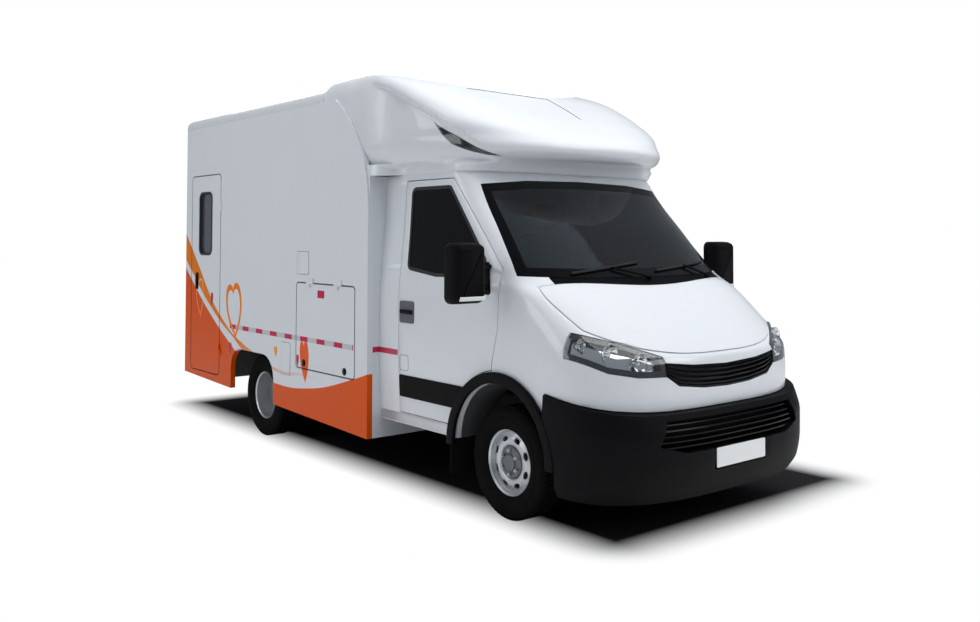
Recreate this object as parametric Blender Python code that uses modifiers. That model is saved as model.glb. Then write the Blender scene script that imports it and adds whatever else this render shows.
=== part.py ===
"""A bloodmobile: a coachbuilt body on the chassis and cab of a light van.

The front faces -Y, +X is the vehicle's left and +Z is up. The origin lies on the
ground under the middle of the vehicle's length and width. All sizes are in metres.
"""

import math

import bmesh
import bpy
from mathutils import Matrix, Vector

# Driving dimensions
LENGTH = 5.99
WHEELBASE = 3.311
FRONT_OVERHANG = 1.08
BODY_HALF_WIDTH = 1.103
CAB_HALF_WIDTH = 1.0
BODY_START = 1.383
BODY_END = 4.836
BODY_WALL = 0.045
CAB_WALL = 0.06
FRONT_Y = -LENGTH / 2
REAR_Y = LENGTH / 2
FRONT_AXLE_Y = FRONT_Y + FRONT_OVERHANG
REAR_AXLE_Y = FRONT_AXLE_Y + WHEELBASE
BODY_FRONT_Y = FRONT_AXLE_Y + BODY_START
BODY_REAR_Y = FRONT_AXLE_Y + BODY_END

# Clearances
SEAM = 0.0003
RUNNING_GAP = 0.0005
SHUT_GAP = 0.006
OVERRUN = 0.05

# Heights of the load body
SKIRT_FRONT_Z = 0.295
SKIRT_REAR_Z = 0.412
FLOOR_Z = 0.88
FLOOR_THICKNESS = 0.06
WALL_TOP_Z = 2.81
ROOF_EDGE_Z = 2.907
ROOF_CROWN = 0.025
ROOF_THICKNESS = 0.045
ROOF_EDGE_RADIUS = 0.07
SHOULDER_Z = 1.95
SHOULDER_RADIUS = 1.0
SHOULDER_STEPS = 8

# Heights and reaches of the cab
SILL_Z = 0.44
CAB_TOP_Z = 2.20
CAB_FLOOR_Z = 0.80
CAB_FLOOR_THICKNESS = 0.05
CAB_NOSE = 2.363
NOSE_WALL = 0.035
FIREWALL = 1.40
FIREWALL_THICKNESS = 0.04
FENDER_WALL = 0.012

# Wheels and tyres
TYRE_RADIUS = 0.352
TYRE_WIDTH = 0.195
BEAD_RADIUS = 0.2038
FLANGE_RADIUS = 0.222
FLANGE_WIDTH = 0.0095
RIM_HALF_WIDTH = 0.075
BARREL_RADIUS = 0.2035
BARREL_WALL = 0.011
DISC_WALL = 0.012
SPINDLE_RADIUS = 0.03
REAR_SPINDLE_RADIUS = 0.04
FRONT_WHEEL_X = 0.85
REAR_TWIN_X = 0.7825
TWIN_SPACING = 0.225
KINGPIN_X = 0.775
WHEEL_STEPS = 20

# Wheel arches
ARCH_CENTRE_Z = 0.40
ARCH_RADIUS = 0.45
ARCH_STEPS = 24
ARCH_TRIM_RADIUS = 0.52
ARCH_TRIM_DEPTH = 0.03
WELL_INNER_X = 0.52

# Chassis
RAIL_X = 0.40
RAIL_WIDTH = 0.07
RAIL_BOTTOM_Z = 0.50
RAIL_TOP_Z = 0.66
SPRING_X = 0.50
SPRING_WIDTH = 0.07
SPRING_REACH = 0.65

SIDES = (("right", -1), ("left", 1))


def reset():
    """Remove what the scene holds and return the collections for parts and cutters."""
    for obj in list(bpy.data.objects):
        bpy.data.objects.remove(obj, do_unlink=True)
    found = []
    for name in ("bloodmobile", "cutters"):
        collection = bpy.data.collections.new(name)
        bpy.context.scene.collection.children.link(collection)
        found.append(collection)
    return found


PARTS, CUTTERS = reset()


def material(name, colour, roughness=0.5, metallic=0.0):
    """Return a plain Principled material."""
    made = bpy.data.materials.new(name)
    made.use_nodes = True
    shader = made.node_tree.nodes["Principled BSDF"]
    shader.inputs["Base Color"].default_value = (*colour, 1.0)
    shader.inputs["Roughness"].default_value = roughness
    shader.inputs["Metallic"].default_value = metallic
    return made


WHITE_PAINT = material("white_paint", (0.80, 0.82, 0.84), 0.25)
BLACK_PLASTIC = material("black_plastic", (0.02, 0.02, 0.022), 0.55)
DARK_GLASS = material("dark_glass", (0.03, 0.035, 0.04), 0.05)
CLEAR_GLASS = material("clear_glass", (0.35, 0.40, 0.42), 0.05)
RUBBER = material("tyre_rubber", (0.02, 0.02, 0.02), 0.85)
WHEEL_SILVER = material("wheel_silver", (0.55, 0.56, 0.57), 0.3, 0.8)
CHASSIS_BLACK = material("chassis_black", (0.03, 0.03, 0.03), 0.6)
CAST_METAL = material("cast_metal", (0.25, 0.25, 0.26), 0.5, 0.6)
GREY_PLASTIC = material("grey_plastic", (0.12, 0.12, 0.13), 0.7)
CLOTH = material("grey_cloth", (0.10, 0.10, 0.11), 0.95)
LAMP_CLEAR = material("lamp_clear", (0.75, 0.78, 0.80), 0.08)


def add(name, bm, finish=None):
    """Make an object from a bmesh: a part if it has a finish, else a cutter."""
    mesh = bpy.data.meshes.new(name)
    bm.to_mesh(mesh)
    bm.free()
    obj = bpy.data.objects.new(name, mesh)
    place(obj, finish)
    return obj


def place(obj, finish=None):
    """Link an object as a part or as a cutter."""
    if finish is None:
        CUTTERS.objects.link(obj)
        obj.hide_render = True
        obj.display_type = "WIRE"
        return
    PARTS.objects.link(obj)
    obj.data.materials.clear()
    obj.data.materials.append(finish)


def smooth(obj, degrees=35):
    """Shade an object's mesh smooth and keep its sharp edges."""
    obj.data.shade_smooth()
    obj.data.set_sharp_from_angle(angle=math.radians(degrees))


def box(name, low, high, finish=None):
    """A box between two corners."""
    bm = bmesh.new()
    low, high = Vector(low), Vector(high)
    size = high - low
    middle = (low + high) / 2
    grow = Matrix.Diagonal((size.x, size.y, size.z, 1))
    bmesh.ops.create_cube(bm, size=1, matrix=Matrix.Translation(middle) @ grow)
    return add(name, bm, finish)


def rod(name, radius, start, end, finish=None, end_radius=None, segments=16):
    """A round bar, or a cone, from one point to another."""
    bm = bmesh.new()
    start, end = Vector(start), Vector(end)
    way = end - start
    turn = way.to_track_quat("Z", "Y").to_matrix().to_4x4()
    bmesh.ops.create_cone(
        bm,
        cap_ends=True,
        segments=segments,
        radius1=radius,
        radius2=radius if end_radius is None else end_radius,
        depth=way.length,
        matrix=Matrix.Translation((start + end) / 2) @ turn,
    )
    return add(name, bm, finish)


def meshed(obj, finish=None):
    """Turn a curve object into a welded mesh object of the same name and place."""
    name = obj.name
    graph = bpy.context.evaluated_depsgraph_get()
    mesh = bpy.data.meshes.new_from_object(obj.evaluated_get(graph))
    matrix = obj.matrix_world.copy()
    bpy.data.objects.remove(obj, do_unlink=True)
    bm = bmesh.new()
    bm.from_mesh(mesh)
    bmesh.ops.remove_doubles(bm, verts=bm.verts, dist=0.00001)
    bmesh.ops.recalc_face_normals(bm, faces=bm.faces)
    bm.to_mesh(mesh)
    bm.free()
    made = bpy.data.objects.new(name, mesh)
    made.matrix_world = matrix
    place(made, finish)
    return made


def plate(name, plane, outlines, low, high, finish=None):
    """A flat plate between two distances along the axis square to its plane."""
    turns = {
        "YZ": Matrix(((0, 0, 1, 0), (1, 0, 0, 0), (0, 1, 0, 0), (0, 0, 0, 1))),
        "XZ": Matrix(((1, 0, 0, 0), (0, 0, -1, 0), (0, 1, 0, 0), (0, 0, 0, 1))),
        "XY": Matrix.Identity(4),
    }
    ways = {"YZ": Vector((1, 0, 0)), "XZ": Vector((0, 1, 0)), "XY": Vector((0, 0, 1))}
    curve = bpy.data.curves.new(name, "CURVE")
    curve.dimensions = "2D"
    curve.fill_mode = "BOTH"
    curve.extrude = abs(high - low) / 2
    for outline in outlines:
        spline = curve.splines.new("POLY")
        spline.points.add(len(outline) - 1)
        for point, (across, up) in zip(spline.points, outline):
            point.co = (across, up, 0, 1)
        spline.use_cyclic_u = True
    obj = bpy.data.objects.new(name, curve)
    bpy.context.scene.collection.objects.link(obj)
    obj.matrix_world = Matrix.Translation(ways[plane] * (low + high) / 2) @ turns[plane]
    bpy.context.view_layer.update()
    return meshed(obj, finish)


def tube(name, points, radius, finish=None, resolution=2):
    """A round tube through points, with closed ends."""
    curve = bpy.data.curves.new(name, "CURVE")
    curve.dimensions = "3D"
    curve.bevel_depth = radius
    curve.bevel_resolution = resolution
    curve.use_fill_caps = True
    spline = curve.splines.new("POLY")
    spline.points.add(len(points) - 1)
    for point, place_of in zip(spline.points, points):
        point.co = (*place_of, 1)
    obj = bpy.data.objects.new(name, curve)
    bpy.context.scene.collection.objects.link(obj)
    bpy.context.view_layer.update()
    return meshed(obj, finish)


def turned(name, profile, centre, side, finish=None, steps=WHEEL_STEPS):
    """A body turned about the X axis from (radius, outboard offset) points."""
    closed = profile[0][0] > 0
    bm = bmesh.new()
    verts = [bm.verts.new((radius, 0, offset)) for radius, offset in profile]
    pairs = list(zip(verts, verts[1:]))
    if closed:
        pairs.append((verts[-1], verts[0]))
    for pair in pairs:
        bm.edges.new(pair)
    obj = add(name, bm, finish)
    screw = obj.modifiers.new("turn", "SCREW")
    screw.axis = "Z"
    screw.steps = steps
    screw.render_steps = steps
    screw.use_merge_vertices = True
    screw.merge_threshold = 0.0001
    screw.use_smooth_shade = True
    obj.location = centre
    obj.rotation_euler = (0, side * math.radians(90), 0)
    return obj


def cut(obj, cutter, operation="DIFFERENCE"):
    """Cut, join or trim an object with another."""
    modifier = obj.modifiers.new(cutter.name, "BOOLEAN")
    modifier.operation = operation
    modifier.solver = "EXACT"
    modifier.object = cutter
    return obj


def joined(obj, others):
    """Weld other solids to an object."""
    for other in others:
        cut(obj, other, "UNION")
    return obj


def copied(name, source, finish=None):
    """A copy of an object and of its modifiers."""
    made = source.copy()
    made.data = source.data.copy()
    made.name = name
    made.hide_render = False
    made.display_type = "TEXTURED"
    place(made, finish)
    return made


def grown(outline, amount):
    """An outline moved outwards by an amount, or inwards if it is negative."""
    area = sum(a[0] * b[1] - b[0] * a[1] for a, b in zip(outline, outline[1:] + outline[:1]))
    sign = 1 if area > 0 else -1
    made = []
    count = len(outline)
    for index, point in enumerate(outline):
        before = Vector(point) - Vector(outline[index - 1])
        after = Vector(outline[(index + 1) % count]) - Vector(point)
        first = Vector((before.y, -before.x)).normalized() * sign
        second = Vector((after.y, -after.x)).normalized() * sign
        miter = first + second
        miter = miter / max(miter.dot(first), SEAM)
        made.append(tuple(Vector(point) + miter * amount))
    return made


def rounded(corners, radius, segments=3):
    """An outline whose corners are arcs; radius is one size or one for each corner."""
    count = len(corners)
    radii = radius if isinstance(radius, (list, tuple)) else [radius] * count
    made = []
    for index, corner in enumerate(corners):
        corner = Vector(corner)
        back = Vector(corners[index - 1]) - corner
        ahead = Vector(corners[(index + 1) % count]) - corner
        half = back.angle(ahead) / 2
        if radii[index] == 0:
            made.append(tuple(corner))
            continue
        reach = min(radii[index] / math.tan(half), back.length / 2, ahead.length / 2)
        size = reach * math.tan(half)
        middle = corner + (back.normalized() + ahead.normalized()).normalized() * (size / math.sin(half))
        start = corner + back.normalized() * reach - middle
        end = corner + ahead.normalized() * reach - middle
        sweep = start.angle_signed(end)
        for step in range(segments + 1):
            angle = -sweep * step / segments
            spun = Matrix.Rotation(angle, 2) @ start
            made.append(tuple(middle + spun))
    return made


def arc(centre, radius, start, end, segments):
    """Points on a circle between two angles in degrees."""
    made = []
    for step in range(segments + 1):
        angle = math.radians(start + (end - start) * step / segments)
        made.append((centre[0] + radius * math.cos(angle), centre[1] + radius * math.sin(angle)))
    return made


def along(distance):
    """The Y of a point that lies a distance behind the front axle."""
    return FRONT_AXLE_Y + distance


# Horizontal rings make the cab and the fairing: each is a rounded front between two sides.
FRONT_STEPS = 6
FLARE_SHARES = (0.0, 0.5, 1.0)


def ring(height, front, corner, rear, width, rear_width, power, flare=None):
    """Points of one ring, from the middle of the front round the left to the right."""
    half = []
    for step in range(FRONT_STEPS + 1):
        angle = math.radians(90) * step / FRONT_STEPS
        across = width * math.sin(angle) ** (2 / power)
        back = corner - (corner - front) * math.cos(angle) ** (2 / power)
        half.append((across, back))
    for share in FLARE_SHARES if flare else ():
        blend = share * share * (3 - 2 * share)
        across = width + (rear_width - width) * blend
        half.append((across, flare[0] + (flare[1] - flare[0]) * share))
    half.append((rear_width, rear))
    other = [(-across, back) for across, back in reversed(half[1:])]
    return [(across, back, height) for across, back in half + other]


def loft(name, rings, finish=None):
    """A closed solid skinned over rings of equal point counts."""
    bm = bmesh.new()
    rows = [[bm.verts.new(point) for point in points] for points in rings]
    count = len(rows[0])
    for lower, upper in zip(rows, rows[1:]):
        for index in range(count):
            after = (index + 1) % count
            bm.faces.new((lower[index], lower[after], upper[after], upper[index]))
    bm.faces.new(list(reversed(rows[0])))
    bm.faces.new(rows[-1])
    bmesh.ops.recalc_face_normals(bm, faces=bm.faces)
    return add(name, bm, finish)


# The cab's rings: height as a share of its top, then how far the front and the side's
# start reach ahead of the load body as shares of the nose, half width share and power.
CAB_RING_SHARES = (
    (0.2000, 0.989, 0.738, 0.985, 3.0),
    (0.4091, 0.998, 0.738, 1.000, 3.0),
    (0.4727, 0.992, 0.729, 1.000, 3.0),
    (0.5000, 0.966, 0.721, 1.000, 3.0),
    (0.5455, 0.911, 0.695, 1.000, 3.0),
    (0.5909, 0.852, 0.670, 0.998, 3.0),
    (0.6364, 0.793, 0.628, 0.995, 3.0),
    (0.6818, 0.733, 0.543, 0.985, 3.0),
    (0.7273, 0.687, 0.513, 0.975, 3.0),
    (0.8182, 0.598, 0.447, 0.958, 3.0),
    (0.9091, 0.507, 0.381, 0.946, 3.0),
    (1.0000, 0.428, 0.335, 0.935, 3.0),
)


def cab_loft(name, inset=0.0, rear=SEAM, below=0.0, above=0.0, finish=None):
    """The cab's outer form, or one that lies an inset inside it."""
    rings = []
    last = len(CAB_RING_SHARES) - 1
    for index, (high, front, corner, wide, power) in enumerate(CAB_RING_SHARES):
        height = high * CAB_TOP_Z
        half_width = wide * CAB_HALF_WIDTH - inset
        front_y = BODY_FRONT_Y - front * CAB_NOSE + inset
        corner_y = BODY_FRONT_Y - corner * CAB_NOSE + inset / 2
        points = ring(height, front_y, corner_y, BODY_FRONT_Y - rear, half_width, half_width, power)
        if index == 0 and below:
            rings.append([(x, y, height - below) for x, y, z in points])
        rings.append(points)
        if index == last and above:
            rings.append([(x, y, height + above) for x, y, z in points])
    return loft(name, rings, finish)


# Outlines on the cab, in the side view as distances behind the front axle and heights
HOOD_REAR_CORNER = 0.20
HOOD_REAR_MIDDLE = 0.42
HOOD_SIDE_OUTLINE = (
    (-1.20, 0.95),
    (-0.60, 1.215),
    (-0.20, 1.490),
    (-0.20, 1.80),
    (-1.20, 1.80),
)
LAMP_OUTLINE = (
    (0.520, 0.950),
    (0.520, 1.066),
    (0.700, 1.135),
    (1.020, 1.236),
    (1.020, 1.080),
    (0.860, 0.985),
    (0.700, 0.955),
)
LAMP_REAR = 0.56
GRILLE_TOP_Z = 1.024
GRILLE_BOTTOM_Z = 0.885
GRILLE_TOP_X = 0.485
GRILLE_BOTTOM_X = 0.505
GRILLE_DEPTH = 0.03
GRILLE_SLATS = 4
GRILLE_SLAT = 0.012
BUMPER_LINE = (
    (-1.30, 0.745),
    (-0.95, 0.752),
    (-0.42, 0.840),
)
WINDSHIELD_OUTLINE = (
    (0.943, 1.515),
    (0.500, 1.500),
    (0.000, 1.496),
    (-0.500, 1.500),
    (-0.943, 1.515),
    (-0.850, 2.112),
    (-0.500, 2.142),
    (0.000, 2.152),
    (0.500, 2.142),
    (0.850, 2.112),
)
WINDSHIELD_REACH = 0.62
DOOR_OUTLINE = (
    (0.075, 0.520),
    (0.075, 0.960),
    (0.020, 1.180),
    (0.003, 1.560),
    (0.560, 2.155),
    (1.120, 2.155),
    (1.135, 1.500),
    (1.120, 0.520),
)
DOOR_WINDOW_OUTLINE = (
    (0.130, 1.575),
    (0.590, 2.105),
    (1.050, 2.105),
    (1.050, 1.530),
    (0.700, 1.490),
    (0.300, 1.500),
)
DOOR_WINDOW_RADIUS = 0.05
DOOR_THICKNESS = 0.055
DOOR_RANGE_Y = 0.003
GLASS_THICKNESS = 0.006
GLASS_SINK = 0.004


def side_outline(points):
    """Side-view points given as distances behind the front axle."""
    return [(along(distance), height) for distance, height in points]


def cowl_curve(offset):
    """The hood's bowed rear edge in plan, from left to right, moved back by an offset."""
    points = []
    for step in range(9):
        share = 1 - step / 4
        bow = HOOD_REAR_CORNER + (HOOD_REAR_MIDDLE - HOOD_REAR_CORNER) * (1 - share * share)
        points.append((share * (CAB_HALF_WIDTH + OVERRUN), along(offset - bow)))
    return points


def hood_zone(name, amount):
    """The space that the hood takes from the cab's form, grown by an amount."""
    plan = [(-CAB_HALF_WIDTH - OVERRUN, FRONT_Y), (CAB_HALF_WIDTH + OVERRUN, FRONT_Y), *cowl_curve(0)]
    zone = plate(name, "XY", [grown(plan, amount)], RAIL_TOP_Z, CAB_TOP_Z)
    side = grown(side_outline(HOOD_SIDE_OUTLINE), amount)
    reach = BODY_HALF_WIDTH
    cut(zone, plate(name + "_side", "YZ", [side], -reach, reach), "INTERSECT")
    lamp_top = [LAMP_OUTLINE[3], LAMP_OUTLINE[2], LAMP_OUTLINE[1]]
    front = [(CAB_HALF_WIDTH + OVERRUN, CAB_TOP_Z)]
    front += [(x + (OVERRUN if x >= CAB_HALF_WIDTH else 0), z + SHUT_GAP) for x, z in lamp_top]
    front += [(GRILLE_TOP_X, GRILLE_TOP_Z + SHUT_GAP)]
    front += [(-x, z) for x, z in reversed(front)]
    front = grown(front, amount)
    cut(zone, plate(name + "_front", "XZ", [front], FRONT_Y, BODY_FRONT_Y), "INTERSECT")
    return zone


def lamp_zone(name, side, amount):
    """The space of a headlamp in the front view, grown by an amount."""
    outline = grown([(side * x, z) for x, z in LAMP_OUTLINE], amount)
    return plate(name, "XZ", [outline], FRONT_Y, along(-LAMP_REAR) + amount)


def grille_outline(amount):
    """The outline of the grille band in the front view."""
    corners = [
        (GRILLE_TOP_X, GRILLE_TOP_Z),
        (GRILLE_BOTTOM_X, GRILLE_BOTTOM_Z),
        (-GRILLE_BOTTOM_X, GRILLE_BOTTOM_Z),
        (-GRILLE_TOP_X, GRILLE_TOP_Z),
    ]
    return grown(corners, amount)


def bumper_zone(name, amount):
    """The space below the painted nose, ahead of the front wheels."""
    line = side_outline(BUMPER_LINE)
    outline = [(FRONT_Y - OVERRUN, 0), *line, (line[-1][0], 0)]
    return plate(name, "YZ", [grown(outline, amount)], -BODY_HALF_WIDTH, BODY_HALF_WIDTH)


def arch_cylinder(name, side, radius, inner, outer, axle_y=FRONT_AXLE_Y):
    """A cylinder across a wheel arch between two distances from the middle."""
    start = (side * inner, axle_y, ARCH_CENTRE_Z)
    end = (side * outer, axle_y, ARCH_CENTRE_Z)
    return rod(name, radius, start, end, segments=ARCH_STEPS)


CAB_OUTER = cab_loft("cab_outer")
CAB_INNER = cab_loft("cab_inner", CAB_WALL, -OVERRUN, SILL_Z, OVERRUN)
NOSE_INNER = cab_loft("nose_inner", NOSE_WALL, -OVERRUN, SILL_Z, OVERRUN)
GLASS_OUTER = cab_loft("glass_outer", GLASS_SINK)
GLASS_INNER = cab_loft("glass_inner", GLASS_SINK + GLASS_THICKNESS, 0, OVERRUN, OVERRUN)

COWL_Z = 1.39
COWL_TOP_Z = 1.53
COWL_HALF_WIDTH = 0.80
COWL_SINK = 0.006
FIREWALL_Y = BODY_FRONT_Y - FIREWALL
COWL_SHELF_Z = 1.20
COWL_WALL_OFFSET = 0.05
CARRIER_HALF_WIDTH = 0.515
CARRIER_REACH = 0.90
CARRIER_DEPTH = 0.17
CARRIER_Z = 0.965
CARRIER_HEIGHT = 0.05
BUFFER_X = 0.40
BUFFER_REACH = 0.76
BUFFER_RADIUS = 0.015
STEP_FRONT = 0.56
STEP_REAR = 1.06
STEP_INNER_X = 0.76
STEP_Z = 0.52
UNDERFLOOR_X = 0.70


def cowl_space(name, offset, rear, low):
    """The space behind the cowl's bowed wall and above its shelf."""
    plan = cowl_curve(offset)
    plan += [(plan[-1][0], rear), (plan[0][0], rear)]
    return plate(name, "XY", [plan], low, CAB_TOP_Z + OVERRUN)


def make_cab():
    """The cab's shell: fenders, firewall, floor, pillars and cut roof."""
    cab = copied("cab_body", CAB_OUTER, WHITE_PAINT)
    wide = BODY_HALF_WIDTH
    cabin = copied("cabin_space", CAB_INNER)
    limits = box("cabin_limits", (-wide, FIREWALL_Y, CAB_FLOOR_Z), (wide, BODY_FRONT_Y + OVERRUN, CAB_TOP_Z + OVERRUN))
    shelf = cowl_space("cowl_limits", COWL_WALL_OFFSET + FIREWALL_THICKNESS, FIREWALL_Y + SEAM, COWL_SHELF_Z)
    cut(cabin, cut(limits, shelf, "UNION"), "INTERSECT")
    bay = copied("engine_space", NOSE_INNER)
    bay_rear = FIREWALL_Y - FIREWALL_THICKNESS
    cut(bay, box("engine_limits", (-wide, FRONT_Y, 0), (wide, bay_rear, CAB_TOP_Z)), "INTERSECT")
    cut(bay, cowl_space("cowl_wall", COWL_WALL_OFFSET, bay_rear + OVERRUN, COWL_SHELF_Z - FIREWALL_THICKNESS))
    under_top = CAB_FLOOR_Z - CAB_FLOOR_THICKNESS
    under = box("underfloor_space", (-UNDERFLOOR_X, bay_rear - OVERRUN, 0), (UNDERFLOOR_X, BODY_FRONT_Y + OVERRUN, under_top))
    for word, side in SIDES:
        liner = arch_cylinder("liner_" + word, side, ARCH_RADIUS + FENDER_WALL, WELL_INNER_X, wide)
        cut(bay, liner)
        cut(cabin, liner)
    cut(cab, cabin)
    cut(cab, bay)
    cut(cab, under)
    for word, side in SIDES:
        cut(cab, arch_cylinder("well_" + word, side, ARCH_RADIUS, WELL_INNER_X - OVERRUN, wide))
        low = (min(side * STEP_INNER_X, side * wide), along(STEP_FRONT), STEP_Z)
        high = (max(side * STEP_INNER_X, side * wide), along(STEP_REAR), CAB_FLOOR_Z + OVERRUN)
        cut(cab, box("step_" + word, low, high))
        cut(cab, door_zone("door_hole_" + word, side, SHUT_GAP / 2, CAB_WALL + SEAM))
        cut(cab, lamp_zone("lamp_hole_" + word, side, 0))
    cut(cab, hood_zone("hood_hole", SHUT_GAP / 2))
    cut(cab, plate("grille_hole", "XZ", [grille_outline(0)], FRONT_Y, bay_rear))
    carrier_low = (-CARRIER_HALF_WIDTH, along(-CARRIER_REACH), CARRIER_Z)
    carrier_high = (CARRIER_HALF_WIDTH, along(-CARRIER_REACH) + CARRIER_DEPTH, CARRIER_Z + CARRIER_HEIGHT)
    cut(cab, box("lock_carrier", carrier_low, carrier_high), "UNION")
    for word, side in SIDES:
        foot = (side * BUFFER_X, along(-BUFFER_REACH), CARRIER_Z + SEAM)
        buffer = rod("buffer_" + word, BUFFER_RADIUS, foot, (foot[0], foot[1], CAB_FLOOR_Z * 2), segments=10)
        cut(buffer, cab_loft("buffer_top_" + word, NOSE_WALL + SEAM, -OVERRUN, OVERRUN, OVERRUN), "INTERSECT")
        cut(cab, buffer, "UNION")
    cut(cab, cowl_zone("cowl_hole", SEAM))
    cut(cab, plate("windshield_hole", "XZ", [list(WINDSHIELD_OUTLINE)], FRONT_Y, along(WINDSHIELD_REACH)))
    cut(cab, bumper_zone("bumper_hole", SHUT_GAP / 2))


def door_zone(name, side, amount, depth):
    """The space that a cab door takes, grown by an amount."""
    outline = grown(side_outline(DOOR_OUTLINE), amount)
    low = side * (CAB_HALF_WIDTH - depth - (1 - CAB_RING_SHARES[-1][3]) * CAB_HALF_WIDTH)
    high = side * (CAB_HALF_WIDTH + OVERRUN)
    zone = plate(name, "YZ", [outline], min(low, high), max(low, high))
    cut(zone, arch_cylinder(name + "_arch", side, ARCH_TRIM_RADIUS + SHUT_GAP - amount, WELL_INNER_X, BODY_HALF_WIDTH))
    return zone


def make_cab_doors():
    """The cab's side doors with their glass; each one's origin is on its hinge."""
    for word, side in SIDES:
        hinge = Vector((side * CAB_HALF_WIDTH, along(DOOR_RANGE_Y), CAB_FLOOR_Z))
        door = copied("cab_door_" + word, CAB_OUTER, WHITE_PAINT)
        cut(door, cab_loft("door_back_" + word, DOOR_THICKNESS, -OVERRUN, OVERRUN, OVERRUN))
        cut(door, door_zone("door_form_" + word, side, -SHUT_GAP / 2, CAB_WALL), "INTERSECT")
        window = rounded(side_outline(DOOR_WINDOW_OUTLINE), DOOR_WINDOW_RADIUS)
        reach = (min(0, side * BODY_HALF_WIDTH), max(0, side * BODY_HALF_WIDTH))
        cut(door, plate("door_window_" + word, "YZ", [window], *reach))
        glass = copied("door_glass_" + word, GLASS_OUTER, DARK_GLASS)
        cut(glass, GLASS_INNER)
        cut(glass, plate("door_pane_" + word, "YZ", [grown(window, -SEAM)], *reach), "INTERSECT")
        for obj in (door, glass):
            set_origin(obj, hinge)


def set_origin(obj, point):
    """Move an object's origin to a point without moving its shape."""
    obj.data.transform(Matrix.Translation(-point))
    obj.location = point


def make_windshield():
    """The windshield in its frame."""
    glass = copied("windshield", GLASS_OUTER, CLEAR_GLASS)
    cut(glass, GLASS_INNER)
    pane = grown(list(WINDSHIELD_OUTLINE), -SEAM)
    cut(glass, plate("windshield_pane", "XZ", [pane], FRONT_Y, along(WINDSHIELD_REACH)), "INTERSECT")


HOOD_HINGE_Y = along(-HOOD_REAR_CORNER)
HOOD_HINGE_Z = 1.50


def make_hood():
    """The hood, hinged along its rear edge."""
    hood = copied("hood", CAB_OUTER, WHITE_PAINT)
    cut(hood, NOSE_INNER)
    cut(hood, hood_zone("hood_form", -SHUT_GAP / 2), "INTERSECT")
    set_origin(hood, Vector((0, HOOD_HINGE_Y, HOOD_HINGE_Z)))


LAMP_DEPTH = 0.10


def make_headlamps():
    """The headlamps: closed units that follow the nose."""
    for word, side in SIDES:
        lamp = copied("headlamp_" + word, CAB_OUTER, LAMP_CLEAR)
        cut(lamp, cab_loft("lamp_back_" + word, LAMP_DEPTH, -OVERRUN, OVERRUN, OVERRUN))
        cut(lamp, lamp_zone("lamp_form_" + word, side, -SEAM), "INTERSECT")


def make_grille():
    """The grille band between the headlamps, with open slots between its slats."""
    grille = cab_loft("grille", 0.004, finish=BLACK_PLASTIC)
    cut(grille, cab_loft("grille_back", GRILLE_DEPTH, -OVERRUN, OVERRUN, OVERRUN))
    cut(grille, plate("grille_form", "XZ", [grille_outline(-SEAM)], FRONT_Y, FIREWALL_Y), "INTERSECT")
    pitch = (GRILLE_TOP_Z - GRILLE_BOTTOM_Z) / GRILLE_SLATS
    for row in range(GRILLE_SLATS):
        low = GRILLE_BOTTOM_Z + pitch * row + GRILLE_SLAT
        high = GRILLE_BOTTOM_Z + pitch * (row + 1) - GRILLE_SLAT / 2
        wide = GRILLE_TOP_X - GRILLE_DEPTH
        cut(grille, box("grille_slot_%d" % row, (-wide, FRONT_Y, low), (wide, FIREWALL_Y, high)))


# The bumper's rings: height, reach ahead of the axle, half width share
BUMPER_RINGS = (
    (0.250, 1.010, 0.970),
    (0.330, 1.055, 1.015),
    (0.480, 1.080, 1.025),
    (0.620, 1.080, 1.028),
    (0.720, 1.045, 1.025),
    (0.790, 1.010, 1.020),
    (0.880, 0.990, 1.012),
)
BUMPER_CORNER = 0.42
BUMPER_POWER = 3.0
BUMPER_INSET = 0.03
INTAKE_OUTLINE = (
    (0.560, 0.690),
    (0.660, 0.560),
    (0.480, 0.530),
    (-0.480, 0.530),
    (-0.660, 0.560),
    (-0.560, 0.690),
)


def make_front_bumper():
    """The bumper that wraps round the nose, with its open lower intake."""
    rings = []
    corner = along(-BUMPER_CORNER)
    rear = corner + 3 * OVERRUN
    for height, reach, wide in BUMPER_RINGS:
        half_width = wide * CAB_HALF_WIDTH
        rings.append(ring(height, along(-reach), corner, rear, half_width, half_width, BUMPER_POWER))
    bumper = loft("front_bumper", rings, BLACK_PLASTIC)
    cut(bumper, cab_loft("bumper_back", BUMPER_INSET, -OVERRUN, SILL_Z, 0))
    cut(bumper, bumper_zone("bumper_form", -SHUT_GAP / 2), "INTERSECT")
    for word, side in SIDES:
        cut(bumper, arch_cylinder("bumper_arch_" + word, side, ARCH_TRIM_RADIUS + SEAM, WELL_INNER_X, BODY_HALF_WIDTH + OVERRUN))
    intake = plate("intake", "XZ", [list(INTAKE_OUTLINE)], FRONT_Y - OVERRUN, along(-BUMPER_CORNER))
    cut(bumper, intake)


FLAP_DISTANCE = 0.46
FLAP_THICKNESS = 0.01
FLAP_BOTTOM_Z = 0.21
FLAP_INNER_X = 0.76
TRIM_FOOT_Z = 0.40


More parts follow.
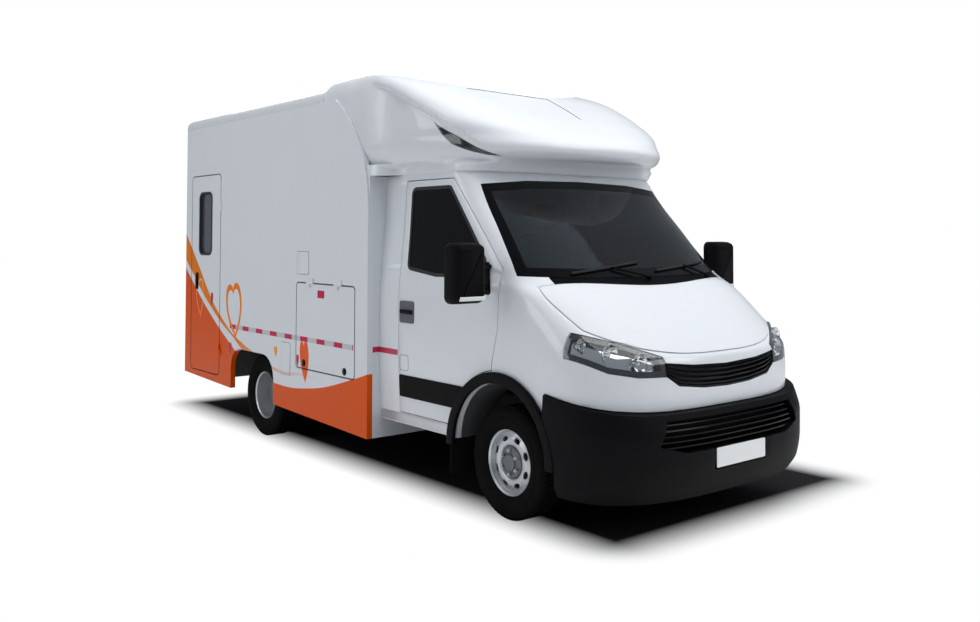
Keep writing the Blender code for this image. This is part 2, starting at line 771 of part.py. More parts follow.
def make_arch_trims():
    """The flares round the front arches, each with its mud flap."""
    for word, side in SIDES:
        inner = CAB_HALF_WIDTH + SEAM
        outer = inner + ARCH_TRIM_DEPTH
        trim = arch_cylinder("arch_trim_" + word, side, ARCH_TRIM_RADIUS, inner, outer)
        PARTS.objects.link(trim)
        CUTTERS.objects.unlink(trim)
        trim.hide_render = False
        trim.display_type = "TEXTURED"
        trim.data.materials.append(BLACK_PLASTIC)
        cut(trim, arch_cylinder("trim_hole_" + word, side, ARCH_RADIUS, inner - OVERRUN, outer + OVERRUN))
        below = TRIM_FOOT_Z - ARCH_TRIM_RADIUS - OVERRUN
        low = (min(side * inner, side * outer) - OVERRUN, along(-ARCH_TRIM_RADIUS - OVERRUN), below)
        high = (max(side * inner, side * outer) + OVERRUN, along(ARCH_TRIM_RADIUS + OVERRUN), TRIM_FOOT_Z)
        cut(trim, box("trim_foot_" + word, low, high))
        flap_low = (min(side * FLAP_INNER_X, side * outer), along(FLAP_DISTANCE), FLAP_BOTTOM_Z)
        flap_high = (max(side * FLAP_INNER_X, side * outer), along(FLAP_DISTANCE) + FLAP_THICKNESS, SILL_Z - SEAM)
        cut(trim, box("flap_" + word, flap_low, flap_high), "UNION")


MIRROR_X = 1.235
MIRROR_HALF_WIDTH = 0.127
MIRROR_FRONT = -0.04
MIRROR_DEPTH = 0.14
MIRROR_BOTTOM_Z = 1.345
MIRROR_TOP_Z = 1.727
MIRROR_RADIUS = 0.045
MIRROR_ARM_RADIUS = 0.017
MIRROR_ARM_Z = (1.44, 1.56)
MIRROR_FOOT_Y = 0.12


def make_mirrors():
    """The two-armed outside mirrors on the doors."""
    for word, side in SIDES:
        x = side * MIRROR_X
        low = (x - MIRROR_HALF_WIDTH, along(MIRROR_FRONT), MIRROR_BOTTOM_Z)
        high = (x + MIRROR_HALF_WIDTH, along(MIRROR_FRONT) + MIRROR_DEPTH, MIRROR_TOP_Z)
        outline = rounded([(low[0], low[2]), (high[0], low[2]), (high[0], high[2]), (low[0], high[2])], MIRROR_RADIUS, 3)
        mirror = plate("mirror_" + word, "XZ", [outline], low[1], high[1], BLACK_PLASTIC)
        for index, height in enumerate(MIRROR_ARM_Z):
            start = (x, along(MIRROR_FRONT) + MIRROR_DEPTH / 2, height)
            end = (side * (CAB_HALF_WIDTH - DOOR_THICKNESS / 2), along(MIRROR_FOOT_Y), height)
            cut(mirror, rod("mirror_arm_%s_%d" % (word, index), MIRROR_ARM_RADIUS, start, end, segments=8), "UNION")
        cut(mirror, cab_loft("mirror_seat_" + word, -SEAM, SEAM, OVERRUN, 0))
        bake_origin(mirror, Vector((side * CAB_HALF_WIDTH, along(DOOR_RANGE_Y), CAB_FLOOR_Z)))


DASH_REAR = 0.12
DASH_REACH = 0.30
DASH_TOP_Z = 1.44
DASH_BOTTOM_Z = 1.05
DASH_HALF_WIDTH = 0.86
CONSOLE_HALF_WIDTH = 0.22
WHEEL_X = 0.42
WHEEL_RADIUS = 0.20
WHEEL_TUBE = 0.014
WHEEL_POINTS = 14
WHEEL_DISTANCE = 0.34
WHEEL_Z = 1.36
WHEEL_TILT = 52
COLUMN_RADIUS = 0.025
COLUMN_LENGTH = 0.20


def wheel_axis():
    """The steering wheel's centre and the way its column's upper end points."""
    tilt = Matrix.Rotation(math.radians(-WHEEL_TILT), 4, "X")
    return Vector((WHEEL_X, along(WHEEL_DISTANCE), WHEEL_Z)), tilt @ Vector((0, 0, 1))


def make_dashboard():
    """The dashboard on its console."""
    outline = [
        (FIREWALL_Y + SEAM, DASH_BOTTOM_Z),
        (FIREWALL_Y + SEAM, COWL_SHELF_Z + SEAM),
        (along(-DASH_REACH), COWL_SHELF_Z + SEAM),
        (along(-DASH_REACH), DASH_TOP_Z - OVERRUN),
        (along(-DASH_REACH) + OVERRUN, DASH_TOP_Z),
        (along(DASH_REAR), DASH_TOP_Z),
        (along(DASH_REAR) + 2 * OVERRUN, DASH_TOP_Z - 3 * OVERRUN),
        (along(DASH_REAR), DASH_BOTTOM_Z),
    ]
    dash = plate("dashboard", "YZ", [outline], -DASH_HALF_WIDTH, DASH_HALF_WIDTH, GREY_PLASTIC)
    console = box(
        "console",
        (-CONSOLE_HALF_WIDTH, FIREWALL_Y + SEAM, CAB_FLOOR_Z + SEAM),
        (CONSOLE_HALF_WIDTH, along(DASH_REAR) - SEAM, DASH_BOTTOM_Z + OVERRUN),
    )
    cut(dash, console, "UNION")
    cut(dash, cab_loft("dash_limits", CAB_WALL + SEAM, -OVERRUN, OVERRUN, OVERRUN), "INTERSECT")
    front = COWL_WALL_OFFSET + FIREWALL_THICKNESS + SHUT_GAP
    cut(dash, cowl_space("dash_front", front, BODY_FRONT_Y, CAB_FLOOR_Z), "INTERSECT")
    centre, normal = wheel_axis()
    cut(dash, rod("column_bore", COLUMN_RADIUS + SEAM, centre, centre - normal * (COLUMN_LENGTH + SEAM), segments=12))


def make_steering_wheel():
    """The steering wheel with its hub, spokes and column."""
    centre, normal = wheel_axis()
    tilt = Matrix.Rotation(math.radians(-WHEEL_TILT), 4, "X")
    points = []
    turn = 360 / WHEEL_POINTS
    for x, y in arc((0, 0), WHEEL_RADIUS, 0, 360 - turn, WHEEL_POINTS - 1):
        points.append(tuple(centre + tilt @ Vector((x, y, 0))))
    curve = bpy.data.curves.new("steering_wheel", "CURVE")
    curve.dimensions = "3D"
    curve.bevel_depth = WHEEL_TUBE
    curve.bevel_resolution = 1
    spline = curve.splines.new("POLY")
    spline.points.add(len(points) - 1)
    for point, place_of in zip(spline.points, points):
        point.co = (*place_of, 1)
    spline.use_cyclic_u = True
    obj = bpy.data.objects.new("steering_wheel", curve)
    bpy.context.scene.collection.objects.link(obj)
    bpy.context.view_layer.update()
    wheel = meshed(obj, BLACK_PLASTIC)
    hub_top = centre + normal * WHEEL_TUBE
    hub_low = centre - normal * OVERRUN
    cut(wheel, rod("wheel_hub", OVERRUN, hub_low, hub_top, segments=10), "UNION")
    for index, angle in enumerate((0, 180, 270)):
        spoke = tilt @ Vector((math.cos(math.radians(angle)), math.sin(math.radians(angle)), 0))
        end = centre + spoke * WHEEL_RADIUS
        cut(wheel, rod("wheel_spoke_%d" % index, WHEEL_TUBE * 0.8, centre, end, segments=6), "UNION")
    column_end = centre - normal * COLUMN_LENGTH
    cut(wheel, rod("wheel_column", COLUMN_RADIUS, centre - normal * WHEEL_TUBE, column_end, segments=12), "UNION")


CHAIR_WIDTH = 0.50
CHAIR_X = (("driver_chair", 0.42), ("passenger_chair", -0.42))
CHAIR_SIDE = (
    (0.62, 0.8003),
    (0.62, 1.10),
    (0.56, 1.16),
    (0.56, 1.24),
    (1.00, 1.22),
    (1.12, 1.80),
    (1.13, 2.02),
    (1.24, 2.02),
    (1.24, 1.80),
    (1.18, 1.16),
    (1.10, 1.10),
    (1.10, 0.8003),
)


def make_chairs():
    """The driver's and the passenger's chairs."""
    for name, x in CHAIR_X:
        outline = side_outline(CHAIR_SIDE)
        plate(name, "YZ", [outline], x - CHAIR_WIDTH / 2, x + CHAIR_WIDTH / 2, CLOTH)


def cowl_zone(name, amount):
    """The strip of the cab's skin between hood and windshield, grown by an amount."""
    wide = COWL_HALF_WIDTH + amount
    low = (-wide, FRONT_Y, COWL_Z - amount)
    high = (wide, BODY_FRONT_Y, COWL_TOP_Z)
    zone = box(name, low, high)
    depth = NOSE_WALL + (COWL_SINK if amount else 0)
    return cut(zone, cab_loft(name + "_back", depth, -OVERRUN, OVERRUN, OVERRUN))


def make_cowl():
    """The cowl panel under the windshield."""
    cowl = cab_loft("wiper_cowl", COWL_SINK, finish=BLACK_PLASTIC)
    cut(cowl, cowl_zone("cowl_form", 0), "INTERSECT")
    cut(cowl, hood_zone("cowl_front", SHUT_GAP / 2))
    pane = grown(list(WINDSHIELD_OUTLINE), SEAM)
    cut(cowl, plate("cowl_top", "XZ", [pane], FRONT_Y, along(WINDSHIELD_REACH)))


# Doors, hatches and windows of the load body, as distances behind the front axle
ENTRY_FRONT = 4.000
ENTRY_REAR = 4.690
ENTRY_BOTTOM_Z = 0.460
ENTRY_TOP_Z = 2.340
ENTRY_RADIUS = 0.05
ENTRY_WINDOW = ((4.205, 1.585), (4.495, 1.585), (4.495, 2.170), (4.205, 2.170))
ENTRY_WINDOW_RADIUS = 0.06
ENTRY_THICKNESS = 0.045
LOCKER_FRONT = 1.560
LOCKER_REAR = 2.480
LOCKER_BOTTOM_Z = 0.700
LOCKER_TOP_Z = 1.385
LOCKER_RADIUS = 0.03
LOCKER_DEPTH = 0.50
LOCKER_WALL = 0.02
REAR_ARCH_HALF = 0.43
REAR_ARCH_TOP_Z = 0.745
REAR_ARCH_RADIUS = 0.22
REAR_WINDOW_HALF_WIDTH = 0.45
REAR_WINDOW_BOTTOM_Z = 1.55
REAR_WINDOW_TOP_Z = 2.10
REAR_WINDOW_RADIUS = 0.07
WALK_HALF_WIDTH = 0.32
WALK_TOP_Z = 2.05


def skirt_z(distance):
    """The height of the skirt's lower edge a distance behind the front axle."""
    share = (distance - BODY_START) / (BODY_END - BODY_START)
    return SKIRT_FRONT_Z + (SKIRT_REAR_Z - SKIRT_FRONT_Z) * share


def shoulder_arc(radius):
    """The curve of a side wall's front shoulder, from its top down."""
    start = math.degrees(math.asin((WALL_TOP_Z - SHOULDER_Z) / SHOULDER_RADIUS))
    return arc((BODY_START + SHOULDER_RADIUS, SHOULDER_Z), radius, 180 - start, 180, SHOULDER_STEPS)


def wall_outline():
    """A side wall: skirt, rear arch, curved front shoulder."""
    axle = WHEELBASE
    front, rear = axle - REAR_ARCH_HALF, axle + REAR_ARCH_HALF
    outline = [(BODY_START, skirt_z(BODY_START)), (front, skirt_z(front))]
    arch = rounded(
        [(front, skirt_z(front)), (front, REAR_ARCH_TOP_Z), (rear, REAR_ARCH_TOP_Z), (rear, skirt_z(rear))],
        [0, REAR_ARCH_RADIUS, REAR_ARCH_RADIUS, 0],
        5,
    )
    outline += arch[1:]
    outline += [(BODY_END, skirt_z(BODY_END)), (BODY_END, WALL_TOP_Z)]
    return side_outline(outline + shoulder_arc(SHOULDER_RADIUS))


def entry_outline(amount):
    """The entry door's outline, grown by an amount."""
    corners = [
        (ENTRY_FRONT, ENTRY_BOTTOM_Z),
        (ENTRY_REAR, ENTRY_BOTTOM_Z),
        (ENTRY_REAR, ENTRY_TOP_Z),
        (ENTRY_FRONT, ENTRY_TOP_Z),
    ]
    return grown(rounded(side_outline(corners), ENTRY_RADIUS), amount)


def locker_outline(amount):
    """The locker hatch's outline, grown by an amount."""
    corners = [
        (LOCKER_FRONT, LOCKER_BOTTOM_Z),
        (LOCKER_REAR, LOCKER_BOTTOM_Z),
        (LOCKER_REAR, LOCKER_TOP_Z),
        (LOCKER_FRONT, LOCKER_TOP_Z),
    ]
    return grown(rounded(side_outline(corners), LOCKER_RADIUS), amount)


HINGE_RADIUS = 0.008
HINGE_STAND = 0.009
HINGE_LENGTH = 0.05
LEAF_WIDTH = 0.035
LEAF_THICKNESS = 0.004
ENTRY_HINGE_Z = (0.70, 2.05)
LOCKER_HINGE_Y = (1.80, 2.24)
HINGE_X = -BODY_HALF_WIDTH - HINGE_STAND
ENTRY_HINGE_Y = along(ENTRY_FRONT) - SHUT_GAP / 2
LOCKER_HINGE_Z = LOCKER_TOP_Z + SHUT_GAP / 2


def entry_hinge(name, height, sign):
    """One half of a door hinge; the sign gives its leaf's side along Y."""
    barrel = rod(name, HINGE_RADIUS, (HINGE_X, ENTRY_HINGE_Y, height), (HINGE_X, ENTRY_HINGE_Y, height + HINGE_LENGTH), segments=10)
    ys = sorted((ENTRY_HINGE_Y + sign * HINGE_RADIUS / 2, ENTRY_HINGE_Y + sign * LEAF_WIDTH))
    low = (HINGE_X - HINGE_RADIUS / 2, ys[0], height + SEAM)
    high = (-BODY_HALF_WIDTH + SEAM, ys[1], height + HINGE_LENGTH - SEAM)
    return cut(barrel, box(name + "_leaf", low, high), "UNION")


def locker_hinge(name, distance, sign):
    """One half of a hatch hinge; the sign gives its leaf's side along Z."""
    start = (HINGE_X, along(distance), LOCKER_HINGE_Z)
    end = (HINGE_X, along(distance) + HINGE_LENGTH, LOCKER_HINGE_Z)
    barrel = rod(name, HINGE_RADIUS, start, end, segments=10)
    zs = sorted((LOCKER_HINGE_Z + sign * HINGE_RADIUS / 2, LOCKER_HINGE_Z + sign * LEAF_WIDTH))
    low = (HINGE_X - HINGE_RADIUS / 2, start[1] + SEAM, zs[0])
    high = (-BODY_HALF_WIDTH + SEAM, end[1] - SEAM, zs[1])
    return cut(barrel, box(name + "_leaf", low, high), "UNION")


def make_side_walls():
    """The two side walls; the right one has the entry and the locker's hole."""
    for word, side in SIDES:
        inner, outer = side * (BODY_HALF_WIDTH - BODY_WALL), side * BODY_HALF_WIDTH
        outlines = [wall_outline()]
        if word == "right":
            outlines.append(entry_outline(SHUT_GAP))
            outlines.append(locker_outline(SHUT_GAP))
        wall = plate("side_wall_" + word, "YZ", outlines, min(inner, outer), max(inner, outer), WHITE_PAINT)
        if word == "left":
            continue
        for index, height in enumerate(ENTRY_HINGE_Z):
            cut(wall, entry_hinge("wall_hinge_%d" % index, height - HINGE_LENGTH - SEAM, -1), "UNION")
        for index, distance in enumerate(LOCKER_HINGE_Y):
            cut(wall, locker_hinge("frame_hinge_%d" % index, distance - HINGE_LENGTH - SEAM, 1), "UNION")


def make_entry_door():
    """The entry door and its window; their origin is on the hinge."""
    outer = -BODY_HALF_WIDTH
    inner = outer + ENTRY_THICKNESS
    hinge = Vector((HINGE_X, ENTRY_HINGE_Y, ENTRY_BOTTOM_Z))
    window = rounded(side_outline(ENTRY_WINDOW), ENTRY_WINDOW_RADIUS)
    door = plate("entry_door", "YZ", [entry_outline(0), window], outer, inner, WHITE_PAINT)
    middle = (outer + inner) / 2
    half = GLASS_THICKNESS / 2
    glass = plate("entry_window", "YZ", [grown(window, -SEAM)], middle - half, middle + half, DARK_GLASS)
    for obj in (door, glass):
        bake_origin(obj, hinge)
    for index, height in enumerate(ENTRY_HINGE_Z):
        cut(door, entry_hinge("door_hinge_%d" % index, height, 1), "UNION")


def bake_origin(obj, point):
    """Give an object world-aligned axes and an origin at a point."""
    obj.data.transform(obj.matrix_world)
    obj.matrix_world = Matrix.Identity(4)
    set_origin(obj, point)


def make_locker():
    """The locker's hatch, hinged at its top edge."""
    outer = -BODY_HALF_WIDTH
    hatch = plate("locker_hatch", "YZ", [locker_outline(0)], outer, outer + ENTRY_THICKNESS, WHITE_PAINT)
    bake_origin(hatch, Vector((HINGE_X, along(LOCKER_FRONT), LOCKER_HINGE_Z)))
    for index, distance in enumerate(LOCKER_HINGE_Y):
        cut(hatch, locker_hinge("hatch_hinge_%d" % index, distance, -1), "UNION")


def make_floor():
    """The load floor with the entry steps and the locker's box welded to it."""
    inner = BODY_HALF_WIDTH - BODY_WALL - SEAM
    front = BODY_FRONT_Y + BODY_WALL + SEAM
    rear = BODY_REAR_Y - BODY_WALL - SEAM
    low_z = FLOOR_Z - FLOOR_THICKNESS
    floor = box("body_floor", (-inner, front, low_z), (inner, rear, FLOOR_Z), GREY_PLASTIC)
    wall = LOCKER_WALL
    locker_low = (-inner, along(LOCKER_FRONT) - wall - SHUT_GAP, LOCKER_BOTTOM_Z - wall - SHUT_GAP)
    locker_high = (-inner + LOCKER_DEPTH, along(LOCKER_REAR) + wall + SHUT_GAP, LOCKER_TOP_Z + wall + SHUT_GAP)
    well_low = (-inner, along(ENTRY_FRONT) - wall - SHUT_GAP, ENTRY_BOTTOM_Z - wall - SHUT_GAP)
    well_high = (-inner + ENTRY_WELL, along(ENTRY_REAR) + wall + SHUT_GAP, FLOOR_Z - SEAM)
    cut(floor, box("locker_box", locker_low, locker_high), "UNION")
    cut(floor, box("entry_well", well_low, well_high), "UNION")
    cut(floor, hollow("locker_space", locker_low, locker_high, wall, False))
    cut(floor, hollow("entry_space", well_low, well_high, wall, True))
    step_low = (-inner + ENTRY_WELL / 2, well_low[1] + wall / 2, well_low[2] + wall / 2)
    step_high = (-inner + ENTRY_WELL - wall / 2, well_high[1] - wall / 2, (ENTRY_BOTTOM_Z + FLOOR_Z) / 2)
    cut(floor, box("entry_tread", step_low, step_high), "UNION")


ENTRY_WELL = 0.50


def hollow(name, low, high, wall, open_top):
    """The inside of a box that is open towards the right side."""
    top = high[2] + OVERRUN if open_top else high[2] - wall
    return box(name, (low[0] - OVERRUN, low[1] + wall, low[2] + wall), (high[0] - wall, high[1] - wall, top))


def make_rear_wall():
    """The rear wall with its window."""
    inner = BODY_HALF_WIDTH - BODY_WALL - SEAM
    outline = [(-inner, SKIRT_REAR_Z), (inner, SKIRT_REAR_Z), (inner, WALL_TOP_Z), (-inner, WALL_TOP_Z)]
    half = REAR_WINDOW_HALF_WIDTH
    low, high = REAR_WINDOW_BOTTOM_Z, REAR_WINDOW_TOP_Z
    window = rounded([(-half, low), (half, low), (half, high), (-half, high)], REAR_WINDOW_RADIUS)
    front = BODY_REAR_Y - BODY_WALL
    plate("rear_wall", "XZ", [outline, window], front, BODY_REAR_Y, WHITE_PAINT)
    middle = (front + BODY_REAR_Y) / 2
    half_glass = GLASS_THICKNESS / 2
    plate("rear_window", "XZ", [grown(window, -SEAM)], middle - half_glass, middle + half_glass, DARK_GLASS)


def make_front_wall():
    """The wall between cab and load space, with the way through."""
    inner = BODY_HALF_WIDTH - BODY_WALL - SEAM
    outline = [(-inner, SKIRT_FRONT_Z), (inner, SKIRT_FRONT_Z), (inner, CAB_TOP_Z), (-inner, CAB_TOP_Z)]
    half = WALK_HALF_WIDTH
    hole = [(-half, FLOOR_Z), (half, FLOOR_Z), (half, WALK_TOP_Z), (-half, WALK_TOP_Z)]
    under = RAIL_X + RAIL_WIDTH
    outlines = [outline, rounded(hole, OVERRUN)]
    wall = plate("front_wall", "XZ", outlines, BODY_FRONT_Y, BODY_FRONT_Y + BODY_WALL, WHITE_PAINT)
    low = (-under, BODY_FRONT_Y - OVERRUN, 0)
    high = (under, BODY_FRONT_Y + BODY_WALL + OVERRUN, FLOOR_Z - FLOOR_THICKNESS)
    cut(wall, box("rail_passage", low, high))


ROOF_START = 2.093


def make_roof():
    """The roof from the fairing to the rear wall."""
    wide = BODY_HALF_WIDTH
    edge = ROOF_EDGE_RADIUS
    low = WALL_TOP_Z + SEAM
    over = arc((wide - edge, ROOF_EDGE_Z - edge), edge, 0, 90, 4)
    left = [(wide, low), *over]
    crown = [(0, ROOF_EDGE_Z + ROOF_CROWN)]
    right_side = [(-x, z) for x, z in reversed(left)]
    inner_top = ROOF_EDGE_Z - ROOF_THICKNESS
    inner = [(-wide + BODY_WALL, low), (-wide + 2 * edge, inner_top), (0, inner_top + ROOF_CROWN)]
    inner += [(wide - 2 * edge, inner_top), (wide - BODY_WALL, low)]
    section = left + crown + right_side + inner
    plate("roof_panel", "XZ", [section], along(ROOF_START), BODY_REAR_Y, WHITE_PAINT)


# The fairing's rings: height share of its top, then reaches ahead of its rear end as
# shares of its length for the front, the side's start and the rear, widths and power.
FAIRING_TOP_Z = 3.015
FAIRING_LENGTH = 2.05
FAIRING_HALF_WIDTH = 1.09
FAIRING_REAR = 2.093
FAIRING_WALL = 0.04
FAIRING_RING_SHARES = (
    (0.7297, 0.8455, 0.738, 0.000, 0.858, 1.000, 3.0),
    (0.7460, 0.8940, 0.728, 0.000, 0.872, 1.000, 2.9),
    (0.7595, 0.9720, 0.450, 0.000, 0.950, 1.000, 2.9),
    (0.7827, 0.9970, 0.420, 0.000, 0.980, 1.000, 2.9),
    (0.8060, 0.9720, 0.400, 0.000, 0.995, 1.000, 3.0),
    (0.8458, 0.8840, 0.385, 0.000, 1.000, 1.000, 3.8),
    (0.8823, 0.7860, 0.370, 0.000, 1.000, 1.000, 4.2),
    (0.9154, 0.6880, 0.350, 0.000, 0.995, 0.997, 4.5),
    (0.9453, 0.5910, 0.320, 0.000, 0.986, 0.990, 4.5),
    (0.9685, 0.4840, 0.290, 0.020, 0.963, 0.970, 4.5),
    (0.9850, 0.3770, 0.230, 0.060, 0.920, 0.925, 4.0),
    (0.9950, 0.2650, 0.190, 0.090, 0.840, 0.840, 3.5),
    (1.0000, 0.2100, 0.160, 0.110, 0.700, 0.700, 3.0),
)
FAIRING_FLARE_START = 0.25
FAIRING_FLARE_END = 0.02


def fairing_loft(name, inset=0.0, finish=None):
    """The over-cab fairing's outer form, or the space inside its shell."""
    rings = []
    start = along(FAIRING_REAR)
    flare = (BODY_FRONT_Y - FAIRING_FLARE_START, BODY_FRONT_Y - FAIRING_FLARE_END)
    for high, front, corner, rear, wide, rear_wide, power in FAIRING_RING_SHARES:
        height = high * FAIRING_TOP_Z
        rear_y = start - rear * FAIRING_LENGTH
        if inset and height > ROOF_EDGE_Z - ROOF_THICKNESS:
            break
        if inset:
            rear_y = start + OVERRUN
        corner_y = min(start - corner * FAIRING_LENGTH, flare[0] + 0.9 * (rear_y - flare[0]))
        front_y = start - front * FAIRING_LENGTH + inset
        span = (flare[0], flare[1])
        if corner_y > flare[0]:
            step = (rear_y - corner_y) / 4
            span = (corner_y + step, corner_y + 2 * step)
        half = wide * FAIRING_HALF_WIDTH - inset
        rear_half = rear_wide * FAIRING_HALF_WIDTH - inset
        rings.append(ring(height, front_y, corner_y, rear_y, half, rear_half, power, span))
    if inset:
        lowest = [(x, y, CAB_TOP_Z - SHOULDER_RADIUS) for x, y, z in rings[0]]
        rings.insert(0, lowest)
    return loft(name, rings, finish)


def make_fairing():
    """The streamlined fairing over the cab."""
    fairing = fairing_loft("overcab_fairing", 0.0, WHITE_PAINT)
    inner = BODY_HALF_WIDTH - BODY_WALL - SEAM
    shoulder_low = BODY_FRONT_Y + SEAM
    for word, side in SIDES:
        low = (min(side * inner, side * FAIRING_HALF_WIDTH), shoulder_low, SHOULDER_Z)
        high = (max(side * inner, side * FAIRING_HALF_WIDTH), along(FAIRING_REAR) - OVERRUN, CAB_TOP_Z + OVERRUN)
        cut(fairing, box("shoulder_" + word, low, high), "UNION")
    cut(fairing, fairing_loft("fairing_space", FAIRING_WALL))
    curve = shoulder_arc(SHOULDER_RADIUS + 2 * SEAM)
    seat = [(curve[0][0], WALL_TOP_Z + SEAM), *curve[1:], (curve[-1][0], SHOULDER_Z - OVERRUN)]
    seat += [(FAIRING_REAR + OVERRUN, SHOULDER_Z - OVERRUN), (FAIRING_REAR + OVERRUN, WALL_TOP_Z + SEAM)]
    for word, side in SIDES:
        reach = (side * inner, side * (BODY_HALF_WIDTH + OVERRUN))
        cut(fairing, plate("wall_seat_" + word, "YZ", [side_outline(seat)], min(reach), max(reach)))
    low = (-inner - SEAM, FRONT_Y, 0)
    high = (inner + SEAM, BODY_REAR_Y, CAB_TOP_Z + SEAM)
    cut(fairing, box("fairing_floor", low, high))
    return fairing


REAR_BUMPER_BOTTOM_Z = 0.46
REAR_BUMPER_TOP_Z = 0.80
REAR_BUMPER_OVERHANG = 0.02


def make_rear_bumper():
    """The rear bumper across the body."""
    wide = BODY_HALF_WIDTH - OVERRUN
    low = (-wide, BODY_REAR_Y + SEAM, REAR_BUMPER_BOTTOM_Z)
    high = (wide, REAR_Y, REAR_BUMPER_TOP_Z)
    box("rear_bumper", low, high, BLACK_PLASTIC)


def make_chassis():
    """The ladder frame: rails, crossmembers, body bearers and spring hangers."""
    pieces = []
    rear = BODY_REAR_Y - BODY_WALL - OVERRUN
    front = FRONT_AXLE_Y - RAIL_FRONT
    frame = box("chassis_frame", (-CROSS_X, front, CROSS_BOTTOM_Z), (CROSS_X, front + CROSS_WIDTH, RAIL_TOP_Z - SEAM), CHASSIS_BLACK)
    for word, side in SIDES:
        inner, outer = side * (RAIL_X - RAIL_WIDTH / 2), side * (RAIL_X + RAIL_WIDTH / 2)
        low_x, high_x = min(inner, outer), max(inner, outer)
        pieces.append(box("rail_" + word, (low_x, front - SEAM, RAIL_BOTTOM_Z), (high_x, rear, RAIL_TOP_Z)))
        sill_top = FLOOR_Z - FLOOR_THICKNESS - BEARER_HEIGHT + OVERRUN / 2
        body = (low_x + SEAM, BODY_FRONT_Y + BODY_WALL + OVERRUN, RAIL_TOP_Z - OVERRUN / 2)
        pieces.append(box("rail_sill_" + word, body, (high_x - SEAM, rear - SEAM, sill_top)))
        for index, reach in enumerate((-SPRING_REACH, SPRING_REACH)):
            y = REAR_AXLE_Y + reach
            far = side * (SPRING_X + SPRING_WIDTH / 2)
            near = side * (RAIL_X)
            hanger_low = (min(near, far), y - OVERRUN, SPRING_END_Z + SPRING_THICKNESS / 2 + SEAM)
            hanger_high = (max(near, far), y + OVERRUN, RAIL_TOP_Z - SEAM)
            pieces.append(box("hanger_%s_%d" % (word, index), hanger_low, hanger_high))
        damper = (side * DAMPER_X, side * RAIL_X)
        pieces.append(
            box(
                "tower_" + word,
                (min(damper) - (DAMPER_RADIUS if side < 0 else 0), FRONT_AXLE_Y - DAMPER_RADIUS, TOWER_Z),
                (max(damper) + (DAMPER_RADIUS if side > 0 else 0), FRONT_AXLE_Y + DAMPER_RADIUS, RAIL_TOP_Z - SEAM),
            )
        )
    for index, distance in enumerate(CROSS_DISTANCES):
        y = along(distance)
        low = (-CROSS_X, y, CROSS_BOTTOM_Z)
        pieces.append(box("crossmember_%d" % index, low, (CROSS_X, y + CROSS_WIDTH, RAIL_TOP_Z - SEAM)))
    bearer_low = FLOOR_Z - FLOOR_THICKNESS - BEARER_HEIGHT
    for index, distance in enumerate(BEARER_DISTANCES):
        y = along(distance)
        low = (-BEARER_X, y, bearer_low)
        pieces.append(box("bearer_%d" % index, low, (BEARER_X, y + CROSS_WIDTH, FLOOR_Z - FLOOR_THICKNESS - SEAM)))
    joined(frame, pieces)


RAIL_FRONT = 0.86
CROSS_X = 0.38
CROSS_BOTTOM_Z = 0.56
CROSS_WIDTH = 0.07
CROSS_DISTANCES = (1.20, 2.10, 2.80, 3.80, 4.60)
BEARER_X = 0.50
BEARER_HEIGHT = 0.08
BEARER_DISTANCES = (1.46, 2.12, 2.78, 3.82, 4.68)
SPRING_END_Z = 0.50
SPRING_SAG = 0.085
SPRING_THICKNESS = 0.03
DAMPER_X = 0.60
DAMPER_RADIUS = 0.045
TOWER_Z = 0.62


def make_front_suspension():
    """The crossmember under the engine with the arms and dampers of both sides."""
    y = FRONT_AXLE_Y
    half = 0.12
    rail_inner = RAIL_X - RAIL_WIDTH / 2
    rail_outer = RAIL_X + RAIL_WIDTH / 2
    under_rail = RAIL_BOTTOM_Z - SEAM
    beam = box("front_suspension", (-rail_outer, y - half, 0.36), (rail_outer, y + half, ENGINE_BOTTOM_Z - SEAM), CHASSIS_BLACK)
    pieces = []
    for word, side in SIDES:
        xs = sorted((side * rail_inner, side * (rail_outer - SEAM)))
        pieces.append(box("beam_end_" + word, (xs[0], y - half + SEAM, 0.20), (xs[1], y + half - SEAM, under_rail)))
        xs = sorted((side * (rail_outer + SEAM), side * 0.49))
        low_xs = sorted((side * (rail_outer - OVERRUN / 2), side * (0.49 - SEAM)))
        pieces.append(box("arm_bracket_" + word, (xs[0], y - 0.08, 0.21), (xs[1], y + 0.08, 0.60)))
        pieces.append(box("bracket_foot_" + word, (low_xs[0], y - 0.075, 0.205), (low_xs[1], y + 0.075, 0.45)))
        for name, low_z, high_z in (("lower", 0.205, KNUCKLE_LOW_Z - SEAM), ("upper", KNUCKLE_HIGH_Z + SEAM, 0.510)):
            outline = [
                (side * 0.47, y - 0.11),
                (side * 0.47, y + 0.11),
                (side * (KINGPIN_X + 0.02), y + 0.035),
                (side * (KINGPIN_X + 0.02), y - 0.035),
            ]
            pieces.append(plate("arm_%s_%s" % (name, word), "XY", [outline], low_z, high_z))
        damper_top = (side * DAMPER_X, y, TOWER_Z - SEAM)
        pieces.append(rod("damper_" + word, DAMPER_RADIUS, (side * DAMPER_X, y, 0.215), damper_top, segments=10))
    joined(beam, pieces)


KNUCKLE_LOW_Z = 0.235
KNUCKLE_HIGH_Z = 0.485
KNUCKLE_RADIUS = 0.03
SPINDLE_END = 0.025


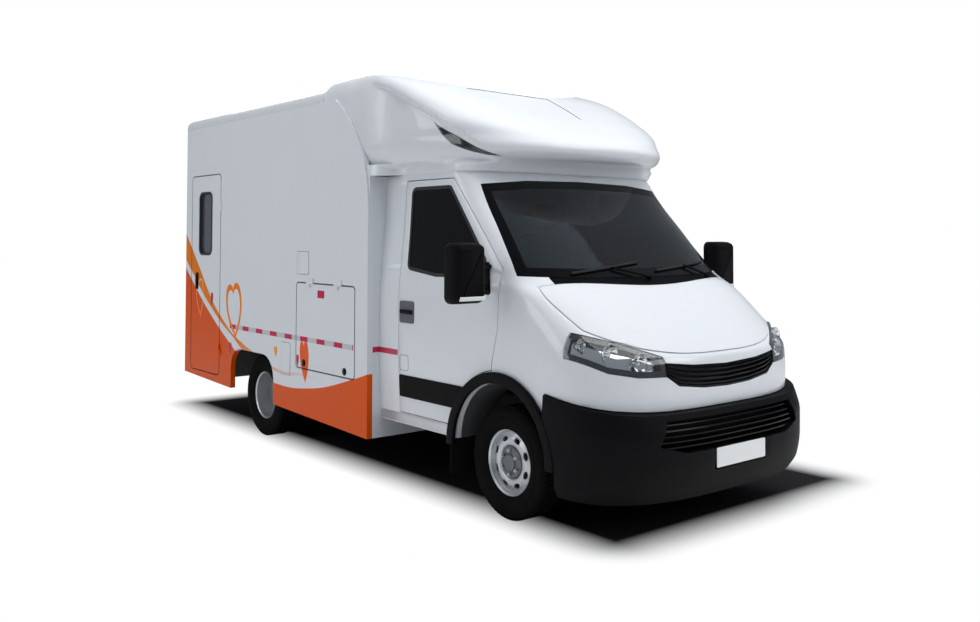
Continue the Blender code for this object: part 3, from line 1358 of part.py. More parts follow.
def make_knuckles():
    """The steering knuckles; each one's origin is on its kingpin at axle height."""
    for word, side in SIDES:
        x = side * KINGPIN_X
        y = FRONT_AXLE_Y
        knuckle = rod("knuckle_" + word, KNUCKLE_RADIUS, (x, y, KNUCKLE_LOW_Z), (x, y, KNUCKLE_HIGH_Z), CAST_METAL, segments=12)
        end = side * (FRONT_WHEEL_X + SPINDLE_END)
        cut(knuckle, rod("spindle_" + word, SPINDLE_RADIUS, (x, y, TYRE_RADIUS), (end, y, TYRE_RADIUS), segments=12), "UNION")
        arm_end = (side * (KINGPIN_X - 0.03), y + 0.13, TYRE_RADIUS)
        cut(knuckle, rod("steering_arm_" + word, KNUCKLE_RADIUS / 2, (x, y, TYRE_RADIUS), arm_end, segments=10), "UNION")


def tyre_profile():
    """Half section of a tyre as (radius, offset), down its outer side."""
    half = TYRE_WIDTH / 2
    inside = RIM_HALF_WIDTH - FLANGE_WIDTH - RUNNING_GAP
    flange = FLANGE_RADIUS + RUNNING_GAP
    upper = [
        (BEAD_RADIUS, inside),
        (flange, inside),
        (flange, half * 0.90),
        (TYRE_RADIUS * 0.88, half),
        (TYRE_RADIUS, half * 0.72),
    ]
    return upper + [(radius, -offset) for radius, offset in reversed(upper)]


def rim_half(centre):
    """The outside of one rim, with its two flanges, from its outboard lip inwards."""
    inside = RIM_HALF_WIDTH - FLANGE_WIDTH
    inner = BARREL_RADIUS - BARREL_WALL
    lip = FLANGE_RADIUS - BARREL_WALL
    upper = [
        (inner, inside),
        (lip, RIM_HALF_WIDTH),
        (FLANGE_RADIUS, RIM_HALF_WIDTH),
        (FLANGE_RADIUS, inside),
        (BARREL_RADIUS, inside),
    ]
    lower = [(radius, -offset) for radius, offset in reversed(upper)]
    return [(radius, centre + offset) for radius, offset in upper + lower]


def front_rim_profile():
    """Section of a front wheel from its hub cap round to its blind bore."""
    inner = BARREL_RADIUS - BARREL_WALL
    bore = SPINDLE_RADIUS + RUNNING_GAP
    return [
        (0, 0.078),
        (0.050, 0.068),
        (0.055, 0.050),
        (0.150, 0.056),
        (0.180, 0.030),
        *rim_half(0),
        (inner, 0.005),
        (0.065, 0.030),
        (0.065, -0.030),
        (bore, -0.030),
        (bore, SPINDLE_END + RUNNING_GAP),
        (0, SPINDLE_END + RUNNING_GAP),
    ]


def rear_rim_profile():
    """Section of a rear twin: two dished discs back to back on one hub."""
    inner = BARREL_RADIUS - BARREL_WALL
    bore = REAR_SPINDLE_RADIUS + RUNNING_GAP
    centre = TWIN_SPACING / 2
    disc = centre - RIM_HALF_WIDTH + FLANGE_WIDTH + DISC_WALL
    return [
        (0, 0.130),
        (0.080, 0.125),
        (0.085, 0.020),
        (0.150, 0.016),
        (inner, disc),
        *rim_half(centre),
        (0.150, 0),
        *rim_half(-centre),
        (inner, -disc),
        (0.150, -0.018),
        (0.100, -0.088),
        (bore, -0.088),
        (bore, REAR_SPINDLE_END + RUNNING_GAP),
        (0, REAR_SPINDLE_END + RUNNING_GAP),
    ]


REAR_SPINDLE_END = 0.05


def make_wheels():
    """Front wheels on their knuckles and rear twins, each with its tyres."""
    for word, side in SIDES:
        centre = (side * FRONT_WHEEL_X, FRONT_AXLE_Y, TYRE_RADIUS)
        turned("tyre_front_" + word, tyre_profile(), centre, side, RUBBER)
        turned("rim_front_" + word, front_rim_profile(), centre, side, WHEEL_SILVER)
        middle = (side * REAR_TWIN_X, REAR_AXLE_Y, TYRE_RADIUS)
        turned("rims_rear_" + word, rear_rim_profile(), middle, side, WHEEL_SILVER)
        for place_word, sign in (("outer", 1), ("inner", -1)):
            x = side * (REAR_TWIN_X + sign * TWIN_SPACING / 2)
            name = "tyre_rear_%s_%s" % (word, place_word)
            turned(name, tyre_profile(), (x, REAR_AXLE_Y, TYRE_RADIUS), side, RUBBER)


AXLE_RADIUS = 0.06
DIFF_RADIUS = 0.14
AXLE_HALF = 0.66


def make_rear_axle():
    """The rear axle tube with its differential, spindles and leaf springs."""
    y = REAR_AXLE_Y
    z = TYRE_RADIUS
    reach = REAR_TWIN_X + REAR_SPINDLE_END
    axle = rod("rear_axle", REAR_SPINDLE_RADIUS, (-reach, y, z), (reach, y, z), CAST_METAL, segments=12)
    pieces = [rod("axle_tube", AXLE_RADIUS, (-AXLE_HALF, y, z), (AXLE_HALF, y, z), segments=12)]
    bm = bmesh.new()
    bmesh.ops.create_uvsphere(bm, u_segments=10, v_segments=6, radius=DIFF_RADIUS)
    bmesh.ops.translate(bm, verts=bm.verts, vec=(0, y, z))
    pieces.append(add("differential", bm))
    pieces.append(rod("pinion_nose", DIFF_RADIUS / 2, (0, y, z), (0, y - DIFF_RADIUS * 1.5, z), segments=12))
    for word, side in SIDES:
        xs = sorted((side * (SPRING_X - SPRING_WIDTH / 2), side * (SPRING_X + SPRING_WIDTH / 2)))
        upper, lower = [], []
        for step in range(7):
            share = step / 3 - 1
            height = SPRING_END_Z - SPRING_SAG * (1 - share * share)
            upper.append((y + share * (SPRING_REACH + OVERRUN / 2), height + SPRING_THICKNESS / 2))
            lower.append((y + share * (SPRING_REACH + OVERRUN / 2), height - SPRING_THICKNESS / 2))
        pieces.append(plate("leaf_spring_" + word, "YZ", [upper + lower[::-1]], *xs))
        low = (xs[0] + SEAM, y - OVERRUN, z)
        high = (xs[1] - SEAM, y + OVERRUN, SPRING_END_Z - SPRING_SAG + SPRING_THICKNESS)
        pieces.append(box("spring_pad_" + word, low, high))
    joined(axle, pieces)


MOUNT_REACH = 0.40
ENGINE_FRONT = 0.71
ENGINE_REAR = 0.13
ENGINE_HALF_WIDTH = 0.26
ENGINE_BOTTOM_Z = 0.45
ENGINE_TOP_Z = 1.02
GEARBOX_END = 1.05
GEARBOX_Z = 0.575
GEARBOX_RADIUS = 0.115
GEARBOX_END_Z = 0.49
GEARBOX_END_RADIUS = 0.05
SHAFT_RADIUS = 0.035


def make_driveline():
    """Engine block with its gearbox, propeller shaft, fuel tank and exhaust."""
    low = (-ENGINE_HALF_WIDTH, along(-ENGINE_FRONT), ENGINE_BOTTOM_Z)
    high = (ENGINE_HALF_WIDTH, along(-ENGINE_REAR), ENGINE_TOP_Z)
    engine = box("engine_block", low, high, CAST_METAL)
    start = (0, along(-ENGINE_REAR) - OVERRUN, GEARBOX_Z)
    end = (0, along(GEARBOX_END), GEARBOX_END_Z)
    cut(engine, rod("gearbox", GEARBOX_RADIUS, start, end, end_radius=GEARBOX_END_RADIUS), "UNION")
    mount_low = (-RAIL_X + RAIL_WIDTH / 2 + SEAM, along(-MOUNT_REACH), RAIL_BOTTOM_Z + OVERRUN)
    mount_high = (RAIL_X - RAIL_WIDTH / 2 - SEAM, along(-MOUNT_REACH) + CROSS_WIDTH, RAIL_TOP_Z - OVERRUN)
    cut(engine, box("engine_mounts", mount_low, mount_high), "UNION")
    nose = REAR_AXLE_Y - DIFF_RADIUS * 1.5
    slope = (GEARBOX_END_Z - TYRE_RADIUS) / (nose - along(GEARBOX_END))
    box_slope = (GEARBOX_Z - GEARBOX_END_Z) / (GEARBOX_END + ENGINE_REAR)
    shaft_start = (0, along(GEARBOX_END) + GEARBOX_END_RADIUS * box_slope + SHAFT_RADIUS * slope, GEARBOX_END_Z)
    shaft_end = (0, nose - SHAFT_RADIUS * slope - RUNNING_GAP, TYRE_RADIUS)
    rod("propeller_shaft", SHAFT_RADIUS, shaft_start, shaft_end, CHASSIS_BLACK, segments=16)
    tank_x = RAIL_X + RAIL_WIDTH / 2 + SEAM
    tank_low = (tank_x, along(1.60), 0.42)
    tank_high = (tank_x + 0.50, along(2.55), 0.66)
    tank = box("fuel_tank", tank_low, tank_high, BLACK_PLASTIC)
    bevel(tank, 0.04)
    points = [(-0.20, along(0.16), 0.44), (-0.20, along(2.78), 0.44), (-0.26, along(2.84), 0.40), (-0.90, along(2.84), 0.36)]
    exhaust = tube("exhaust", points, 0.03, CAST_METAL)
    cut(exhaust, rod("muffler", 0.085, (-0.20, along(1.60), 0.41), (-0.20, along(2.20), 0.41)), "UNION")
    for index, distance in enumerate((1.20, 2.80)):
        y = along(distance)
        cut(exhaust, box("exhaust_hanger_%d" % index, (-0.215, y, 0.45), (-0.185, y + CROSS_WIDTH, CROSS_BOTTOM_Z - SEAM)), "UNION")


def bevel(obj, width, segments=2):
    """Round an object's edges."""
    modifier = obj.modifiers.new("bevel", "BEVEL")
    modifier.width = width
    modifier.segments = segments
    modifier.limit_method = "ANGLE"


make_cab()
make_cab_doors()
make_windshield()
make_hood()
make_headlamps()
make_grille()
make_front_bumper()
make_arch_trims()
make_mirrors()
make_dashboard()
make_steering_wheel()
make_chairs()
make_cowl()
make_side_walls()
make_entry_door()
make_locker()
make_floor()
make_rear_wall()
make_front_wall()
make_roof()
make_fairing()
make_rear_bumper()
make_chassis()
make_front_suspension()
make_knuckles()
make_wheels()
make_rear_axle()
make_driveline()
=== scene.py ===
"""Looks of the bloodmobile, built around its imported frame."""
import logging
import math
from dataclasses import dataclass, field
from enum import Enum
from typing import Dict, Iterable, List, Optional, Sequence, Tuple

import bmesh
import bpy
from mathutils import Matrix, Vector


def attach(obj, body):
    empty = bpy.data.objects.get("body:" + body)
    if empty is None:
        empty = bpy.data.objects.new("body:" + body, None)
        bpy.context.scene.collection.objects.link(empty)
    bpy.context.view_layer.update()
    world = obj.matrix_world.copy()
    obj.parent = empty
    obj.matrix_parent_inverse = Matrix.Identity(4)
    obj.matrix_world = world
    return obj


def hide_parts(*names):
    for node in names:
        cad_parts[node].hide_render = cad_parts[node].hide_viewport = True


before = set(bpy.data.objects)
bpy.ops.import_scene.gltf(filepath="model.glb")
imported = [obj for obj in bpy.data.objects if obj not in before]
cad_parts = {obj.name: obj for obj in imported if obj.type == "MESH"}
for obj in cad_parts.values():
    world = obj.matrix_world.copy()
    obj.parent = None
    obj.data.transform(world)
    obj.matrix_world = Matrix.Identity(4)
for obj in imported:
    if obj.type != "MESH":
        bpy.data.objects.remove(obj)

LOG = logging.getLogger("bloodmobile")
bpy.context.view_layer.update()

Point2 = Tuple[float, float]
Point3 = Tuple[float, float, float]
Colour = Tuple[float, float, float]
# A rectangle in the side view: front, rear, low and high
Patch = Tuple[float, float, float, float]

# Places shared by the sub-assemblies, in metres
FRONT_AXLE_Y = -1.915
REAR_AXLE_Y = 1.396
FRONT_Y = -2.995
BODY_FRONT_Y = -0.532
BODY_REAR_Y = 2.921
BODY_HALF_WIDTH = 1.103
CAB_HALF_WIDTH = 1.0
CAB_TOP_Z = 2.20
CAB_NOSE = 2.363
OVERRUN = 0.05
SHUT_GAP = 0.006
SEAM = 0.0004
WELD = 0.00001
FULL_HEIGHT = (0.0, 9.0)


class Side(Enum):
    """The vehicle's two sides."""

    RIGHT = ("right", -1)
    LEFT = ("left", 1)

    @property
    def word(self) -> str:
        """The side's name in node names."""
        return self.value[0]

    @property
    def sign(self) -> int:
        """The sign of X on this side."""
        return self.value[1]


class Plane(Enum):
    """The plane in which a plate's outline is drawn."""

    SIDE = "YZ"
    FRONT = "XZ"
    PLAN = "XY"


def along(distance: float) -> float:
    """The Y of a point that lies a distance behind the front axle."""
    return FRONT_AXLE_Y + distance


def srgb(red: float, green: float, blue: float) -> Colour:
    """A colour written in 0 to 255 display values, as the linear values that shaders take."""
    made = []
    for value in (red, green, blue):
        share = value / 255
        made.append(share / 12.92 if share <= 0.04045 else ((share + 0.055) / 1.055) ** 2.4)
    return (made[0], made[1], made[2])


# Meshes

CUTTERS: List[bpy.types.Object] = []
MATERIALS: Dict[str, bpy.types.Material] = {}


def add_mesh(name: str, bm: bmesh.types.BMesh, cutter: bool = False) -> bpy.types.Object:
    """Make an object from a bmesh.

    Args:
        name: The object's name.
        bm: The bmesh, which is freed.
        cutter: Whether the object only cuts others and goes at the end.

    Returns:
        The new object.
    """
    mesh = bpy.data.meshes.new(name)
    bm.to_mesh(mesh)
    bm.free()
    obj = bpy.data.objects.new(name, mesh)
    bpy.context.scene.collection.objects.link(obj)
    if cutter:
        obj.hide_render = True
        CUTTERS.append(obj)
    return obj


def smoothed(xs: Sequence[float], ys: Sequence[float], x: float) -> float:
    """A monotone cubic curve through the points, read at x."""
    count = len(xs)
    gaps = [xs[i + 1] - xs[i] for i in range(count - 1)]
    slopes = [(ys[i + 1] - ys[i]) / gaps[i] for i in range(count - 1)]
    tangents = [slopes[0]]
    for i in range(1, count - 1):
        before, after = slopes[i - 1], slopes[i]
        if before * after <= 0:
            tangents.append(0.0)
            continue
        first, second = 2 * gaps[i] + gaps[i - 1], gaps[i] + 2 * gaps[i - 1]
        tangents.append((first + second) / (first / before + second / after))
    tangents.append(slopes[-1])
    index = 0
    while index < count - 2 and x > xs[index + 1]:
        index += 1
    gap = gaps[index]
    t = (x - xs[index]) / gap
    return (
        ys[index] * (1 + 2 * t) * (1 - t) ** 2
        + tangents[index] * gap * t * (1 - t) ** 2
        + ys[index + 1] * t * t * (3 - 2 * t)
        + tangents[index + 1] * gap * t * t * (t - 1)
    )


def dense_rows(table: Sequence[Sequence[float]], step: float) -> List[Tuple[float, ...]]:
    """A table's rows with smooth rows put in between, so that heights lie a step apart or less."""
    heights = [row[0] for row in table]
    columns = list(zip(*table))
    made: List[Tuple[float, ...]] = []
    for low, high in zip(heights, heights[1:]):
        pieces = max(1, math.ceil((high - low) / step))
        for piece in range(pieces):
            height = low + (high - low) * piece / pieces
            made.append((height, *(smoothed(heights, column, height) for column in columns[1:])))
    made.append(tuple(table[-1]))
    return made


@dataclass(frozen=True)
class Ring:
    """One level ring: a rounded front between two sides."""

    height: float
    front: float
    corner: float
    rear: float
    width: float
    rear_width: float
    power: float
    flare: Optional[Tuple[float, float]] = None

    def points(self, front_steps: int = 22, side_steps: int = 5, flare_steps: int = 8) -> List[Point3]:
        """The ring's points from the middle of the front round the left to the right."""
        half: List[Point2] = []
        for step in range(front_steps + 1):
            angle = math.radians(90) * step / front_steps
            across = self.width * math.sin(angle) ** (2 / self.power)
            back = self.corner - (self.corner - self.front) * max(math.cos(angle), 0) ** (2 / self.power)
            half.append((across, back))
        start = self.corner
        if self.flare:
            for step in range(flare_steps + 1):
                share = step / flare_steps
                blend = share * share * (3 - 2 * share)
                across = self.width + (self.rear_width - self.width) * blend
                half.append((across, self.flare[0] + (self.flare[1] - self.flare[0]) * share))
            start = self.flare[1]
        for step in range(1, side_steps + 1):
            half.append((self.rear_width, start + (self.rear - start) * step / side_steps))
        other = [(-across, back) for across, back in reversed(half[1:])]
        return [(across, back, self.height) for across, back in half + other]

    def even(self, count: int) -> List[Point3]:
        """The ring's points spaced evenly along its length, with a count of steps on each side."""
        fine = self.points(240, 6, 40)
        half = fine[: len(fine) // 2 + 1]
        lengths = [0.0]
        for first, second in zip(half, half[1:]):
            lengths.append(lengths[-1] + math.dist(first[:2], second[:2]))
        made: List[Point2] = []
        index = 0
        for step in range(count + 1):
            wanted = lengths[-1] * step / count
            while index < len(lengths) - 2 and lengths[index + 1] < wanted:
                index += 1
            share = (wanted - lengths[index]) / max(lengths[index + 1] - lengths[index], 0.000001)
            first, second = half[index], half[index + 1]
            x, y = (start + (end - start) * share for start, end in zip(first[:2], second[:2]))
            made.append((x, y))
        other = [(-across, back) for across, back in reversed(made[1:])]
        return [(across, back, self.height) for across, back in made + other]


def eased(value: float) -> float:
    """A smooth step from nought to one."""
    share = min(max(value, 0.0), 1.0)
    return share * share * (3 - 2 * share)


def height_on(line: Sequence[Point2], distance: float) -> float:
    """The height of a line of points at a distance."""
    if distance <= line[0][0]:
        return line[0][1]
    for (first, low), (second, high) in zip(line, line[1:]):
        if distance <= second:
            return low + (high - low) * (distance - first) / (second - first)
    return line[-1][1]


def loft(name: str, rings: Sequence[Sequence[Point3]], cutter: bool = True) -> bpy.types.Object:
    """A closed solid skinned over rings of equal point counts."""
    bm = bmesh.new()
    rows = [[bm.verts.new(point) for point in points] for points in rings]
    count = len(rows[0])
    for lower, upper in zip(rows, rows[1:]):
        for index in range(count):
            after = (index + 1) % count
            bm.faces.new((lower[index], lower[after], upper[after], upper[index]))
    bm.faces.new(list(reversed(rows[0])))
    bm.faces.new(rows[-1])
    bmesh.ops.remove_doubles(bm, verts=bm.verts, dist=WELD)
    bmesh.ops.recalc_face_normals(bm, faces=bm.faces)
    return add_mesh(name, bm, cutter)


def kept(obj: bpy.types.Object) -> bpy.types.Object:
    """Take a cutter back as a piece that shows."""
    CUTTERS.remove(obj)
    obj.hide_render = False
    return obj


def box(name: str, low: Point3, high: Point3, cutter: bool = False) -> bpy.types.Object:
    """A box between two opposite corners."""
    bm = bmesh.new()
    low, high = [tuple(pick(ends) for ends in zip(low, high)) for pick in (min, max)]
    size = Vector(high) - Vector(low)
    grow = Matrix.Diagonal((size.x, size.y, size.z, 1))
    bmesh.ops.create_cube(bm, size=1, matrix=Matrix.Translation((Vector(low) + Vector(high)) / 2) @ grow)
    return add_mesh(name, bm, cutter)


def rod(
    name: str,
    radius: float,
    start: Point3,
    end: Point3,
    segments: int = 32,
    end_radius: Optional[float] = None,
    cutter: bool = False,
) -> bpy.types.Object:
    """A round bar, or a cone, from one point to another."""
    bm = bmesh.new()
    way = Vector(end) - Vector(start)
    turn = way.to_track_quat("Z", "Y").to_matrix().to_4x4()
    bmesh.ops.create_cone(
        bm,
        cap_ends=True,
        segments=segments,
        radius1=radius,
        radius2=radius if end_radius is None else end_radius,
        depth=way.length,
        matrix=Matrix.Translation((Vector(start) + Vector(end)) / 2) @ turn,
    )
    return add_mesh(name, bm, cutter)


def settled(obj: bpy.types.Object, cutter: bool = False) -> bpy.types.Object:
    """Turn a curve or a modified object into a plain welded mesh with its place in its points."""
    name = obj.name
    for member in (obj, *CUTTERS) if obj.modifiers else ():
        for modifier in member.modifiers:
            if not modifier.show_viewport:
                modifier.show_viewport = True
    bpy.context.view_layer.update()
    graph = bpy.context.evaluated_depsgraph_get()
    mesh = bpy.data.meshes.new_from_object(obj.evaluated_get(graph))
    mesh.transform(obj.matrix_world)
    bpy.data.objects.remove(obj, do_unlink=True)
    bm = bmesh.new()
    bm.from_mesh(mesh)
    bmesh.ops.remove_doubles(bm, verts=bm.verts, dist=WELD)
    bmesh.ops.recalc_face_normals(bm, faces=bm.faces)
    bm.to_mesh(mesh)
    bm.free()
    made = bpy.data.objects.new(name, mesh)
    bpy.context.scene.collection.objects.link(made)
    if cutter:
        made.hide_render = True
        CUTTERS.append(made)
    return made


def plate(
    name: str,
    plane: Plane,
    outlines: Sequence[Sequence[Point2]],
    low: float,
    high: float,
    cutter: bool = False,
) -> bpy.types.Object:
    """A flat plate between two distances along the axis square to its plane."""
    turns = {
        Plane.SIDE: Matrix(((0, 0, 1, 0), (1, 0, 0, 0), (0, 1, 0, 0), (0, 0, 0, 1))),
        Plane.FRONT: Matrix(((1, 0, 0, 0), (0, 0, -1, 0), (0, 1, 0, 0), (0, 0, 0, 1))),
        Plane.PLAN: Matrix.Identity(4),
    }
    ways = {Plane.SIDE: Vector((1, 0, 0)), Plane.FRONT: Vector((0, 1, 0)), Plane.PLAN: Vector((0, 0, 1))}
    curve = bpy.data.curves.new(name, "CURVE")
    curve.dimensions = "2D"
    curve.fill_mode = "BOTH"
    curve.extrude = abs(high - low) / 2
    for outline in outlines:
        spline = curve.splines.new("POLY")
        spline.points.add(len(outline) - 1)
        for point, (across, up) in zip(spline.points, outline):
            point.co = (across, up, 0, 1)
        spline.use_cyclic_u = True
    obj = bpy.data.objects.new(name, curve)
    bpy.context.scene.collection.objects.link(obj)
    obj.matrix_world = Matrix.Translation(ways[plane] * (low + high) / 2) @ turns[plane]
    return settled(obj, cutter)


def tube(
    name: str,
    points: Sequence[Point3],
    radius: float,
    closed: bool = False,
    resolution: int = 4,
) -> bpy.types.Object:
    """A round tube through points."""
    curve = bpy.data.curves.new(name, "CURVE")
    curve.dimensions = "3D"
    curve.bevel_depth = radius
    curve.bevel_resolution = resolution
    curve.use_fill_caps = True
    spline = curve.splines.new("POLY")
    spline.points.add(len(points) - 1)
    for point, place in zip(spline.points, points):
        point.co = (*place, 1)
    spline.use_cyclic_u = closed
    obj = bpy.data.objects.new(name, curve)
    bpy.context.scene.collection.objects.link(obj)
    return settled(obj)


def cut(obj: bpy.types.Object, cutter: bpy.types.Object, operation: str = "DIFFERENCE") -> bpy.types.Object:
    """Cut, join or trim an object with another."""
    modifier = obj.modifiers.new(cutter.name, "BOOLEAN")
    modifier.operation = operation
    modifier.solver = "EXACT"
    modifier.object = cutter
    modifier.show_viewport = False
    return obj


def grown(outline: Sequence[Point2], amount: float) -> List[Point2]:
    """An outline moved outwards by an amount, or inwards if it is negative."""
    points = list(outline)
    area = sum(a[0] * b[1] - b[0] * a[1] for a, b in zip(points, points[1:] + points[:1]))
    sign = 1 if area > 0 else -1
    made = []
    for index, point in enumerate(points):
        before = Vector(point) - Vector(points[index - 1])
        after = Vector(points[(index + 1) % len(points)]) - Vector(point)
        first = Vector((before.y, -before.x)).normalized() * sign
        second = Vector((after.y, -after.x)).normalized() * sign
        miter = first + second
        miter = miter / max(miter.dot(first), 0.01)
        moved = Vector(point) + miter * amount
        made.append((moved.x, moved.y))
    return made


def rounded(corners: Sequence[Point2], radius: float, segments: int = 8) -> List[Point2]:
    """An outline whose corners are arcs."""
    made = []
    count = len(corners)
    for index, place in enumerate(corners):
        corner = Vector(place)
        back = Vector(corners[index - 1]) - corner
        ahead = Vector(corners[(index + 1) % count]) - corner
        half = back.angle(ahead) / 2
        reach = min(radius / math.tan(half), back.length / 2, ahead.length / 2)
        size = reach * math.tan(half)
        middle = corner + (back.normalized() + ahead.normalized()).normalized() * (size / math.sin(half))
        start = corner + back.normalized() * reach - middle
        end = corner + ahead.normalized() * reach - middle
        sweep = start.angle_signed(end)
        for step in range(segments + 1):
            spun = Matrix.Rotation(-sweep * step / segments, 2) @ start
            made.append((middle.x + spun.x, middle.y + spun.y))
    return made


def side_outline(points: Iterable[Point2]) -> List[Point2]:
    """Side-view points given as distances behind the front axle."""
    return [(along(distance), height) for distance, height in points]


def side_patch(patch: Patch, radius: float = 0.0) -> List[Point2]:
    """The outline of a rectangle in the side view, with its corners rounded by a radius."""
    front, rear, low, high = patch
    corners = side_outline([(front, low), (rear, low), (rear, high), (front, high)])
    return rounded(corners, radius) if radius else corners


def front_patch(middle: float, half: float, low: float, high: float, radius: float) -> List[Point2]:
    """The outline of a rounded rectangle in the front view."""
    left, right = middle - half, middle + half
    return rounded([(left, low), (right, low), (right, high), (left, high)], radius)


def shaded(obj: bpy.types.Object, angle: float = 32) -> bpy.types.Object:
    """Shade a mesh smooth, but for its edges sharper than an angle in degrees."""
    obj.data.shade_smooth()
    obj.data.set_sharp_from_angle(angle=math.radians(angle))
    return obj


def softened(
    obj: bpy.types.Object, width: float = 0.002, segments: int = 2, angle: float = 35
) -> bpy.types.Object:
    """Round a piece's edges with a bevel and make it a plain mesh."""
    bevel = obj.modifiers.new("soft_edges", "BEVEL")
    bevel.width = width
    bevel.segments = segments
    bevel.limit_method = "ANGLE"
    bevel.angle_limit = math.radians(angle)
    bevel.harden_normals = False
    return shaded(settled(obj), 40)


def turned(
    name: str,
    profile: Sequence[Point2],
    centre: Point3,
    sign: int,
    steps: int = 96,
) -> bpy.types.Object:
    """A body turned about the X axis from (radius, outboard offset) points."""
    bm = bmesh.new()
    rows = []
    for radius, offset in profile:
        if radius < WELD:
            rows.append([bm.verts.new((centre[0] + sign * offset, centre[1], centre[2]))])
            continue
        row = []
        for step in range(steps):
            angle = 2 * math.pi * step / steps
            place = (
                centre[0] + sign * offset,
                centre[1] + radius * math.cos(angle),
                centre[2] + radius * math.sin(angle),
            )
            row.append(bm.verts.new(place))
        rows.append(row)
    pairs = list(zip(rows, rows[1:]))
    if len(rows[0]) > 1 or len(rows[-1]) > 1:
        pairs.append((rows[-1], rows[0]))
    for first, second in pairs:
        for step in range(steps):
            after = (step + 1) % steps
            if len(first) == 1 and len(second) == 1:
                continue
            if len(first) == 1:
                bm.faces.new((first[0], second[step], second[after]))
            elif len(second) == 1:
                bm.faces.new((first[step], first[after], second[0]))
            else:
                bm.faces.new((first[step], first[after], second[after], second[step]))
    bmesh.ops.recalc_face_normals(bm, faces=bm.faces)
    return add_mesh(name, bm)


def copy_of(node: str, name: str, cutter: bool = False) -> bpy.types.Object:
    """A welded copy of a CAD node's mesh."""
    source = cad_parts[node]
    bm = bmesh.new()
    bm.from_mesh(source.data)
    bmesh.ops.remove_doubles(bm, verts=bm.verts, dist=2 * WELD)
    bmesh.ops.dissolve_limit(bm, angle_limit=math.radians(0.5), verts=bm.verts, edges=bm.edges)
    return add_mesh(name, bm, cutter)


# Repeats by Geometry Nodes


class Layout(Enum):
    """How a repeated shape is laid out."""

    ROUND = "round"
    ROW = "row"


def repeat_tree(layout: Layout) -> bpy.types.NodeTree:
    """The node tree that repeats a shape round a circle or along a row.

    Args:
        layout: Whether the copies stand round a circle or in a row.

    Returns:
        The tree, with inputs for the count, the radius or the step, and the material.
    """
    name = "repeat_" + layout.value
    if name in bpy.data.node_groups:
        return bpy.data.node_groups[name]
    tree = bpy.data.node_groups.new(name, "GeometryNodeTree")
    face = tree.interface
    face.new_socket("Geometry", in_out="INPUT", socket_type="NodeSocketGeometry")
    face.new_socket("Count", in_out="INPUT", socket_type="NodeSocketInt")
    if layout is Layout.ROUND:
        face.new_socket("Radius", in_out="INPUT", socket_type="NodeSocketFloat")
    else:
        face.new_socket("Step", in_out="INPUT", socket_type="NodeSocketVector")
    face.new_socket("Material", in_out="INPUT", socket_type="NodeSocketMaterial")
    face.new_socket("Geometry", in_out="OUTPUT", socket_type="NodeSocketGeometry")
    nodes, links = tree.nodes, tree.links
    start = nodes.new("NodeGroupInput")
    end = nodes.new("NodeGroupOutput")
    spread = nodes.new("GeometryNodeInstanceOnPoints")
    real = nodes.new("GeometryNodeRealizeInstances")
    dress = nodes.new("GeometryNodeSetMaterial")
    if layout is Layout.ROUND:
        places = nodes.new("GeometryNodeMeshCircle")
        links.new(start.outputs["Count"], places.inputs["Vertices"])
        links.new(start.outputs["Radius"], places.inputs["Radius"])
        index = nodes.new("GeometryNodeInputIndex")
        share = nodes.new("ShaderNodeMath")
        share.operation = "DIVIDE"
        links.new(index.outputs[0], share.inputs[0])
        links.new(start.outputs["Count"], share.inputs[1])
        angle = nodes.new("ShaderNodeMath")
        angle.operation = "MULTIPLY"
        angle.inputs[1].default_value = 2 * math.pi
        links.new(share.outputs[0], angle.inputs[0])
        turn = nodes.new("ShaderNodeCombineXYZ")
        links.new(angle.outputs[0], turn.inputs["Z"])
        links.new(turn.outputs[0], spread.inputs["Rotation"])
    else:
        places = nodes.new("GeometryNodeMeshLine")
        links.new(start.outputs["Count"], places.inputs["Count"])
        links.new(start.outputs["Step"], places.inputs["Offset"])
    links.new(places.outputs["Mesh"], spread.inputs["Points"])
    links.new(start.outputs["Geometry"], spread.inputs["Instance"])
    links.new(spread.outputs["Instances"], real.inputs["Geometry"])
    links.new(real.outputs["Geometry"], dress.inputs["Geometry"])
    links.new(start.outputs["Material"], dress.inputs["Material"])
    links.new(dress.outputs["Geometry"], end.inputs["Geometry"])
    return tree


def repeated(
    shape: bpy.types.Object,
    layout: Layout,
    count: int,
    spacing: object,
    finish: bpy.types.Material,
    matrix: Matrix = Matrix.Identity(4),
) -> bpy.types.Object:
    """Repeat a shape that is built at the origin, then put the whole in its place.

    Args:
        shape: The shape to repeat; with a round layout its +X points outwards.
        layout: Round a circle or along a row.
        count: How many.
        spacing: The circle's radius, or the step from one to the next.
        finish: The material.
        matrix: Where the repeated whole goes.

    Returns:
        A plain mesh object.
    """
    tree = repeat_tree(layout)
    modifier = shape.modifiers.new("repeat", "NODES")
    modifier.node_group = tree
    keys = {item.name: item.identifier for item in tree.interface.items_tree if item.in_out == "INPUT"}
    modifier[keys["Count"]] = count
    modifier[keys["Radius" if layout is Layout.ROUND else "Step"]] = spacing
    modifier[keys["Material"]] = finish
    bpy.context.view_layer.update()
    graph = bpy.context.evaluated_depsgraph_get()
    mesh = bpy.data.meshes.new_from_object(shape.evaluated_get(graph))
    name = shape.name
    bpy.data.objects.remove(shape, do_unlink=True)
    mesh.transform(matrix)
    mesh.materials.clear()
    mesh.materials.append(finish)
    bm = bmesh.new()
    bm.from_mesh(mesh)
    bmesh.ops.recalc_face_normals(bm, faces=bm.faces)
    bm.to_mesh(mesh)
    bm.free()
    made = bpy.data.objects.new(name, mesh)
    bpy.context.scene.collection.objects.link(made)
    return made


# Finishes


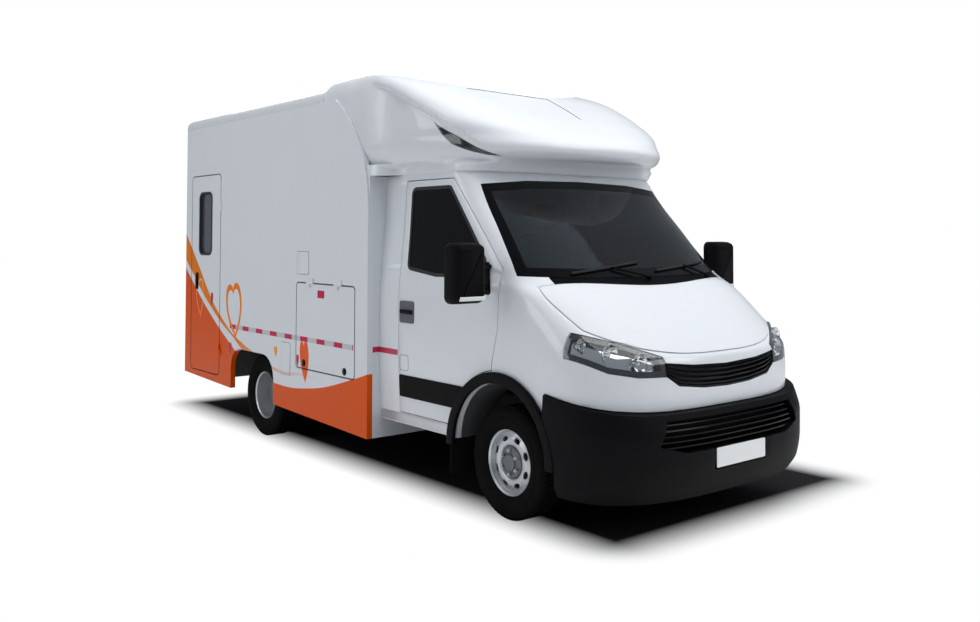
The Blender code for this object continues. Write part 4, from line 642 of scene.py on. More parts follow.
class Nodes:
    """A short hand for building a shader tree."""

    def __init__(self, tree: bpy.types.NodeTree) -> None:
        """Keep the tree that is built."""
        self.tree = tree

    def new(self, kind: str, **settings: object) -> bpy.types.Node:
        """A new node with some of its settings."""
        node = self.tree.nodes.new(kind)
        for key, value in settings.items():
            setattr(node, key, value)
        return node

    def feed(self, value: object, socket: bpy.types.NodeSocket) -> None:
        """Link an output to an input, or write a plain value in it."""
        if isinstance(value, bpy.types.NodeSocket):
            self.tree.links.new(value, socket)
        else:
            socket.default_value = value

    def math(self, operation: str, *values: object, clamp: bool = False) -> bpy.types.NodeSocket:
        """One Math node."""
        node = self.new("ShaderNodeMath", operation=operation, use_clamp=clamp)
        for value, socket in zip(values, node.inputs):
            self.feed(value, socket)
        return node.outputs[0]

    def mix(self, share: object, first: object, second: object) -> bpy.types.NodeSocket:
        """A colour between two."""
        node = self.new("ShaderNodeMix", data_type="RGBA")
        self.feed(share, node.inputs["Factor"])
        for value, key in ((first, 6), (second, 7)):
            if isinstance(value, tuple) and len(value) == 3:
                value = (*value, 1)
            self.feed(value, node.inputs[key])
        return node.outputs[2]

    def noise(
        self, vector: object, scale: float, detail: float = 4, roughness: float = 0.5
    ) -> bpy.types.NodeSocket:
        """A noise value over the surface."""
        node = self.new("ShaderNodeTexNoise")
        self.feed(vector, node.inputs["Vector"])
        node.inputs["Scale"].default_value = scale
        node.inputs["Detail"].default_value = detail
        node.inputs["Roughness"].default_value = roughness
        return node.outputs["Fac"]

    def place(self) -> Tuple[bpy.types.NodeSocket, ...]:
        """The point in object coordinates, whole and as X, Y and Z."""
        where = self.new("ShaderNodeTexCoord").outputs["Object"]
        split = self.new("ShaderNodeSeparateXYZ")
        self.feed(where, split.inputs[0])
        return where, split.outputs[0], split.outputs[1], split.outputs[2]

    def group(self, tree: bpy.types.NodeTree, **values: object) -> bpy.types.Node:
        """A group node with its inputs fed."""
        node = self.new("ShaderNodeGroup")
        node.node_tree = tree
        for key, value in values.items():
            self.feed(value, node.inputs[key])
        return node


def new_group(
    name: str,
    inputs: Dict[str, Tuple[str, float]],
    outputs: Dict[str, str],
) -> Tuple[bpy.types.NodeTree, Nodes, bpy.types.Node, bpy.types.Node]:
    """A shader group with named sockets.

    Args:
        name: The group's name.
        inputs: Each input's kind and value.
        outputs: Each output's kind.

    Returns:
        The tree, its builder, its input node and its output node.
    """
    tree = bpy.data.node_groups.new(name, "ShaderNodeTree")
    for key, (kind, value) in inputs.items():
        socket = tree.interface.new_socket(key, in_out="INPUT", socket_type="NodeSocket" + kind)
        if kind == "Float":
            socket.default_value = value
    for key, kind in outputs.items():
        tree.interface.new_socket(key, in_out="OUTPUT", socket_type="NodeSocket" + kind)
    nodes = Nodes(tree)
    return tree, nodes, nodes.new("NodeGroupInput"), nodes.new("NodeGroupOutput")


def road_dust_group() -> bpy.types.NodeTree:
    """A mask of road dust that is thickest low on the vehicle."""
    name = "road_dust"
    if name in bpy.data.node_groups:
        return bpy.data.node_groups[name]
    inputs = {"Amount": ("Float", 0.3), "Top": ("Float", 0.9), "Foot": ("Float", 0.2)}
    tree, nodes, start, end = new_group(name, inputs, {"Mask": "Float"})
    where, _, _, height = nodes.place()
    span = nodes.math("SUBTRACT", start.outputs["Top"], start.outputs["Foot"])
    low = nodes.math("DIVIDE", nodes.math("SUBTRACT", start.outputs["Top"], height), span, clamp=True)
    patches = nodes.noise(where, 7, 6, 0.62)
    spots = nodes.math("MULTIPLY", nodes.math("SUBTRACT", patches, 0.35), 2.2, clamp=True)
    mask = nodes.math("MULTIPLY", nodes.math("MULTIPLY", low, spots), start.outputs["Amount"], clamp=True)
    nodes.feed(mask, end.inputs["Mask"])
    return tree


def grain_group() -> bpy.types.NodeTree:
    """A fine surface: a height for the bump and a value that varies the roughness."""
    name = "fine_grain"
    if name in bpy.data.node_groups:
        return bpy.data.node_groups[name]
    inputs = {"Scale": ("Float", 400), "Spread": ("Float", 0.1)}
    tree, nodes, start, end = new_group(name, inputs, {"Height": "Float", "Vary": "Float"})
    where, _, _, _ = nodes.place()
    node = nodes.new("ShaderNodeTexNoise")
    nodes.feed(where, node.inputs["Vector"])
    nodes.feed(start.outputs["Scale"], node.inputs["Scale"])
    node.inputs["Detail"].default_value = 3
    broad = nodes.noise(where, 3.1, 5, 0.6)
    vary = nodes.math("MULTIPLY", nodes.math("SUBTRACT", broad, 0.5), start.outputs["Spread"])
    nodes.feed(node.outputs["Fac"], end.inputs["Height"])
    nodes.feed(vary, end.inputs["Vary"])
    return tree


DUST_RGB = (0.30, 0.27, 0.23)
DUST_ROUGHNESS = 0.4


def new_material(name: str) -> Tuple[bpy.types.Material, Nodes, bpy.types.Node]:
    """A new material, kept under its name, with its node builder and its shader."""
    made = bpy.data.materials.new("looks_" + name)
    MATERIALS[name] = made
    made.use_nodes = True
    return made, Nodes(made.node_tree), made.node_tree.nodes["Principled BSDF"]


def feed_surface(
    nodes: Nodes,
    shader: bpy.types.Node,
    colour: object,
    roughness: float,
    grain: Tuple[float, float, float],
    dust: Tuple[float, float],
) -> None:
    """Feed a shader its dusted colour, its uneven roughness and its fine bump.

    Args:
        nodes: The material's node builder.
        shader: The shader.
        colour: The clean colour.
        roughness: The clean surface's roughness.
        grain: The grain's scale, how far it varies the roughness, and the bump's strength.
        dust: The dust's amount and the height at which it ends.
    """
    scale, spread, strength = grain
    fine = nodes.group(grain_group(), Scale=scale, Spread=spread)
    mask = nodes.group(road_dust_group(), Amount=dust[0], Top=dust[1]).outputs["Mask"]
    nodes.feed(nodes.mix(mask, colour, DUST_RGB), shader.inputs["Base Color"])
    rough = nodes.math("ADD", fine.outputs["Vary"], roughness)
    rough = nodes.math("ADD", rough, nodes.math("MULTIPLY", mask, DUST_ROUGHNESS), clamp=True)
    nodes.feed(rough, shader.inputs["Roughness"])
    if strength:
        bump = nodes.new("ShaderNodeBump")
        bump.inputs["Strength"].default_value = strength
        bump.inputs["Distance"].default_value = 0.002
        nodes.feed(fine.outputs["Height"], bump.inputs["Height"])
        nodes.feed(bump.outputs[0], shader.inputs["Normal"])


@dataclass(frozen=True)
class Finish:
    """A plain finish: its colour, gloss, fine grain and road dust."""

    name: str
    colour: Colour
    roughness: float = 0.5
    metallic: float = 0.0
    coat: float = 0.0
    grain: float = 400.0
    bump: float = 0.02
    spread: float = 0.12
    dust: float = 0.25
    dust_top: float = 0.9
    specular: float = 0.5
    second: Optional[Colour] = None
    sheen: float = 0.0

    def make(self) -> bpy.types.Material:
        """The material, built once."""
        if self.name in MATERIALS:
            return MATERIALS[self.name]
        made, nodes, shader = new_material(self.name)
        where, _, _, _ = nodes.place()
        patches = nodes.noise(where, 2.3, 5, 0.55)
        other = self.second or tuple(value * 0.90 for value in self.colour)
        colour = nodes.mix(patches, self.colour, other)
        grain = (self.grain, self.spread, self.bump)
        feed_surface(nodes, shader, colour, self.roughness, grain, (self.dust, self.dust_top))
        shader.inputs["Metallic"].default_value = self.metallic
        shader.inputs["Specular IOR Level"].default_value = self.specular
        shader.inputs["Coat Weight"].default_value = self.coat
        shader.inputs["Coat Roughness"].default_value = 0.04
        shader.inputs["Sheen Weight"].default_value = self.sheen
        return made


@dataclass(frozen=True)
class Glass:
    """Tinted glass that shows what is behind it."""

    name: str
    tint: Colour
    roughness: float = 0.02
    transmission: float = 1.0
    coat: float = 0.0
    specular: float = 0.2

    def make(self) -> bpy.types.Material:
        """The material, built once."""
        if self.name in MATERIALS:
            return MATERIALS[self.name]
        made, nodes, shader = new_material(self.name)
        where, _, _, _ = nodes.place()
        smear = nodes.noise(where, 5, 5, 0.6)
        colour = nodes.mix(smear, self.tint, tuple(value * 0.93 for value in self.tint))
        nodes.feed(colour, shader.inputs["Base Color"])
        rough = nodes.math("MULTIPLY_ADD", smear, 0.02, self.roughness)
        nodes.feed(rough, shader.inputs["Roughness"])
        shader.inputs["IOR"].default_value = 1.5
        shader.inputs["Specular IOR Level"].default_value = self.specular
        shader.inputs["Transmission Weight"].default_value = self.transmission
        shader.inputs["Coat Weight"].default_value = self.coat
        return made


WHITE_RGB = (0.70, 0.725, 0.755)
WHITE_SHADE_RGB = (0.68, 0.705, 0.738)
ORANGE_RGB = srgb(220, 84, 6)
OCHRE_RGB = srgb(230, 124, 16)
CRIMSON_RGB = srgb(190, 40, 78)

WHITE = Finish("white_paint", WHITE_RGB, 0.26, coat=0.6, grain=900, bump=0.01, spread=0.06, dust=0.10,
               dust_top=0.75, second=WHITE_SHADE_RGB)
BLACK_TRIM = Finish("black_trim", (0.002, 0.002, 0.0027), 0.55, grain=900, bump=0.12, dust=0.008,
                    specular=0.09, second=(0.003, 0.003, 0.0038))
GLOSS_BLACK = Finish("gloss_black", (0.002, 0.002, 0.003), 0.22, coat=0.04, bump=0.01, dust=0.0,
                     specular=0.14)
BEZEL = Finish("lamp_bezel", (0.030, 0.031, 0.036), 0.25, coat=0.3, bump=0.01, dust=0.0)
HANDLE = Finish("handle_grey", (0.095, 0.096, 0.115), 0.45, grain=900, bump=0.1, dust=0.0)
TAPE = Finish("reflective_tape", CRIMSON_RGB, 0.35, coat=0.2, bump=0.01, dust=0.02)
RUBBER = Finish("tyre_rubber", (0.0035, 0.0035, 0.004), 0.85, grain=700, bump=0.25, dust=0.012, dust_top=0.75,
                specular=0.08, second=(0.005, 0.005, 0.005))
SEAL = Finish("seal_rubber", (0.015, 0.015, 0.016), 0.7, grain=900, bump=0.08, dust=0.1)
SILVER = Finish("wheel_silver", (0.60, 0.62, 0.64), 0.34, metallic=0.85, grain=1200, bump=0.03, dust=0.25,
                dust_top=0.7)
DULL_GREY = Finish("hub_grey", (0.17, 0.18, 0.19), 0.45, metallic=0.6, grain=900, bump=0.04, dust=0.2)
STEEL = Finish("bright_steel", (0.62, 0.63, 0.65), 0.26, metallic=1.0, grain=900, bump=0.02, dust=0.05)
CHROME = Finish("lamp_chrome", (0.80, 0.81, 0.82), 0.10, metallic=1.0, grain=900, bump=0.0, dust=0.0)
CHASSIS = Finish("chassis_black", (0.018, 0.018, 0.019), 0.6, grain=300, bump=0.2, dust=0.5, dust_top=1.0,
                 second=(0.03, 0.026, 0.022))
CAST = Finish("cast_metal", (0.20, 0.195, 0.19), 0.55, metallic=0.7, grain=240, bump=0.3, dust=0.4,
              dust_top=1.0, second=(0.14, 0.12, 0.10))
MOULDED = Finish("moulded_grey", (0.055, 0.057, 0.06), 0.68, grain=650, bump=0.2, dust=0.0)
FLOORING = Finish("grey_flooring", (0.16, 0.165, 0.17), 0.6, grain=300, bump=0.15, dust=0.1)
CLOTH = Finish("grey_cloth", (0.035, 0.037, 0.042), 0.95, grain=1500, bump=0.6, dust=0.0, sheen=0.3,
               second=(0.05, 0.052, 0.058))
GALVANISED = Finish("galvanised", (0.42, 0.43, 0.44), 0.45, metallic=0.9, grain=120, bump=0.05, dust=0.3,
                    dust_top=1.0, second=(0.32, 0.33, 0.34))
RED_LENS = Finish("red_lens", (0.45, 0.012, 0.012), 0.14, coat=0.6, bump=0.0, dust=0.05)
AMBER_LENS = Finish("amber_lens", (0.75, 0.24, 0.02), 0.14, coat=0.6, bump=0.0, dust=0.03)
BLANK_PLATE = Finish("blank_plate", (0.78, 0.79, 0.79), 0.3, coat=0.3, bump=0.01, dust=0.06)
REAR_ORANGE = Finish("rear_orange", ORANGE_RGB, 0.4, bump=0.01, specular=0.1)
SCREEN_GLASS = Glass("screen_glass", (0.085, 0.115, 0.135), specular=0.14)
DARK_GLASS = Glass("dark_glass", (0.003, 0.004, 0.005), 0.05, 0.35, specular=0.03)
BODY_GLASS = Finish("body_glass", (0.055, 0.065, 0.078), 0.07, coat=0.4, grain=900, bump=0.0, dust=0.02)
LENS = Glass("lamp_lens", (0.93, 0.95, 0.96), 0.01, specular=0.5)


class Panel(Enum):
    """The panels that carry the painted bands."""

    SIDE = "side"
    REAR = "rear"


@dataclass(frozen=True)
class Heart:
    """A painted heart: where it stands, its size, its lean and its colour."""

    distance: float
    height: float
    wide: float
    tall: float
    lean: float
    colour: Colour
    line: float = 0.0


@dataclass(frozen=True)
class Livery:
    """The orange and ochre bands, the reflective strip and the hearts of the load body."""

    name: str
    panel: Panel
    span: Point2 = (1.0, 5.0)
    tall: float = 2.0
    edge: float = 500.0
    orange: Tuple[Point2, ...] = (
        (1.383, 0.760), (1.427, 0.746), (1.645, 0.685), (1.853, 0.629), (2.070, 0.581), (2.298, 0.548),
        (2.537, 0.524), (2.788, 0.523), (2.944, 0.533), (3.250, 0.580), (3.536, 0.671), (3.749, 0.771),
        (3.971, 0.881), (4.203, 1.010), (4.392, 1.126), (4.606, 1.273), (4.836, 1.440),
    )
    ochre_low: Tuple[Point2, ...] = (
        (1.383, 0.620), (1.961, 0.634), (2.184, 0.644), (2.418, 0.636), (2.638, 0.616), (2.790, 0.622),
        (2.947, 0.640), (3.082, 0.668), (3.250, 0.690), (3.464, 0.734), (3.721, 0.850), (3.974, 0.959),
        (4.188, 1.077), (4.394, 1.200), (4.591, 1.349), (4.737, 1.448), (4.836, 1.525),
    )
    ochre_top: Tuple[Point2, ...] = (
        (1.383, 0.620), (1.961, 0.640), (2.184, 0.656), (2.418, 0.656), (2.638, 0.642), (2.790, 0.648),
        (2.947, 0.668), (3.082, 0.705), (3.363, 0.765), (3.539, 0.814), (3.721, 0.875), (3.943, 0.994),
        (4.140, 1.120), (4.311, 1.271), (4.453, 1.415), (4.634, 1.589), (4.836, 1.780),
    )
    hearts: Tuple[Heart, ...] = (
        Heart(3.672, 1.035, 0.150, 0.235, -8, OCHRE_RGB, 0.26),
        Heart(4.470, 1.130, 0.085, 0.180, -6, srgb(240, 190, 140), 0.10),
        Heart(2.330, 0.722, 0.075, 0.175, -6, srgb(226, 92, 24)),
        Heart(2.840, 0.780, 0.032, 0.048, -6, srgb(222, 160, 60)),
        Heart(2.452, 0.742, 0.022, 0.055, 4, CRIMSON_RGB),
        Heart(4.186, 1.145, 0.030, 0.070, 4, CRIMSON_RGB),
        Heart(3.756, 0.725, 0.028, 0.055, 4, CRIMSON_RGB),
    )
    strip: Point2 = (0.915, 0.955)
    strip_span: Point2 = (1.58, 3.77)
    strip_step: float = 0.272
    strip_share: float = 0.47
    strip_silver: Colour = (0.50, 0.52, 0.55)
    block: Patch = (2.02, 2.13, 1.275, 1.335)
    roughness: float = 0.26
    specular: float = 0.1
    grain: Tuple[float, float, float] = (900, 0.06, 0.01)
    dust: Tuple[float, float] = (0.05, 0.8)

    def _curve(self, nodes: Nodes, share: object, points: Sequence[Point2]) -> bpy.types.NodeSocket:
        """A band's edge height as a curve over the distance."""
        node = nodes.new("ShaderNodeFloatCurve")
        curve = node.mapping.curves[0]
        places = [((d - self.span[0]) / (self.span[1] - self.span[0]), z / self.tall) for d, z in points]
        while len(curve.points) < len(places):
            curve.points.new(0.5, 0.5)
        for point, place in zip(curve.points, places):
            point.location = place
        node.mapping.update()
        nodes.feed(share, node.inputs["Value"])
        return nodes.math("MULTIPLY", node.outputs[0], self.tall)

    def _below(self, nodes: Nodes, height: object, edge: object) -> bpy.types.NodeSocket:
        """One below an edge and nought above it."""
        return nodes.math("MULTIPLY_ADD", nodes.math("SUBTRACT", edge, height), self.edge, 0.5, clamp=True)

    def _between(self, nodes: Nodes, value: object, low: float, high: float) -> bpy.types.NodeSocket:
        """One between two values."""
        above = self._below(nodes, low, value)
        return nodes.math("MULTIPLY", above, self._below(nodes, value, high))

    def make(self) -> bpy.types.Material:
        """The material, built once."""
        if self.name in MATERIALS:
            return MATERIALS[self.name]
        made, nodes, shader = new_material(self.name)
        where, across, back, height = nodes.place()
        if self.panel is Panel.SIDE:
            distance = nodes.math("SUBTRACT", back, FRONT_AXLE_Y)
        else:
            inward = nodes.math("SUBTRACT", BODY_HALF_WIDTH, nodes.math("ABSOLUTE", across))
            distance = nodes.math("SUBTRACT", BODY_REAR_Y - FRONT_AXLE_Y, inward)
        start, end = self.span
        share = nodes.math("DIVIDE", nodes.math("SUBTRACT", distance, start), end - start)
        patches = nodes.noise(where, 2.3, 5, 0.55)
        colour = nodes.mix(patches, WHITE_RGB, WHITE_SHADE_RGB)
        top = self._curve(nodes, share, self.ochre_top)
        low = self._curve(nodes, share, self.ochre_low)
        band = nodes.math("MULTIPLY", self._below(nodes, height, top), self._below(nodes, low, height))
        fade = nodes.math("MULTIPLY_ADD", distance, 0.62, -1.25, clamp=True)
        ochre = nodes.mix(patches, OCHRE_RGB, tuple(value * 0.85 for value in OCHRE_RGB))
        colour = nodes.mix(nodes.math("MULTIPLY", band, fade), colour, ochre)
        edge = self._curve(nodes, share, self.orange)
        orange = nodes.mix(patches, ORANGE_RGB, tuple(value * 0.90 for value in ORANGE_RGB))
        colour = nodes.mix(self._below(nodes, height, edge), colour, orange)
        if self.panel is Panel.SIDE:
            colour = self._strip(nodes, distance, height, colour)
            for heart in self.hearts:
                colour = self._heart(nodes, heart, distance, height, colour)
        feed_surface(nodes, shader, colour, self.roughness, self.grain, self.dust)
        shader.inputs["Specular IOR Level"].default_value = self.specular
        return made

    def _strip(self, nodes: Nodes, distance: object, height: object, colour: object) -> bpy.types.NodeSocket:
        """The reflective strip of crimson and silver blocks."""
        inside = self._between(nodes, height, *self.strip)
        inside = nodes.math("MULTIPLY", inside, self._between(nodes, distance, *self.strip_span))
        turns = nodes.math("DIVIDE", nodes.math("SUBTRACT", self.strip_span[1], distance), self.strip_step)
        saw = nodes.math("FRACT", turns)
        red = nodes.math("LESS_THAN", saw, self.strip_share)
        blocks = nodes.mix(red, self.strip_silver, CRIMSON_RGB)
        colour = nodes.mix(inside, colour, blocks)
        single = self._between(nodes, height, *self.block[2:])
        single = nodes.math("MULTIPLY", single, self._between(nodes, distance, *self.block[:2]))
        return nodes.mix(single, colour, CRIMSON_RGB)

    def _heart(
        self, nodes: Nodes, heart: Heart, distance: object, height: object, colour: object
    ) -> bpy.types.NodeSocket:
        """Paint one heart over a colour."""
        field = nodes.group(
            heart_group(),
            Distance=distance,
            Height=height,
            Middle=heart.distance,
            Level=heart.height,
            Wide=heart.wide,
            Tall=heart.tall,
            Lean=math.radians(heart.lean),
        ).outputs["Field"]
        if heart.line:
            off = nodes.math("ABSOLUTE", nodes.math("SUBTRACT", field, 1.0))
            mask = nodes.math("MULTIPLY", nodes.math("SUBTRACT", heart.line, off), 40, clamp=True)
        else:
            mask = nodes.math("MULTIPLY", nodes.math("SUBTRACT", 1.0, field), 30, clamp=True)
        return nodes.mix(mask, colour, heart.colour)


def heart_group() -> bpy.types.NodeTree:
    """A heart's field: below one inside, above one outside."""
    name = "heart_field"
    if name in bpy.data.node_groups:
        return bpy.data.node_groups[name]
    keys = ("Distance", "Height", "Middle", "Level", "Wide", "Tall", "Lean")
    tree, nodes, start, end = new_group(name, {key: ("Float", 0.0) for key in keys}, {"Field": "Float"})
    gives = start.outputs
    along_it = nodes.math("SUBTRACT", gives["Distance"], gives["Middle"])
    up_it = nodes.math("SUBTRACT", gives["Height"], gives["Level"])
    cosine, sine = nodes.math("COSINE", gives["Lean"]), nodes.math("SINE", gives["Lean"])
    across = nodes.math("ADD", nodes.math("MULTIPLY", along_it, cosine), nodes.math("MULTIPLY", up_it, sine))
    up = nodes.math("SUBTRACT", nodes.math("MULTIPLY", up_it, cosine), nodes.math("MULTIPLY", along_it, sine))
    across = nodes.math("ABSOLUTE", nodes.math("DIVIDE", across, gives["Wide"]))
    up = nodes.math("DIVIDE", up, gives["Tall"])
    root = nodes.math("MULTIPLY", nodes.math("SQRT", across), 0.62)
    lobe = nodes.math("SUBTRACT", nodes.math("MULTIPLY", up, 1.15), root)
    field = nodes.math("ADD", nodes.math("POWER", across, 2.0), nodes.math("MULTIPLY", lobe, lobe))
    nodes.feed(field, end.inputs["Field"])
    return tree


@dataclass(frozen=True)
class FrontWallPaint:
    """White paint with one crimson block on each outer edge of the body's front."""

    name: str = "front_wall_paint"
    block: Tuple[float, float, float, float] = (0.87, 1.06, 0.915, 0.955)

    def make(self) -> bpy.types.Material:
        """The material, built once."""
        if self.name in MATERIALS:
            return MATERIALS[self.name]
        made = WHITE.make().copy()
        made.name = "looks_" + self.name
        MATERIALS[self.name] = made
        nodes, shader = Nodes(made.node_tree), made.node_tree.nodes["Principled BSDF"]
        plain = [link for link in made.node_tree.links if link.to_socket == shader.inputs["Base Color"]]
        source = plain[0].from_socket
        _, across, _, height = nodes.place()
        wide = nodes.math("ABSOLUTE", across)
        mask = nodes.math("GREATER_THAN", wide, self.block[0])
        for value, operation, edge in (
            (wide, "LESS_THAN", self.block[1]),
            (height, "GREATER_THAN", self.block[2]),
            (height, "LESS_THAN", self.block[3]),
        ):
            mask = nodes.math("MULTIPLY", mask, nodes.math(operation, value, edge))
        nodes.feed(nodes.mix(mask, source, CRIMSON_RGB), shader.inputs["Base Color"])
        return made


def dress(obj: bpy.types.Object, finish: bpy.types.Material) -> bpy.types.Object:
    """Give an object one material."""
    obj.data.materials.clear()
    obj.data.materials.append(finish)
    return obj


def repaint(node: str, finish: bpy.types.Material) -> None:
    """Give a carried-over CAD node a finish."""
    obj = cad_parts[node]
    if not obj.data.materials:
        obj.data.materials.append(finish)
    for slot in obj.material_slots:
        slot.material = finish


def seated(
    obj: bpy.types.Object,
    body: str,
    finish: bpy.types.Material,
    replaced: Sequence[str] = (),
) -> bpy.types.Object:
    """Finish a piece: its material, the body it rides on and the nodes it stands for."""
    dress(obj, finish)
    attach(obj, body)
    if replaced:
        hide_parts(*replaced)
    LOG.info("%s: %d faces on %s", obj.name, len(obj.data.polygons), body)
    return obj


# The cab's form, from which its panels and glass are cut


@dataclass(frozen=True)
class CabForm:
    """The cab's outer form as level rings."""

    table: Tuple[Tuple[float, float, float, float, float], ...] = (
        (0.2000, 0.989, 0.738, 0.985, 3.0),
        (0.4091, 0.998, 0.738, 1.000, 3.0),
        (0.4727, 0.992, 0.729, 1.000, 3.0),
        (0.5000, 0.966, 0.721, 1.000, 3.0),
        (0.5455, 0.911, 0.695, 1.000, 3.0),
        (0.5909, 0.852, 0.670, 0.998, 3.0),
        (0.6364, 0.793, 0.628, 0.995, 3.0),
        (0.6818, 0.733, 0.543, 0.985, 3.0),
        (0.7273, 0.687, 0.513, 0.975, 3.0),
        (0.8182, 0.598, 0.447, 0.958, 3.0),
        (0.9091, 0.507, 0.381, 0.946, 3.0),
        (1.0000, 0.428, 0.335, 0.935, 3.0),
    )
    step: float = 0.0125

    def loft(
        self,
        name: str,
        inset: float = 0.0,
        rear: float = SEAM,
        below: float = 0.0,
        above: float = 0.0,
        span: Point2 = FULL_HEIGHT,
    ) -> bpy.types.Object:
        """The form, or one that lies an inset inside it, as a closed solid.

        Args:
            name: The object's name.
            inset: How far inside the outer form it lies.
            rear: How far behind the body's front it ends.
            below: How far it goes on below its foot.
            above: How far it goes on above its top.
            span: The heights between which it is built.

        Returns:
            The solid, as a cutter.
        """
        rings = []
        rows = dense_rows(self.table, self.step)
        low = max([row[0] for row in rows if row[0] * CAB_TOP_Z <= span[0]], default=FULL_HEIGHT[0])
        high = min([row[0] for row in rows if row[0] * CAB_TOP_Z >= span[1]], default=FULL_HEIGHT[1])
        rows = [row for row in rows if low <= row[0] <= high]
        for index, (share, front, corner, wide, power) in enumerate(rows):
            half = wide * CAB_HALF_WIDTH - inset
            made = Ring(
                share * CAB_TOP_Z,
                BODY_FRONT_Y - front * CAB_NOSE + inset,
                BODY_FRONT_Y - corner * CAB_NOSE + inset / 2,
                BODY_FRONT_Y - rear,
                half,
                half,
                power,
            ).points()
            if index == 0 and below:
                rings.append([(x, y, z - below) for x, y, z in made])
            rings.append(made)
            if index == len(rows) - 1 and above:
                rings.append([(x, y, z + above) for x, y, z in made])
        return loft(name, rings)

    def sheet(self, name: str, front: float, back: float, limit: bpy.types.Object) -> bpy.types.Object:
        """A curved plate that follows the form between two insets, inside a limit.

        Args:
            name: The piece's name.
            front: The inset of its outer face.
            back: The inset of its inner face.
            limit: The cutter that it is trimmed with.

        Returns:
            The plate with its cuts still live.
        """
        heights = [vertex.co.z for vertex in limit.data.vertices]
        span = (min(heights) - OVERRUN, max(heights) + OVERRUN)
        piece = kept(self.loft(name, front, span=span))
        cut(piece, self.loft(name + "_back", back, -OVERRUN, OVERRUN, OVERRUN, span))
        return cut(piece, limit, "INTERSECT")


def front_of(form: CabForm, x: float, z: float) -> float:
    """The Y of the cab's front at a place in the front view."""
    heights = [row[0] * CAB_TOP_Z for row in form.table]
    reads = [smoothed(heights, column, z) for column in list(zip(*form.table))[1:]]
    front, corner = BODY_FRONT_Y - reads[0] * CAB_NOSE, BODY_FRONT_Y - reads[1] * CAB_NOSE
    share = min(0.999, abs(x) / (reads[2] * CAB_HALF_WIDTH))
    return corner - (corner - front) * (1 - share ** reads[3]) ** (1 / reads[3])


HOOD_REAR_CORNER = 0.20
HOOD_REAR_MIDDLE = 0.42
HOOD_SIDE = ((-1.20, 0.95), (-0.60, 1.215), (-0.20, 1.490), (-0.20, 1.80), (-1.20, 1.80))
LAMP_OUTLINE = (
    (0.520, 0.950), (0.520, 1.066), (0.700, 1.135), (1.020, 1.236), (1.020, 1.080), (0.860, 0.985),
    (0.700, 0.955),
)
GRILLE_TOP = ((0.521, 1.032), (0.300, 1.008), (0.000, 0.996), (-0.300, 1.008), (-0.521, 1.032))
GRILLE_LOW = (
    (-0.521, 0.952), (-0.430, 0.892), (-0.220, 0.866), (0.000, 0.858), (0.220, 0.866), (0.430, 0.892),
    (0.521, 0.952),
)
HOOD_FRONT = (0.485, 1.024)
BUMPER_LINE = ((-1.30, 0.745), (-0.95, 0.752), (-0.42, 0.840))
WINDSHIELD = (
    (0.943, 1.515), (0.500, 1.500), (0.000, 1.496), (-0.500, 1.500), (-0.943, 1.515),
    (-0.850, 2.112), (-0.500, 2.142), (0.000, 2.152), (0.500, 2.142), (0.850, 2.112),
)
WINDSHIELD_REACH = 0.62
DOOR_OUTLINE = (
    (0.075, 0.520), (0.075, 0.960), (0.020, 1.180), (0.003, 1.560),
    (0.560, 2.155), (1.120, 2.155), (1.135, 1.500), (1.120, 0.520),
)
DOOR_WINDOW = ((0.130, 1.575), (0.590, 2.105), (1.050, 2.105), (1.050, 1.530), (0.700, 1.490), (0.300, 1.500))
GRILLE_REACH = -0.7
GRILLE_LIMIT = -0.5
ARCH_CENTRE_Z = 0.40
ARCH_RADIUS = 0.45
ARCH_INNER_X = 0.47
ARCH_TRIM_RADIUS = 0.52
ARCH_TRIM_INNER_X = 0.52
DOOR_INNER_X = 0.80


def cowl_curve(offset: float, steps: int = 24) -> List[Point2]:
    """The hood's bowed rear edge in plan, from left to right, moved back by an offset."""
    points = []
    for step in range(steps + 1):
        share = 1 - 2 * step / steps
        bow = HOOD_REAR_CORNER + (HOOD_REAR_MIDDLE - HOOD_REAR_CORNER) * (1 - share * share)
        points.append((share * (CAB_HALF_WIDTH + OVERRUN), along(offset - bow)))
    return points


def hood_zone(name: str, amount: float) -> bpy.types.Object:
    """The space that the hood takes from the cab's form, grown by an amount."""
    plan = [(-CAB_HALF_WIDTH - OVERRUN, FRONT_Y), (CAB_HALF_WIDTH + OVERRUN, FRONT_Y), *cowl_curve(0)]
    zone = plate(name, Plane.PLAN, [grown(plan, amount)], 0.66, CAB_TOP_Z, True)
    side = grown(side_outline(HOOD_SIDE), amount)
    cut(zone, plate(name + "_side", Plane.SIDE, [side], -BODY_HALF_WIDTH, BODY_HALF_WIDTH, True), "INTERSECT")
    front = [(CAB_HALF_WIDTH + OVERRUN, CAB_TOP_Z)]
    for x, z in (LAMP_OUTLINE[3], LAMP_OUTLINE[2], LAMP_OUTLINE[1]):
        front.append((x + (OVERRUN if x >= CAB_HALF_WIDTH else 0), z + SHUT_GAP))
    front.append((HOOD_FRONT[0], HOOD_FRONT[1] + SHUT_GAP))
    front += [(-x, z) for x, z in reversed(front)]
    front = grown(front, amount)
    cut(zone, plate(name + "_front", Plane.FRONT, [front], FRONT_Y, BODY_FRONT_Y, True), "INTERSECT")
    return zone


def bumper_zone(name: str, amount: float) -> bpy.types.Object:
    """The space below the painted nose, ahead of the front wheels."""
    line = side_outline(BUMPER_LINE)
    outline = [(FRONT_Y - OVERRUN, 0), *line, (line[-1][0], 0)]
    return plate(name, Plane.SIDE, [grown(outline, amount)], -BODY_HALF_WIDTH, BODY_HALF_WIDTH, True)


